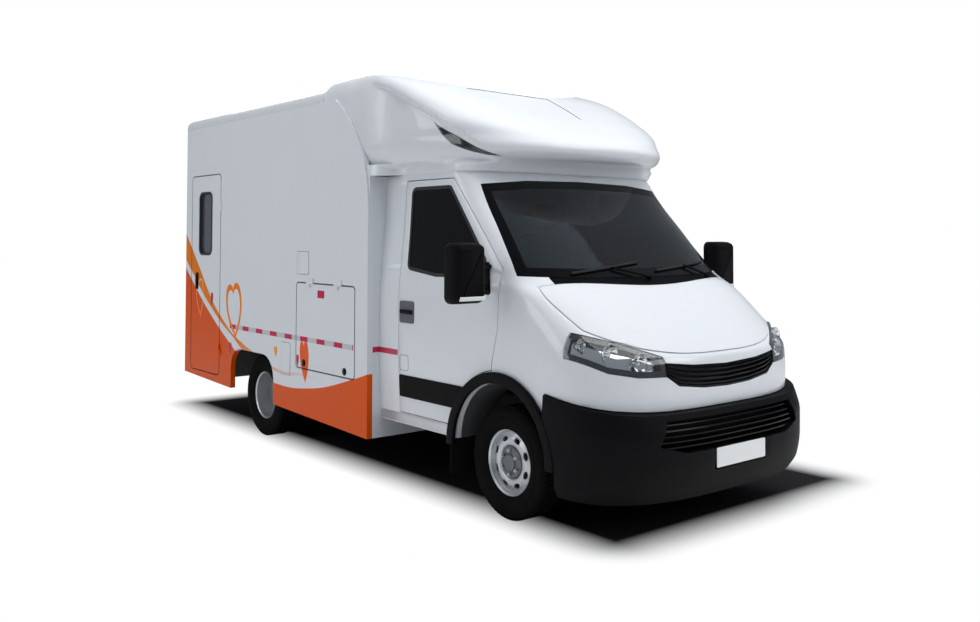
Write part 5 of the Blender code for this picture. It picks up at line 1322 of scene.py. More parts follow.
def arch_cylinder(
    name: str, sign: int, radius: float, inner: float, outer: float, cutter: bool = True
) -> bpy.types.Object:
    """A cylinder across a front wheel arch between two distances from the middle."""
    start = (sign * inner, FRONT_AXLE_Y, ARCH_CENTRE_Z)
    end = (sign * outer, FRONT_AXLE_Y, ARCH_CENTRE_Z)
    return rod(name, radius, start, end, 96, cutter=cutter)


def door_zone(name: str, sign: int, amount: float) -> bpy.types.Object:
    """The space that a cab door takes, grown by an amount."""
    outline = grown(side_outline(DOOR_OUTLINE), amount)
    zone = plate(name, Plane.SIDE, [outline], sign * DOOR_INNER_X, sign * (CAB_HALF_WIDTH + OVERRUN), True)
    radius = ARCH_TRIM_RADIUS + SHUT_GAP - amount
    cut(zone, arch_cylinder(name + "_arch", sign, radius, ARCH_TRIM_INNER_X, BODY_HALF_WIDTH))
    return zone


@dataclass
class Cab:
    """The cab's painted panels, glass, doors, hood and trim."""

    form: CabForm = field(default_factory=CabForm)
    skin: float = 0.030
    door_skin: float = 0.055
    hood_skin: float = 0.020
    glass: float = 0.006
    glass_sink: float = 0.004
    border: float = 0.055
    cowl_half: float = 0.80
    cowl_heights: Point2 = (1.39, 1.53)
    lamp_reach: float = -0.56
    window_radius: float = 0.05
    seal: Point2 = (-0.001, 0.012)
    handle: Patch = (0.936, 1.112, 1.151, 1.306)
    grip: Patch = (0.950, 1.098, 1.215, 1.245)
    cladding: Patch = (0.10, 1.112, 0.632, 0.785)
    flap: Patch = (1.005, 1.112, 0.815, 0.925)
    tape: Patch = (1.140, 1.383, 0.915, 0.955)
    sill: Patch = (0.53, 1.37, 0.447, 0.512)
    blade_radius: float = 0.0085
    arm_radius: float = 0.0075
    wipers: Tuple[Tuple[Point2, Point2, Point2, Point2], ...] = (
        ((-0.64, 1.533), (-0.02, 1.592), (-0.02, 1.496), (-0.30, 1.562)),
        ((0.10, 1.536), (0.74, 1.586), (0.62, 1.490), (0.42, 1.566)),
    )

    def build(self) -> None:
        """Build all of the cab's panels."""
        self._shell()
        self._hood()
        self._doors()
        self._windshield()
        self._cowl()
        self._sills()
        self._tape()
        self._wipers()

    def _shell(self) -> None:
        """The cab's outer skin, and the structure inside it from the CAD's own solid."""
        shell = kept(self.form.loft("cab_skin"))
        cut(shell, self.form.loft("cab_skin_back", self.skin, -OVERRUN, OVERRUN, 0))
        for side in Side:
            arch = (ARCH_RADIUS, ARCH_INNER_X, BODY_HALF_WIDTH)
            cut(shell, arch_cylinder("skin_arch_" + side.word, side.sign, *arch))
            cut(shell, door_zone("skin_door_" + side.word, side.sign, SHUT_GAP / 2))
            outline = [(side.sign * x, z) for x, z in LAMP_OUTLINE]
            ends = (FRONT_Y, along(self.lamp_reach))
            cut(shell, plate("skin_lamp_" + side.word, Plane.FRONT, [outline], *ends, True))
        cut(shell, hood_zone("skin_hood", SHUT_GAP / 2))
        band = [*GRILLE_TOP, *GRILLE_LOW]
        cut(shell, plate("skin_grille", Plane.FRONT, [band], FRONT_Y, along(GRILLE_REACH), True))
        half, (low, high) = self.cowl_half, self.cowl_heights
        cut(shell, box("skin_cowl", (-half, FRONT_Y, low), (half, BODY_FRONT_Y, high), True))
        pane = plate("skin_pane", Plane.FRONT, [list(WINDSHIELD)], FRONT_Y, along(WINDSHIELD_REACH), True)
        cut(shell, pane)
        cut(shell, bumper_zone("skin_bumper", SHUT_GAP / 2))
        shell = softened(shell, 0.0025, 2, 40)
        seated(shell, "vehicle", WHITE.make())
        inner = copy_of("cab_body", "cab_structure")
        limit = self.form.loft("structure_limit", self.skin + SEAM, -OVERRUN, OVERRUN, OVERRUN)
        cut(inner, limit, "INTERSECT")
        inner = shaded(settled(inner), 30)
        seated(inner, "vehicle", MOULDED.make(), ["cab_body"])

    def _hood(self) -> None:
        """The hood's skin."""
        zone = hood_zone("hood_limit", -SHUT_GAP / 2)
        hood = self.form.sheet("hood_skin", 0.0, self.hood_skin, zone)
        hood = softened(hood, 0.0025, 2, 40)
        seated(hood, "hood", WHITE.make(), ["hood"])

    def _doors(self) -> None:
        """The cab's doors with window, seal, handle and rub strip."""
        window = rounded(side_outline(DOOR_WINDOW), self.window_radius)
        for side in Side:
            word, sign = side.word, side.sign
            body = "cab_door_" + word
            reach = (0.0, sign * BODY_HALF_WIDTH)
            door = kept(self.form.loft("door_skin_" + word))
            cut(door, self.form.loft("door_skin_back_" + word, self.door_skin, -OVERRUN, OVERRUN, OVERRUN))
            cut(door, door_zone("door_limit_" + word, sign, -SHUT_GAP / 2), "INTERSECT")
            cut(door, plate("door_hole_" + word, Plane.SIDE, [window], *reach, True))
            seated(softened(door, 0.0025, 2, 40), body, WHITE.make(), ["cab_door_" + word])
            rings = [grown(window, 0.004), grown(window, -0.020)]
            ring = plate("seal_ring_" + word, Plane.SIDE, rings, *reach, True)
            seal = self.form.sheet("window_seal_" + word, *self.seal, ring)
            seated(softened(seal, 0.001, 1), body, SEAL.make())
            limit = plate("pane_limit_" + word, Plane.SIDE, [grown(window, -0.018)], *reach, True)
            glass = self.form.sheet("door_pane_" + word, self.glass_sink, self.glass_sink + self.glass, limit)
            seated(shaded(settled(glass)), body, DARK_GLASS.make(), ["door_glass_" + word])
            self._door_trim(side, body)

    def _patch(
        self, name: str, side: Side, outlines: Sequence[Sequence[Point2]], insets: Point2, reach: Point2
    ) -> bpy.types.Object:
        """A thin piece that follows the cab's flank inside an outline in the side view."""
        ends = [side.sign * end for end in reach]
        limit = plate(name + "_limit", Plane.SIDE, outlines, *ends, True)
        return self.form.sheet(name, *insets, limit)

    def _door_trim(self, side: Side, body: str) -> None:
        """A door's handle, its rub strip and the line of its small flap."""
        word = side.word
        reach = (CAB_HALF_WIDTH - 0.02, CAB_HALF_WIDTH + 0.03)
        plates = [side_patch(self.handle, 0.02)]
        handle = self._patch("door_handle_" + word, side, plates, (-0.006, 0.003), reach)
        seated(softened(handle, 0.002, 2), body, HANDLE.make())
        grip = self._patch("door_grip_" + word, side, [side_patch(self.grip)], (-0.016, -0.005), reach)
        seated(softened(grip, 0.003, 3), body, GLOSS_BLACK.make())
        plates = [side_patch(self.cladding, 0.012)]
        band = self._patch("door_cladding_" + word, side, plates, (-0.009, 0.002), reach)
        arch = (ARCH_TRIM_RADIUS + 2 * SHUT_GAP, DOOR_INNER_X, BODY_HALF_WIDTH + OVERRUN)
        cut(band, arch_cylinder("cladding_arch_" + word, side.sign, *arch))
        seated(softened(band, 0.003, 2), body, BLACK_TRIM.make())
        corners = side_patch(self.flap, 0.02)
        rings = [corners, grown(corners, -0.003)]
        flap = self._patch("door_flap_line_" + word, side, rings, (-0.0008, 0.001), reach)
        seated(shaded(settled(flap)), body, SEAL.make())

    def _tape(self) -> None:
        """A crimson block of reflective tape behind each door."""
        reach = (DOOR_INNER_X, BODY_HALF_WIDTH)
        for side in Side:
            tape = self._patch("tape_" + side.word, side, [side_patch(self.tape)], (-0.0008, 0.002), reach)
            seated(shaded(settled(tape)), "vehicle", TAPE.make())

    def _sills(self) -> None:
        """A silver step strip under each door."""
        reach = (DOOR_INNER_X, BODY_HALF_WIDTH)
        for side in Side:
            outline = side_patch(self.sill)
            strip = self._patch("sill_strip_" + side.word, side, [outline], (-0.004, 0.002), reach)
            arch = (ARCH_TRIM_RADIUS + SHUT_GAP, DOOR_INNER_X, BODY_HALF_WIDTH + OVERRUN)
            cut(strip, arch_cylinder("sill_arch_" + side.word, side.sign, *arch))
            seated(softened(strip, 0.003, 2), "vehicle", SILVER.make())

    def _wipers(self) -> None:
        """Two wipers: a blade on the glass, an arm and its pivot cap."""
        for index, (foot, tip, pivot, joint) in enumerate(self.wipers):
            blade = self._line(foot, tip, 16, 0.010, 0.010)
            blade = tube("wiper_blade_%d" % index, blade, self.blade_radius)
            seated(shaded(blade, 50), "vehicle", SEAL.make())
            arm = tube("wiper_arm_%d" % index, self._line(pivot, joint, 8, 0.026, 0.018), self.arm_radius)
            seated(shaded(arm, 50), "vehicle", BLACK_TRIM.make())
            x, z = pivot
            y = self.front_at(x, z)
            foot, top = (x, y + 0.02, z - 0.02), (x, y - 0.030, z + 0.006)
            cap = rod("wiper_pivot_%d" % index, 0.018, foot, top, 28, 0.012)
            seated(softened(cap, 0.003, 2), "vehicle", BLACK_TRIM.make())

    def _line(self, start: Point2, end: Point2, steps: int, lift: float, end_lift: float) -> List[Point3]:
        """Points from one place in the front view to another, lifted off the windshield."""
        points = []
        for step in range(steps + 1):
            share = step / steps
            x, z = start[0] + (end[0] - start[0]) * share, start[1] + (end[1] - start[1]) * share
            points.append((x, self.front_at(x, z) - lift + (lift - end_lift) * share, z))
        return points

    def front_at(self, x: float, z: float) -> float:
        """The Y of the cab's front at a place in the front view."""
        return front_of(self.form, x, z)

    def _windshield(self) -> None:
        """The windshield and its black border."""
        inner = grown(WINDSHIELD, -self.border)
        parts = (
            ("windshield_pane", [inner], SCREEN_GLASS.make()),
            ("windshield_border", [grown(WINDSHIELD, -0.002), inner], GLOSS_BLACK.make()),
        )
        for name, outlines, finish in parts:
            limit = plate(name + "_limit", Plane.FRONT, outlines, FRONT_Y, along(WINDSHIELD_REACH), True)
            glass = self.form.sheet(name, self.glass_sink, self.glass_sink + self.glass, limit)
            seated(shaded(settled(glass)), "vehicle", finish, ["windshield"])

    def _cowl(self) -> None:
        """The cowl panel under the windshield."""
        half = self.cowl_half - 0.002
        low, high = self.cowl_heights[0] + 0.005, self.cowl_heights[1]
        limit = box("cowl_limit", (-half, FRONT_Y, low), (half, BODY_FRONT_Y, high), True)
        cowl = self.form.sheet("cowl_panel", 0.008, 0.030, limit)
        cut(cowl, hood_zone("cowl_front", SHUT_GAP))
        ends = (FRONT_Y, along(WINDSHIELD_REACH))
        pane = plate("cowl_top", Plane.FRONT, [grown(WINDSHIELD, 0.001)], *ends, True)
        cut(cowl, pane)
        seated(shaded(settled(cowl)), "vehicle", BLACK_TRIM.make(), ["wiper_cowl"])


@dataclass
class Headlamps:
    """Headlamps: dark housing, chrome reflectors and a clear lens."""

    form: CabForm = field(default_factory=CabForm)
    reach: float = -0.558
    bezel: float = 0.034
    reflectors: Tuple[Point3, ...] = ((0.66, 1.035, 0.058), (0.80, 1.085, 0.062), (0.905, 1.130, 0.040))

    def build(self) -> None:
        """Build both lamps."""
        for side in Side:
            word, sign = side.word, side.sign
            outline = grown([(sign * x, z) for x, z in LAMP_OUTLINE], -0.002)
            for name, front, back, outlines, finish, replaced in (
                ("lamp_lens_", -0.001, 0.004, [outline], LENS.make(), ["headlamp_" + word]),
                ("lamp_bezel_", 0.006, 0.035, [outline, grown(outline, -self.bezel)], BEZEL.make(), []),
                ("lamp_bowl_", 0.045, 0.085, [outline], CHROME.make(), []),
            ):
                limit = plate(name + "limit_" + word, Plane.FRONT, outlines, FRONT_Y, along(self.reach), True)
                piece = self.form.sheet(name + word, front, back, limit)
                seated(shaded(settled(piece)), "vehicle", finish, replaced)
            self._reflectors(side)

    def _reflectors(self, side: Side) -> None:
        """The round reflectors with their bulbs."""
        word, sign = side.word, side.sign
        for index, (x, z, radius) in enumerate(self.reflectors):
            y = front_of(self.form, x, z) + 0.060
            profile = [(radius, 0.030), (radius - 0.004, 0.030), (radius * 0.55, 0.004)]
            profile += [(0.012, 0.0), (0.012, 0.020), (0.0, 0.022)]
            profile += [(0.0, -0.012), (radius * 0.6, -0.008), (radius, 0.024)]
            bowl = turned("lamp_reflector_%s_%d" % (word, index), profile, (0, 0, 0), 1, 40)
            turn = Matrix.Rotation(math.radians(-90), 4, "Z")
            bowl.data.transform(Matrix.Translation((sign * x, y, z)) @ turn)
            seated(shaded(bowl, 30), "vehicle", CHROME.make())


@dataclass
class Nose:
    """The grille band and the bumper with its lower intake and blank plate."""

    form: CabForm = field(default_factory=CabForm)
    table: Tuple[Tuple[float, float, float], ...] = (
        (0.250, 1.010, 0.970), (0.330, 1.055, 1.015), (0.480, 1.080, 1.025), (0.620, 1.080, 1.028),
        (0.720, 1.045, 1.025), (0.790, 1.010, 1.020), (0.880, 0.990, 1.012),
    )
    corner: float = 0.42
    intake: Tuple[Point2, ...] = (
        (0.590, 0.715), (0.660, 0.580), (0.480, 0.530), (-0.480, 0.530), (-0.660, 0.580), (-0.590, 0.715),
    )
    slats: int = 4
    slat_half: float = 0.0055
    slat_end: float = 0.512
    bars: Tuple[float, ...] = (0.562, 0.594, 0.626, 0.658, 0.690)
    bar_half: Point2 = (0.67, 0.005)
    mesh: Tuple[Point3, Point3] = ((-0.69, 0.20, 0.50), (0.69, 0.206, 0.735))
    recess: Tuple[Point3, Point3] = ((-0.247, -OVERRUN, 0.403), (0.247, 0.018, 0.541))
    plate_half: float = 0.235
    plate_heights: Point2 = (0.415, 0.529)

    def build(self) -> None:
        """Build the grille, the bumper and the plate."""
        self._grille()
        self._bumper()
        self._plate()

    def _grille(self) -> None:
        """A glossy black band with slats that follow the nose."""
        band = [*GRILLE_TOP, *GRILLE_LOW]
        hole = grown(band, -0.013)
        parts = (("grille_frame", 0.001, 0.030, [band, hole]), ("grille_back", 0.034, 0.040, [band]))
        for name, front, back, outlines in parts:
            limit = plate(name + "_limit", Plane.FRONT, outlines, FRONT_Y, along(GRILLE_LIMIT), True)
            piece = self.form.sheet(name, front, back, limit)
            replaced = ["grille"] if name == "grille_frame" else []
            seated(softened(piece, 0.001, 1), "vehicle", GLOSS_BLACK.make(), replaced)
        for row in range(self.slats):
            share = (row + 1) / (self.slats + 1)
            line = []
            for step in range(21):
                x = self.slat_end * (1 - step / 10)
                top = height_on([(-px, pz) for px, pz in GRILLE_TOP], -x)
                low = height_on(GRILLE_LOW, x)
                line.append((x, low + (top - low) * share))
            half = self.slat_half
            limit = [(x, z + half) for x, z in line] + [(x, z - half) for x, z in reversed(line)]
            trim = plate("slat_limit_%d" % row, Plane.FRONT, [limit], FRONT_Y, along(GRILLE_LIMIT), True)
            slat = self.form.sheet("grille_slat_%d" % row, 0.004, 0.030, trim)
            seated(softened(slat, 0.0015, 2), "vehicle", GLOSS_BLACK.make())

    def _rings(self, inset: float, span: Point2 = FULL_HEIGHT) -> List[List[Point3]]:
        """The bumper's rings, moved inwards, between two heights."""
        rings = []
        corner = along(-self.corner)
        for height, reach, wide in dense_rows(self.table, 0.012):
            if not span[0] <= height <= span[1]:
                continue
            half = wide * CAB_HALF_WIDTH - inset
            ring = Ring(height, along(-reach) + inset, corner, corner + 3 * OVERRUN, half, half, 3.0)
            rings.append(ring.points(28, 3))
        return rings

    def _bumper(self) -> None:
        """The bumper that wraps round the nose."""
        bumper = loft("bumper_skin", self._rings(0), False)
        cut(bumper, self.form.loft("bumper_back", 0.03, -OVERRUN, 0.44, 0))
        cut(bumper, bumper_zone("bumper_limit", -SHUT_GAP / 2), "INTERSECT")
        for side in Side:
            arch = (ARCH_TRIM_RADIUS + 0.001, ARCH_TRIM_INNER_X, BODY_HALF_WIDTH + OVERRUN)
            cut(bumper, arch_cylinder("bumper_arch_" + side.word, side.sign, *arch))
        ends = (FRONT_Y - OVERRUN, along(-self.corner))
        cut(bumper, plate("bumper_intake", Plane.FRONT, [list(self.intake)], *ends, True))
        corners = [(x, FRONT_Y + y, z) for x, y, z in self.recess]
        cut(bumper, box("plate_recess", *corners, True))
        bumper = softened(bumper, 0.004, 3, 40)
        seated(bumper, "vehicle", BLACK_TRIM.make(), ["front_bumper"])
        for row, height in enumerate(self.bars):
            span = (height - 0.035, height + 0.035)
            bar = loft("intake_bar_%d" % row, self._rings(0.022, span), False)
            cut(bar, loft("intake_bar_back_%d" % row, self._rings(0.045, (span[0] - 0.012, span[1] + 0.012))))
            half, tall = self.bar_half
            low, high = (-half, FRONT_Y - OVERRUN, height - tall), (half, along(-0.6), height + tall)
            cut(bar, box("intake_bar_limit_%d" % row, low, high, True), "INTERSECT")
            seated(softened(bar, 0.002, 1), "vehicle", GLOSS_BLACK.make())
        mesh = box("intake_mesh", *[(x, FRONT_Y + y, z) for x, y, z in self.mesh])
        seated(mesh, "vehicle", BLACK_TRIM.make())

    def _plate(self) -> None:
        """A blank plate in a thin frame on the bumper."""
        outline = front_patch(0, self.plate_half, *self.plate_heights, 0.008)
        front = FRONT_Y + 0.001
        holder = plate("plate_holder", Plane.FRONT, [grown(outline, 0.004)], front + 0.005, front + 0.030)
        seated(softened(holder, 0.001, 1), "vehicle", BLACK_TRIM.make())
        blank = plate("blank_plate", Plane.FRONT, [outline], front + 0.001, front + 0.006)
        seated(softened(blank, 0.0006, 1), "vehicle", BLANK_PLATE.make())


@dataclass
class ArchTrims:
    """Flares round the front arches with their mud flaps."""

    inner: float = 1.0004
    depth: float = 0.030
    flap_middle: float = 0.895
    flap_half: float = 0.135
    flap_heights: Point2 = (0.21, 0.44)
    flap_ends: Point2 = (0.46, 0.468)

    def build(self) -> None:
        """Build both flares."""
        for side in Side:
            word, sign = side.word, side.sign
            outer = self.inner + self.depth
            trim = arch_cylinder("arch_flare_" + word, sign, ARCH_TRIM_RADIUS, self.inner, outer, False)
            ends = (self.inner - OVERRUN, self.inner + 2 * OVERRUN)
            cut(trim, arch_cylinder("flare_hole_" + word, sign, ARCH_RADIUS, *ends))
            low = (sign * ends[0], along(-ARCH_TRIM_RADIUS - OVERRUN), -0.2)
            high = (sign * ends[1], along(ARCH_TRIM_RADIUS + OVERRUN), ARCH_CENTRE_Z)
            cut(trim, box("flare_foot_" + word, low, high, True))
            seated(softened(trim, 0.010, 4), "vehicle", BLACK_TRIM.make(), ["arch_trim_" + word])
            outline = front_patch(sign * self.flap_middle, self.flap_half, *self.flap_heights, 0.015)
            flap = plate("mud_flap_" + word, Plane.FRONT, [outline], *(along(end) for end in self.flap_ends))
            seated(softened(flap, 0.002, 2), "vehicle", RUBBER.make())


@dataclass
class Fairing:
    """The streamlined fairing over the cab."""

    top: float = 3.015
    length: float = 2.05
    half_width: float = 1.09
    rear: float = 2.093
    wall: float = 0.04
    wall_inner: float = 0.045
    space_low: float = 1.2
    space_top: float = 2.862
    arc_front: float = 1.383
    arc_radius: float = 1.0
    arc_low: float = 1.95
    arc_high: float = 2.81
    seat_top: float = 2.8103
    lamp_inner: float = 0.62
    table: Tuple[Tuple[float, ...], ...] = (
        (0.7297, 0.8455, 0.738, 0.000, 0.858, 1.000, 3.0),
        (0.7460, 0.8940, 0.728, 0.000, 0.872, 1.000, 2.9),
        (0.7595, 0.9720, 0.450, 0.000, 0.950, 1.000, 2.9),
        (0.7827, 0.9970, 0.420, 0.000, 0.980, 1.000, 2.9),
        (0.8060, 0.9720, 0.400, 0.000, 0.995, 1.000, 3.0),
        (0.8458, 0.8840, 0.385, 0.000, 1.000, 1.000, 3.8),
        (0.8823, 0.7860, 0.370, 0.000, 1.000, 1.000, 4.2),
        (0.9154, 0.6880, 0.350, 0.000, 0.995, 0.997, 4.5),
        (0.9453, 0.5910, 0.320, 0.000, 0.986, 0.990, 4.5),
        (0.9685, 0.4840, 0.290, 0.020, 0.963, 0.970, 4.5),
        (0.9850, 0.3770, 0.230, 0.060, 0.920, 0.925, 4.0),
        (0.9950, 0.2650, 0.190, 0.090, 0.840, 0.840, 3.5),
        (1.0000, 0.2100, 0.160, 0.110, 0.700, 0.700, 3.0),
    )
    flare: Point2 = (0.25, 0.02)
    ridge: Tuple[Point2, ...] = (
        (0.200, 2.245), (0.250, 2.285), (0.326, 2.346), (0.438, 2.436), (0.563, 2.534), (0.669, 2.600),
        (0.794, 2.665),
        (0.959, 2.745), (1.143, 2.823), (1.313, 2.884), (1.466, 2.931), (1.643, 2.967), (2.100, 2.990),
    )
    cheek: float = 0.042
    lamp: Tuple[Point2, ...] = (
        (0.690, 2.533), (0.602, 2.477), (0.514, 2.428), (0.398, 2.356), (0.336, 2.322), (0.280, 2.297),
        (0.350, 2.305), (0.456, 2.338), (0.563, 2.385), (0.632, 2.448),
    )
    seam: Tuple[Point2, ...] = (
        (-0.627, 0.826), (-0.353, 0.800), (0.100, 0.775), (0.098, 0.572), (0.088, 0.380),
    )

    def _cheeked(self, point: Point3) -> Point3:
        """A point of the form, drawn in where it lies on the hollow cheek under the ridge."""
        x, y, z = point
        distance = y - FRONT_AXLE_Y
        below = height_on(self.ridge, distance) - z
        amount = self.cheek * eased(below / 0.045) * eased((abs(x) - 0.60) / 0.16)
        amount *= eased((z - 2.205) / 0.12) * eased((1.50 - distance) / 0.40)
        return (x - math.copysign(amount, x), y, z)

    def _loft(
        self, name: str, inset: float = 0.0, inside: bool = False, span: Point2 = FULL_HEIGHT
    ) -> bpy.types.Object:
        """The fairing's outer form moved inwards by an inset, or the space inside its shell."""
        rings = []
        start = along(self.rear)
        flare = (BODY_FRONT_Y - self.flare[0], BODY_FRONT_Y - self.flare[1])
        for high, front, corner, rear, wide, rear_wide, power in dense_rows(self.table, 0.004):
            height = high * self.top
            rear_y = start - rear * self.length
            if not span[0] <= height <= span[1] or inside and height > self.space_top:
                continue
            if inside:
                rear_y = start + OVERRUN
            corner_y = min(start - corner * self.length, flare[0] + 0.9 * (rear_y - flare[0]))
            flank = flare
            if corner_y > flare[0]:
                step = (rear_y - corner_y) / 4
                flank = (corner_y + step, corner_y + 2 * step)
            half = wide * self.half_width - inset
            rear_half = rear_wide * self.half_width - inset
            front_y = start - front * self.length + inset
            made = Ring(height, front_y, corner_y, rear_y, half, rear_half, power, flank).even(96)
            rings.append([self._cheeked(point) for point in made])
        if inside:
            rings.insert(0, [(x, y, self.space_low) for x, y, _ in rings[0]])
        return loft(name, rings)

    def build(self) -> None:
        """Build the shell with its seats on the walls, its marker lamps and its seam."""
        shell = kept(self._loft("fairing_skin"))
        inner = BODY_HALF_WIDTH - self.wall_inner - SEAM
        outer = BODY_HALF_WIDTH + OVERRUN
        for side in Side:
            low = (side.sign * inner, BODY_FRONT_Y + SEAM, self.arc_low)
            high = (side.sign * self.half_width, along(self.rear) - OVERRUN, CAB_TOP_Z + OVERRUN)
            cut(shell, box("fairing_shoulder_" + side.word, low, high, True), "UNION")
        cut(shell, self._loft("fairing_space", self.wall, True))
        seat = side_outline(self._seat())
        for side in Side:
            ends = (side.sign * inner, side.sign * outer)
            cut(shell, plate("fairing_seat_" + side.word, Plane.SIDE, [seat], *ends, True))
        low = (-inner - SEAM, FRONT_Y, 0)
        cut(shell, box("fairing_floor", low, (inner + SEAM, BODY_REAR_Y, CAB_TOP_Z + SEAM), True))
        outline = side_outline(self.lamp)
        for side in Side:
            ends = (side.sign * self.lamp_inner, side.sign * outer)
            cut(shell, plate("lamp_recess_" + side.word, Plane.SIDE, [grown(outline, 0.002)], *ends, True))
        shell = shaded(settled(shell), 40)
        self._seam(shell)
        seated(shell, "vehicle", WHITE.make(), ["overcab_fairing"])
        for side in Side:
            self._lamp(side, outline)

    def _seat(self) -> List[Point2]:
        """The side view of the walls' rounded front corner and top, which the fairing sits on."""
        curve = []
        first = math.asin((self.arc_high - self.arc_low) / self.arc_radius)
        radius = self.arc_radius + 2 * SEAM
        for step in range(33):
            angle = math.pi - first + first * step / 32
            across = self.arc_front + self.arc_radius + radius * math.cos(angle)
            curve.append((across, self.arc_low + radius * math.sin(angle)))
        top, foot, back = self.seat_top, self.arc_low - OVERRUN, self.rear + OVERRUN
        return [(curve[0][0], top), *curve[1:], (curve[-1][0], foot), (back, foot), (back, top)]

    def _lamp(self, side: Side, outline: Sequence[Point2]) -> None:
        """A marker lamp in the cheek: a dark bed under a clear lens."""
        word = side.word
        ends = (side.sign * self.lamp_inner, side.sign * (BODY_HALF_WIDTH + OVERRUN))
        for name, front, back, finish in (
            ("marker_bed_", 0.012, 0.034, GLOSS_BLACK.make()),
            ("marker_lens_", 0.001, 0.004, LENS.make()),
        ):
            piece = kept(self._loft(name + word, front, False, (2.24, 2.60)))
            cut(piece, self._loft(name + "back_" + word, back, False, (2.20, 2.64)))
            limit = plate(name + "limit_" + word, Plane.SIDE, [grown(outline, -0.0005)], *ends, True)
            cut(piece, limit, "INTERSECT")
            seated(shaded(settled(piece)), "vehicle", finish)

    def _seam(self, shell: bpy.types.Object) -> None:
        """The fine seam of the panel on the fairing's top, laid on the shell."""
        places: List[Point3] = []
        for (x, distance), (next_x, next_distance) in zip(self.seam, self.seam[1:]):
            for step in range(12):
                share = step / 12
                across = x + (next_x - x) * share
                back = along(distance + (next_distance - distance) * share)
                hit, place, _, _ = shell.ray_cast(Vector((across, back, 3.4)), Vector((0, 0, -1)))
                if hit:
                    places.append(tuple(place))
        line = tube("fairing_seam", places, 0.0028)
        seated(shaded(line, 60), "vehicle", SEAL.make())


# Turned profiles of the wheels: the radius and the distance outboard
RIM_LIP = (
    (0.1925, 0.060), (0.204, 0.068), (0.213, 0.0745), (0.219, 0.0752), (0.2218, 0.072), (0.2215, 0.066),
    (0.2035, 0.0655),
)
FRONT_FACE = (
    (0.0, 0.040), (0.098, 0.040), (0.104, 0.050), (0.112, 0.055), (0.135, 0.055), (0.158, 0.050),
    (0.174, 0.036), (0.185, 0.032),
)
FRONT_BACK = ((0.190, 0.018), (0.165, 0.030), (0.140, 0.040), (0.112, 0.042), (0.100, 0.028), (0.0, 0.028))
FRONT_HUB = (
    (0.0, 0.076), (0.046, 0.074), (0.052, 0.070), (0.055, 0.060), (0.062, 0.057), (0.094, 0.055),
    (0.0985, 0.050), (0.0985, 0.041), (0.0, 0.041),
)
DISH_FACE = ((0.0, 0.030), (0.070, 0.030), (0.110, 0.018), (0.150, 0.016), (0.178, 0.026), (0.190, 0.058))
DISH_BACK = ((0.185, 0.030), (0.150, 0.004), (0.0, 0.004))
MATE_FACE = ((0.0, 0.002), (0.150, 0.002), (0.185, -0.026))
MATE_BACK = (
    (0.190, -0.058), (0.178, -0.030), (0.150, -0.014), (0.060, -0.014), (0.060, -0.080), (0.0, -0.080),
)
REAR_HUB = (
    (0.0, 0.100), (0.060, 0.098), (0.068, 0.090), (0.072, 0.050), (0.088, 0.036), (0.092, 0.031),
    (0.0, 0.031),
)
# The tyre's sidewall: the radius and the share of half its width
SIDEWALL = (
    (0.2045, 0.72), (0.222, 0.86), (0.245, 0.97), (0.262, 0.985), (0.264, 1.0), (0.270, 1.0),
    (0.272, 0.985), (0.300, 0.985), (0.318, 0.95), (0.334, 0.86),
)


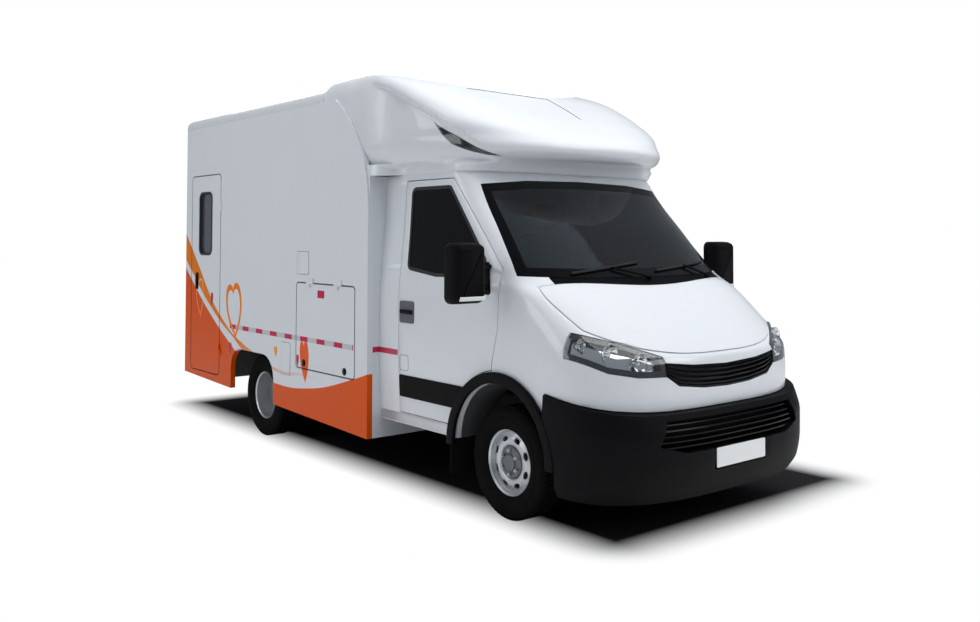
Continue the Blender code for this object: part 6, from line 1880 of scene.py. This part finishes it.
@dataclass
class Wheels:
    """Tyres with their tread and the front and rear rims."""

    radius: float = 0.352
    tyre_width: float = 0.195
    front_x: float = 0.85
    rear_x: float = 0.7825
    twin: float = 0.225
    blocks: int = 64
    crown: float = 0.343
    grooves: Tuple[float, ...] = (0.045, 0.0, -0.045)
    rows: Tuple[Point2, ...] = ((0.059, 0.0235), (0.0225, 0.033), (-0.0225, 0.033), (-0.059, 0.0235))
    slots: int = 8
    slot: Point3 = (0.0155, 0.027, 0.148)
    nuts: int = 6

    def build(self) -> None:
        """Build all six tyres and four rims."""
        for side in Side:
            word, sign = side.word, side.sign
            centre = (sign * self.front_x, FRONT_AXLE_Y, self.radius)
            self._tyre("tyre_front_" + word, centre, sign, "wheel_front_" + word, ["tyre_front_" + word])
            self._front_rim(side, centre)
            for place, shift in (("outer", 1), ("inner", -1)):
                spot = (sign * (self.rear_x + shift * self.twin / 2), REAR_AXLE_Y, self.radius)
                node = "tyre_rear_%s_%s" % (word, place)
                self._tyre(node, spot, sign, "wheel_rear_" + word, [node])
            self._rear_rim(side)

    def _tyre(self, name: str, centre: Point3, sign: int, body: str, nodes: Sequence[str]) -> None:
        """One tyre with grooves, side ribs and tread blocks."""
        half = self.tyre_width / 2
        crown, deep = self.crown, self.crown - 0.004
        profile: List[Point2] = [(radius, half * share) for radius, share in (*SIDEWALL, (crown, 0.76))]
        for middle in self.grooves:
            profile += [(crown, middle + 0.005), (deep, middle + 0.003), (deep, middle - 0.003)]
            profile += [(crown, middle - 0.005)]
        mirror = [(r, -o) for r, o in reversed(profile[:11])]
        tyre = turned(name + "_carcass", profile + mirror, centre, sign, 96)
        tyre = shaded(tyre, 40)
        seated(tyre, body, RUBBER.make(), nodes)
        bm = bmesh.new()
        for index, (middle, wide) in enumerate(self.rows):
            length = 2 * math.pi * self.radius / self.blocks * 0.78
            skew = 0.35 if index % 2 else -0.35
            grow = Matrix.Diagonal((0.014, length, wide, 1))
            lean = Matrix.Shear("XZ", 4, (0, 0))
            lean[1][2] = skew
            place = Matrix.Translation((-0.0075, 0.004 * (index % 2), middle)) @ lean @ grow
            bmesh.ops.create_cube(bm, size=1, matrix=place)
        block = add_mesh(name + "_tread", bm)
        turn = Matrix.Rotation(math.radians(90) * sign, 4, "Y")
        place = Matrix.Translation(centre) @ turn
        tread = repeated(block, Layout.ROUND, self.blocks, self.radius, RUBBER.make(), place)
        seated(tread, body, RUBBER.make())

    def _flanges(self, centre: float) -> List[Point2]:
        """The outside of a rim from its outboard lip inwards."""
        lower = [(radius, -out) for radius, out in reversed(RIM_LIP)]
        return [(radius, centre + out) for radius, out in (*RIM_LIP, *lower)]

    def _front_rim(self, side: Side, centre: Point3) -> None:
        """A front rim: slotted disc, raised grey centre and nuts."""
        word, sign = side.word, side.sign
        body = "wheel_front_" + word
        profile = [*FRONT_FACE, *self._flanges(0), *FRONT_BACK]
        rim = turned("rim_disc_front_" + word, profile, centre, sign, 96)
        long, wide, out = self.slot
        for slot in range(self.slots):
            turn = Matrix.Rotation(2 * math.pi * (slot + 0.5) / self.slots, 4, "X")
            hub = Matrix.Translation(centre) @ turn @ Matrix.Translation((0, 0, out))
            bm = bmesh.new()
            bmesh.ops.create_cone(bm, cap_ends=True, segments=28, radius1=1, radius2=1, depth=0.3)
            bm.transform(Matrix.Diagonal((long, wide, 1, 1)))
            bm.transform(Matrix.Rotation(math.radians(90), 4, "Y"))
            bm.transform(hub)
            cut(rim, add_mesh("rim_slot_%s_%d" % (word, slot), bm, True))
        rim = softened(rim, 0.0015, 2, 45)
        seated(rim, body, SILVER.make(), ["rim_front_" + word])
        cap = turned("hub_cap_front_" + word, FRONT_HUB, centre, sign, 64)
        seated(shaded(cap, 30), body, DULL_GREY.make())
        self._nuts("nuts_front_" + word, centre, sign, 0.074, 0.056, body)

    def _nuts(self, name: str, centre: Point3, sign: int, radius: float, offset: float, body: str) -> None:
        """A ring of wheel nuts."""
        bm = bmesh.new()
        bmesh.ops.create_cone(bm, cap_ends=True, segments=6, radius1=0.0125, radius2=0.0115, depth=0.016)
        bmesh.ops.translate(bm, verts=bm.verts, vec=(0, 0, 0.008))
        top = bmesh.new()
        bmesh.ops.create_cone(top, cap_ends=True, segments=12, radius1=0.007, radius2=0.006, depth=0.010)
        bmesh.ops.translate(top, verts=top.verts, vec=(0, 0, 0.020))
        mesh = bpy.data.meshes.new("stud")
        top.to_mesh(mesh)
        bm.from_mesh(mesh)
        top.free()
        nut = add_mesh(name, bm)
        turn = Matrix.Rotation(math.radians(90) * sign, 4, "Y")
        shift = Matrix.Translation((centre[0] + sign * offset, centre[1], centre[2]))
        ring = repeated(nut, Layout.ROUND, self.nuts, radius, STEEL.make(), shift @ turn)
        seated(ring, body, STEEL.make())

    def _rear_rim(self, side: Side) -> None:
        """A rear twin: a deep dish outside and its mate inside."""
        word, sign = side.word, side.sign
        body = "wheel_rear_" + word
        middle = (sign * self.rear_x, REAR_AXLE_Y, self.radius)
        centre = self.twin / 2
        profile = [*DISH_FACE, *self._flanges(centre), *DISH_BACK]
        dish = turned("rim_dish_outer_" + word, profile, middle, sign, 96)
        seated(softened(dish, 0.0015, 2, 45), body, SILVER.make(), ["rims_rear_" + word])
        inner = [*MATE_FACE, *self._flanges(-centre), *MATE_BACK]
        mate = turned("rim_dish_inner_" + word, inner, middle, sign, 72)
        seated(shaded(mate, 40), body, SILVER.make())
        hub = shaded(turned("hub_rear_" + word, REAR_HUB, middle, sign, 48), 30)
        seated(hub, body, DULL_GREY.make())
        self._nuts("nuts_rear_" + word, middle, sign, 0.103, 0.024, body)


@dataclass
class Mirrors:
    """Two-armed outside mirrors."""

    x: float = 1.235
    half: float = 0.122
    front: float = -0.035
    depth: float = 0.13
    low: float = 1.350
    high: float = 1.722
    shell: Tuple[Point2, ...] = (
        (0.0, 0.050), (0.06, 0.030), (0.18, 0.014), (0.40, 0.003), (0.70, 0.0), (0.96, 0.0), (1.0, 0.003),
    )
    arms: Tuple[float, ...] = (1.44, 1.56)
    foot: Tuple[Point2, ...] = ((0.09, 1.39), (0.19, 1.40), (0.17, 1.60), (0.13, 1.60))
    foot_ends: Point2 = (0.955, 1.004)

    def build(self) -> None:
        """Build both mirrors."""
        for side in Side:
            word, sign = side.word, side.sign
            body = "cab_door_" + word
            x = sign * self.x
            outline = front_patch(x, self.half, self.low, self.high, 0.045)
            rings = []
            for share, inset in self.shell:
                y = along(self.front) + self.depth * share
                rings.append([(px, y, pz) for px, pz in grown(outline, -inset)])
            head = loft("mirror_head_" + word, rings, False)
            seated(shaded(head, 45), body, BLACK_TRIM.make(), ["mirror_" + word])
            back = along(self.front) + self.depth
            ends = (back - 0.001, back + 0.004)
            face = plate("mirror_glass_" + word, Plane.FRONT, [grown(outline, -0.014)], *ends)
            seated(softened(face, 0.001, 1), body, CHROME.make())
            for index, height in enumerate(self.arms):
                bends = [
                    (sign * 0.972, along(0.12), height + 0.01),
                    (sign * 1.02, along(0.115), height),
                    (sign * 1.08, along(0.075), height),
                    (sign * (self.x - 0.06), along(0.03), height),
                ]
                arm = tube("mirror_arm_%s_%d" % (word, index), bends, 0.016)
                seated(shaded(arm, 50), body, BLACK_TRIM.make())
            outline = rounded(side_outline(list(self.foot)), 0.02)
            ends = [sign * end for end in self.foot_ends]
            base = plate("mirror_base_" + word, Plane.SIDE, [outline], *ends)
            seated(softened(base, 0.004, 2), body, BLACK_TRIM.make())
            low = (x - sign * 0.10, along(self.front) - 0.001, 1.372)
            high = (x + sign * 0.09, along(self.front) + 0.02, 1.398)
            lens = box("mirror_indicator_" + word, low, high)
            seated(softened(lens, 0.003, 2), body, BLANK_PLATE.make())


@dataclass
class LoadBody:
    """The load body's flat panels, with the seals, latches and lids on them."""

    door: Patch = (4.000, 4.690, 0.460, 2.340)
    hatch: Patch = (1.560, 2.480, 0.700, 1.385)
    face: float = -BODY_HALF_WIDTH
    window: Patch = (4.205, 4.495, 1.585, 2.170)
    handle: Patch = (4.515, 4.575, 1.24, 1.40)
    lever: Patch = (4.530, 4.560, 1.27, 1.37)
    latches: Point2 = (1.705, 2.345)
    latch_height: float = 0.745
    latch: Tuple[Point2, ...] = (
        (0.0, 0.010), (0.016, 0.010), (0.018, 0.008), (0.0185, 0.0045), (0.027, 0.0045), (0.029, 0.002),
        (0.029, -0.006), (0.0, -0.006),
    )
    lids: Tuple[Tuple[str, Patch], ...] = (
        ("service_lid", (2.275, 2.475, 1.454, 1.635)),
        ("lower_flap", (2.580, 2.750, 0.620, 0.880)),
    )
    crown: Tuple[Point2, ...] = (
        (1.06, 2.80), (1.06, 2.852), (0.55, 2.872), (0.0, 2.880), (-0.55, 2.872), (-1.06, 2.852),
        (-1.06, 2.80),
    )

    def build(self) -> None:
        """Paint the panels and add what sits on them."""
        side = Livery("side_livery", Panel.SIDE).make()
        rear = Livery("rear_livery", Panel.REAR).make()
        for node in ("side_wall_left", "side_wall_right", "entry_door", "locker_hatch"):
            repaint(node, side)
        repaint("rear_wall", rear)
        repaint("front_wall", FrontWallPaint().make())
        repaint("roof_panel", WHITE.make())
        repaint("rear_bumper", REAR_ORANGE.make())
        repaint("entry_window", BODY_GLASS.make())
        repaint("rear_window", BODY_GLASS.make())
        repaint("body_floor", FLOORING.make())
        self._frame_line("hatch_seal", self.hatch, 0.03, "locker_hatch", 0.004)
        self._frame_line("door_seal", self.door, 0.05, "entry_door", 0.003)
        self._window_frame()
        self._latches()
        self._lids()
        self._rear_lamps()

    def _rear_lamps(self) -> None:
        """Tail lamps, a third brake lamp, marker lamps and a blank plate on the rear wall."""
        rear = BODY_REAR_Y - 0.002
        ends = (BODY_REAR_Y - 0.030, BODY_REAR_Y - 0.004)
        header = plate("rear_header", Plane.FRONT, [list(self.crown)], *ends)
        seated(softened(header, 0.001, 1), "vehicle", WHITE.make())
        for side in Side:
            for name, inner, outer, low, high, depth, edge, segments, finish in (
                ("tail_brake_", 0.925, 1.035, 0.99, 1.13, 0.020, 0.006, 3, RED_LENS),
                ("tail_turn_", 0.925, 1.035, 0.905, 0.982, 0.020, 0.006, 3, AMBER_LENS),
                ("tail_reverse_", 0.925, 1.035, 0.845, 0.897, 0.020, 0.006, 3, BLANK_PLATE),
                ("tail_case_", 0.915, 1.045, 0.835, 1.140, 0.010, 0.004, 2, BLACK_TRIM),
                ("top_marker_", 0.90, 1.00, 2.56, 2.59, 0.014, 0.004, 2, RED_LENS),
            ):
                ends = (side.sign * inner, rear, low), (side.sign * outer, rear + depth, high)
                lamp = box(name + side.word, *ends)
                seated(softened(lamp, edge, segments), "vehicle", finish.make())
        third = box("third_brake", (-0.17, rear, 2.55), (0.17, rear + 0.016, 2.585))
        seated(softened(third, 0.005, 2), "vehicle", RED_LENS.make())
        outline = front_patch(0, 0.235, 0.90, 1.014, 0.008)
        holder = plate("rear_holder", Plane.FRONT, [grown(outline, 0.006)], rear, rear + 0.006)
        seated(softened(holder, 0.001, 1), "vehicle", BLACK_TRIM.make())
        blank = plate("rear_blank_plate", Plane.FRONT, [outline], rear + 0.004, rear + 0.009)
        seated(softened(blank, 0.0006, 1), "vehicle", BLANK_PLATE.make())

    def _frame_line(self, name: str, sizes: Patch, radius: float, body: str, width: float) -> None:
        """A rubber line round a door or hatch, just inside its edge."""
        outline = side_patch(sizes, radius)
        rings = [grown(outline, -0.0005), grown(outline, -0.0005 - width)]
        seal = plate(name, Plane.SIDE, rings, self.face - 0.0015, self.face + 0.010)
        seated(shaded(seal), body, SEAL.make())

    def _window_frame(self) -> None:
        """The rubber frame of the entry door's window."""
        window = side_patch(self.window, 0.06)
        rings = [grown(window, 0.012), grown(window, -0.010)]
        trim = plate("entry_window_seal", Plane.SIDE, rings, self.face - 0.004, self.face + 0.028)
        seated(softened(trim, 0.0015, 2), "entry_door", SEAL.make())

    def _latches(self) -> None:
        """The hatch's round latches and the entry door's handle."""
        for index, distance in enumerate(self.latches):
            place = (self.face, along(distance), self.latch_height)
            latch = turned("hatch_latch_%d" % index, list(self.latch), place, -1, 36)
            seated(shaded(latch, 30), "locker_hatch", GLOSS_BLACK.make())
        outline = side_patch(self.handle, 0.015)
        base = plate("entry_handle_plate", Plane.SIDE, [outline], self.face - 0.006, self.face + 0.001)
        seated(softened(base, 0.002, 2), "entry_door", BLACK_TRIM.make())
        front, back, low, high = self.lever
        ends = (self.face - 0.016, along(front), low), (self.face - 0.005, along(back), high)
        lever = box("entry_handle", *ends)
        seated(softened(lever, 0.004, 3), "entry_door", GLOSS_BLACK.make())

    def _lids(self) -> None:
        """The service hatch and the small flap on the right wall, as flush lids with a fine gap."""
        for name, sizes in self.lids:
            outline = side_patch(sizes, 0.012)
            lid = plate(name, Plane.SIDE, [outline], self.face - 0.003, self.face + 0.002)
            seated(softened(lid, 0.0015, 2), "vehicle", Livery("side_livery", Panel.SIDE).make())
            rings = [grown(outline, 0.003), grown(outline, 0.0002)]
            line = plate(name + "_gap", Plane.SIDE, rings, self.face - 0.0006, self.face + 0.001)
            seated(shaded(line), "vehicle", SEAL.make())


@dataclass
class Interior:
    """The chairs, dashboard and steering wheel that show through the glass."""

    def build(self) -> None:
        """Dress the inside."""
        repaint("dashboard", MOULDED.make())
        repaint("steering_wheel", BLACK_TRIM.make())
        for node, x in (("driver_chair", 0.42), ("passenger_chair", -0.42)):
            self._chair(node, x)

    def _chair(self, node: str, x: float) -> None:
        """A padded chair: cushion, back and head rest over its base."""
        parts = (
            ("cushion", (x - 0.24, along(0.58), 1.10), (x + 0.24, along(1.06), 1.235)),
            ("backrest", (x - 0.235, along(1.02), 1.20), (x + 0.235, along(1.15), 1.80)),
            ("head_rest", (x - 0.13, along(1.135), 1.815), (x + 0.13, along(1.225), 2.015)),
        )
        for index, (word, low, high) in enumerate(parts):
            pad = box(node + "_" + word, low, high)
            if word == "backrest":
                for vertex in pad.data.vertices:
                    vertex.co.y += (vertex.co.z - 1.20) / 0.60 * 0.075
            pad = puffed(pad)
            seated(pad, "vehicle", CLOTH.make(), [node] if index == 0 else [])
        base = box(node + "_base", (x - 0.20, along(0.64), 0.8005), (x + 0.20, along(1.08), 1.095))
        seated(softened(base, 0.02, 3), "vehicle", MOULDED.make())


def puffed(pad: bpy.types.Object, cap: float = 0.018) -> bpy.types.Object:
    """Swell a box into a padded form by a cloth simulation under pressure.

    Args:
        pad: The plain box, a little smaller than the pad.
        cap: How far a point may move.

    Returns:
        The swollen pad as a plain mesh.
    """
    bevel = pad.modifiers.new("edges", "BEVEL")
    bevel.width = 0.030
    bevel.segments = 3
    pad = settled(pad)
    remesh = pad.modifiers.new("even", "REMESH")
    remesh.mode = "VOXEL"
    remesh.voxel_size = 0.012
    pad = settled(pad)
    rest = [vertex.co.copy() for vertex in pad.data.vertices]
    cloth = pad.modifiers.new("swell", "CLOTH")
    cloth.settings.use_pressure = True
    cloth.settings.uniform_pressure_force = 4
    cloth.settings.effector_weights.gravity = 0
    cloth.settings.quality = 4
    cloth.collision_settings.use_collision = False
    cloth.point_cache.frame_end = 20
    scene = bpy.context.scene
    for number in range(1, 21):
        scene.frame_set(number)
    graph = bpy.context.evaluated_depsgraph_get()
    swollen = pad.evaluated_get(graph).to_mesh()
    moved = [vertex.co.copy() for vertex in swollen.vertices]
    pad.evaluated_get(graph).to_mesh_clear()
    pad.modifiers.remove(cloth)
    scene.frame_set(1)
    for vertex, start, end in zip(pad.data.vertices, rest, moved):
        way = end - start
        if way.length > cap:
            way *= cap / way.length
        vertex.co = start + way
    smooth = pad.modifiers.new("smooth", "SUBSURF")
    smooth.levels = smooth.render_levels = 1
    return shaded(settled(pad), 80)


@dataclass
class Underbody:
    """Finishes of the chassis and running gear."""

    finishes: Tuple[Tuple[str, Finish], ...] = (
        ("chassis_frame", CHASSIS),
        ("engine_block", CAST),
        ("exhaust", GALVANISED),
        ("front_suspension", CHASSIS),
        ("fuel_tank", MOULDED),
        ("knuckle_left", CAST),
        ("knuckle_right", CAST),
        ("propeller_shaft", CAST),
        ("rear_axle", CHASSIS),
    )

    def build(self) -> None:
        """Paint each node."""
        for node, finish in self.finishes:
            repaint(node, finish.make())


@dataclass(frozen=True)
class Lamp:
    """A soft area lamp that looks at a place."""

    name: str
    place: Point3
    target: Point3
    size: Point2
    power: float
    mirrored: bool = True

    def build(self) -> None:
        """Hang the lamp."""
        light = bpy.data.lights.new(self.name, "AREA")
        light.shape = "RECTANGLE"
        light.size, light.size_y = self.size
        light.energy = self.power
        obj = bpy.data.objects.new(self.name, light)
        bpy.context.scene.collection.objects.link(obj)
        obj.location = self.place
        obj.rotation_euler = (Vector(self.target) - Vector(self.place)).to_track_quat("-Z", "Y").to_euler()
        obj.visible_glossy = self.mirrored


@dataclass
class Studio:
    """The pale floor, the soft lights and the camera."""

    lens: float = 35.02
    shift: Point2 = (-0.0229, -0.1088)
    lamps: Tuple[Lamp, ...] = (
        Lamp("lamp_top", (0.5, -1.5, 7.5), (0, 0, 1), (7, 9), 690, False),
        Lamp("lamp_front", (3.5, -9.0, 5.0), (0, -2, 1.2), (5, 4), 150),
        Lamp("lamp_side", (-9.0, 2.5, 4.0), (0, 1.5, 1.2), (7, 4), 150),
        Lamp("lamp_back", (5, 9, 6), (0, 1, 1), (8, 5), 150),
    )
    sky: Tuple[float, float, float, float] = (0.74, 0.80, 0.88, 1)
    sky_strength: float = 0.36

    eye: Point3 = (-4.7609, -6.5150, 1.768)
    yaw: float = 40.0522
    pitch: float = -1.8661
    roll: float = 0.0933
    # Painted shadow: a dark colour painted on the floor in a rounded rectangle round the vehicle, with its
    # middle, half sizes, reach, fall and colour
    shadow_middle: Point2 = (0.40, 0.35)
    shadow_half: Point2 = (1.10, 2.97)
    shadow_reach: float = 0.42
    shadow_fall: float = 1.2
    shadow: Colour = (0.02, 0.02, 0.022)
    floor: Colour = (0.9, 0.9, 0.9)
    floor_half: float = 40.0

    def build(self) -> None:
        """Build the floor, lights and camera."""
        self._floor()
        self._lights()
        self._camera()

    def _floor(self) -> None:
        """A pale floor that the camera sees as white, but for a shadow painted into its colour round the
        vehicle.
        """
        half = self.floor_half
        floor = box("studio_floor", (-half, -half, -0.02), (half, half, -0.0005))
        made = bpy.data.materials.new("studio_floor")
        made.use_nodes = True
        nodes = Nodes(made.node_tree)
        shader = made.node_tree.nodes["Principled BSDF"]
        shader.inputs["Roughness"].default_value = 0.9
        shader.inputs["Specular IOR Level"].default_value = 0.0
        _, across, back, _ = nodes.place()
        # Painted shadow: the floor's colour goes from dark at the vehicle to pale over the reach, and the
        # same mask fades the white glow in for the camera
        square: object = 0.0
        for value, middle, half in zip((across, back), self.shadow_middle, self.shadow_half):
            aside = nodes.math("ABSOLUTE", nodes.math("SUBTRACT", value, middle))
            off = nodes.math("MAXIMUM", nodes.math("SUBTRACT", aside, half), 0.0)
            square = nodes.math("MULTIPLY_ADD", off, off, square)
        away = nodes.math("DIVIDE", nodes.math("SQRT", square), self.shadow_reach, clamp=True)
        soft = nodes.math("POWER", away, self.shadow_fall)
        nodes.feed(nodes.mix(soft, self.shadow, self.floor), shader.inputs["Base Color"])
        glow = nodes.new("ShaderNodeEmission")
        glow.inputs["Strength"].default_value = 1.0
        rays = nodes.new("ShaderNodeLightPath")
        share = nodes.math("MULTIPLY", soft, rays.outputs["Is Camera Ray"])
        blend = nodes.new("ShaderNodeMixShader")
        nodes.feed(share, blend.inputs[0])
        nodes.feed(shader.outputs[0], blend.inputs[1])
        nodes.feed(glow.outputs[0], blend.inputs[2])
        nodes.feed(blend.outputs[0], made.node_tree.nodes["Material Output"].inputs[0])
        dress(floor, made)
        world = bpy.data.worlds.new("studio")
        bpy.context.scene.world = world
        world.use_nodes = True
        nodes = Nodes(world.node_tree)
        sky = world.node_tree.nodes["Background"]
        sky.inputs["Color"].default_value = self.sky
        sky.inputs["Strength"].default_value = self.sky_strength
        white = nodes.new("ShaderNodeBackground")
        white.inputs["Color"].default_value = (1, 1, 1, 1)
        rays = nodes.new("ShaderNodeLightPath")
        mix = nodes.new("ShaderNodeMixShader")
        nodes.feed(rays.outputs["Is Camera Ray"], mix.inputs[0])
        nodes.feed(sky.outputs[0], mix.inputs[1])
        nodes.feed(white.outputs[0], mix.inputs[2])
        nodes.feed(mix.outputs[0], world.node_tree.nodes["World Output"].inputs[0])

    def _lights(self) -> None:
        """Large soft lamps above and in front."""
        for lamp in self.lamps:
            lamp.build()

    def _camera(self) -> None:
        """The camera at the photograph's viewing angle."""
        yaw, pitch, roll = (math.radians(value) for value in (self.yaw, self.pitch, self.roll))
        ahead = Vector((math.sin(yaw) * math.cos(pitch), math.cos(yaw) * math.cos(pitch), -math.sin(pitch)))
        right = Vector((math.cos(yaw), -math.sin(yaw), 0))
        up = right.cross(ahead)
        turned_right = right * math.cos(roll) + up * math.sin(roll)
        turned_up = up * math.cos(roll) - right * math.sin(roll)
        data = bpy.data.cameras.new("camera")
        data.sensor_width = 36
        data.lens = self.lens
        data.shift_x, data.shift_y = self.shift
        obj = bpy.data.objects.new("camera", data)
        bpy.context.scene.collection.objects.link(obj)
        turn = Matrix((turned_right, turned_up, -ahead)).transposed().to_4x4()
        obj.matrix_world = Matrix.Translation(self.eye) @ turn
        bpy.context.scene.camera = obj


def clear_cutters() -> None:
    """Remove what only cut the pieces."""
    for obj in CUTTERS:
        bpy.data.objects.remove(obj, do_unlink=True)
    CUTTERS.clear()


def main() -> None:
    """Build the vehicle's pieces in order, then the studio."""
    logging.basicConfig(level=logging.INFO, format="%(name)s: %(message)s")
    bpy.context.scene.view_settings.view_transform = "Standard"
    for part in (Cab, Headlamps, Nose, ArchTrims, Fairing, Wheels, Mirrors, LoadBody, Interior, Underbody):
        part().build()
        clear_cutters()
    Studio().build()


if __name__ == "__main__":
    main()
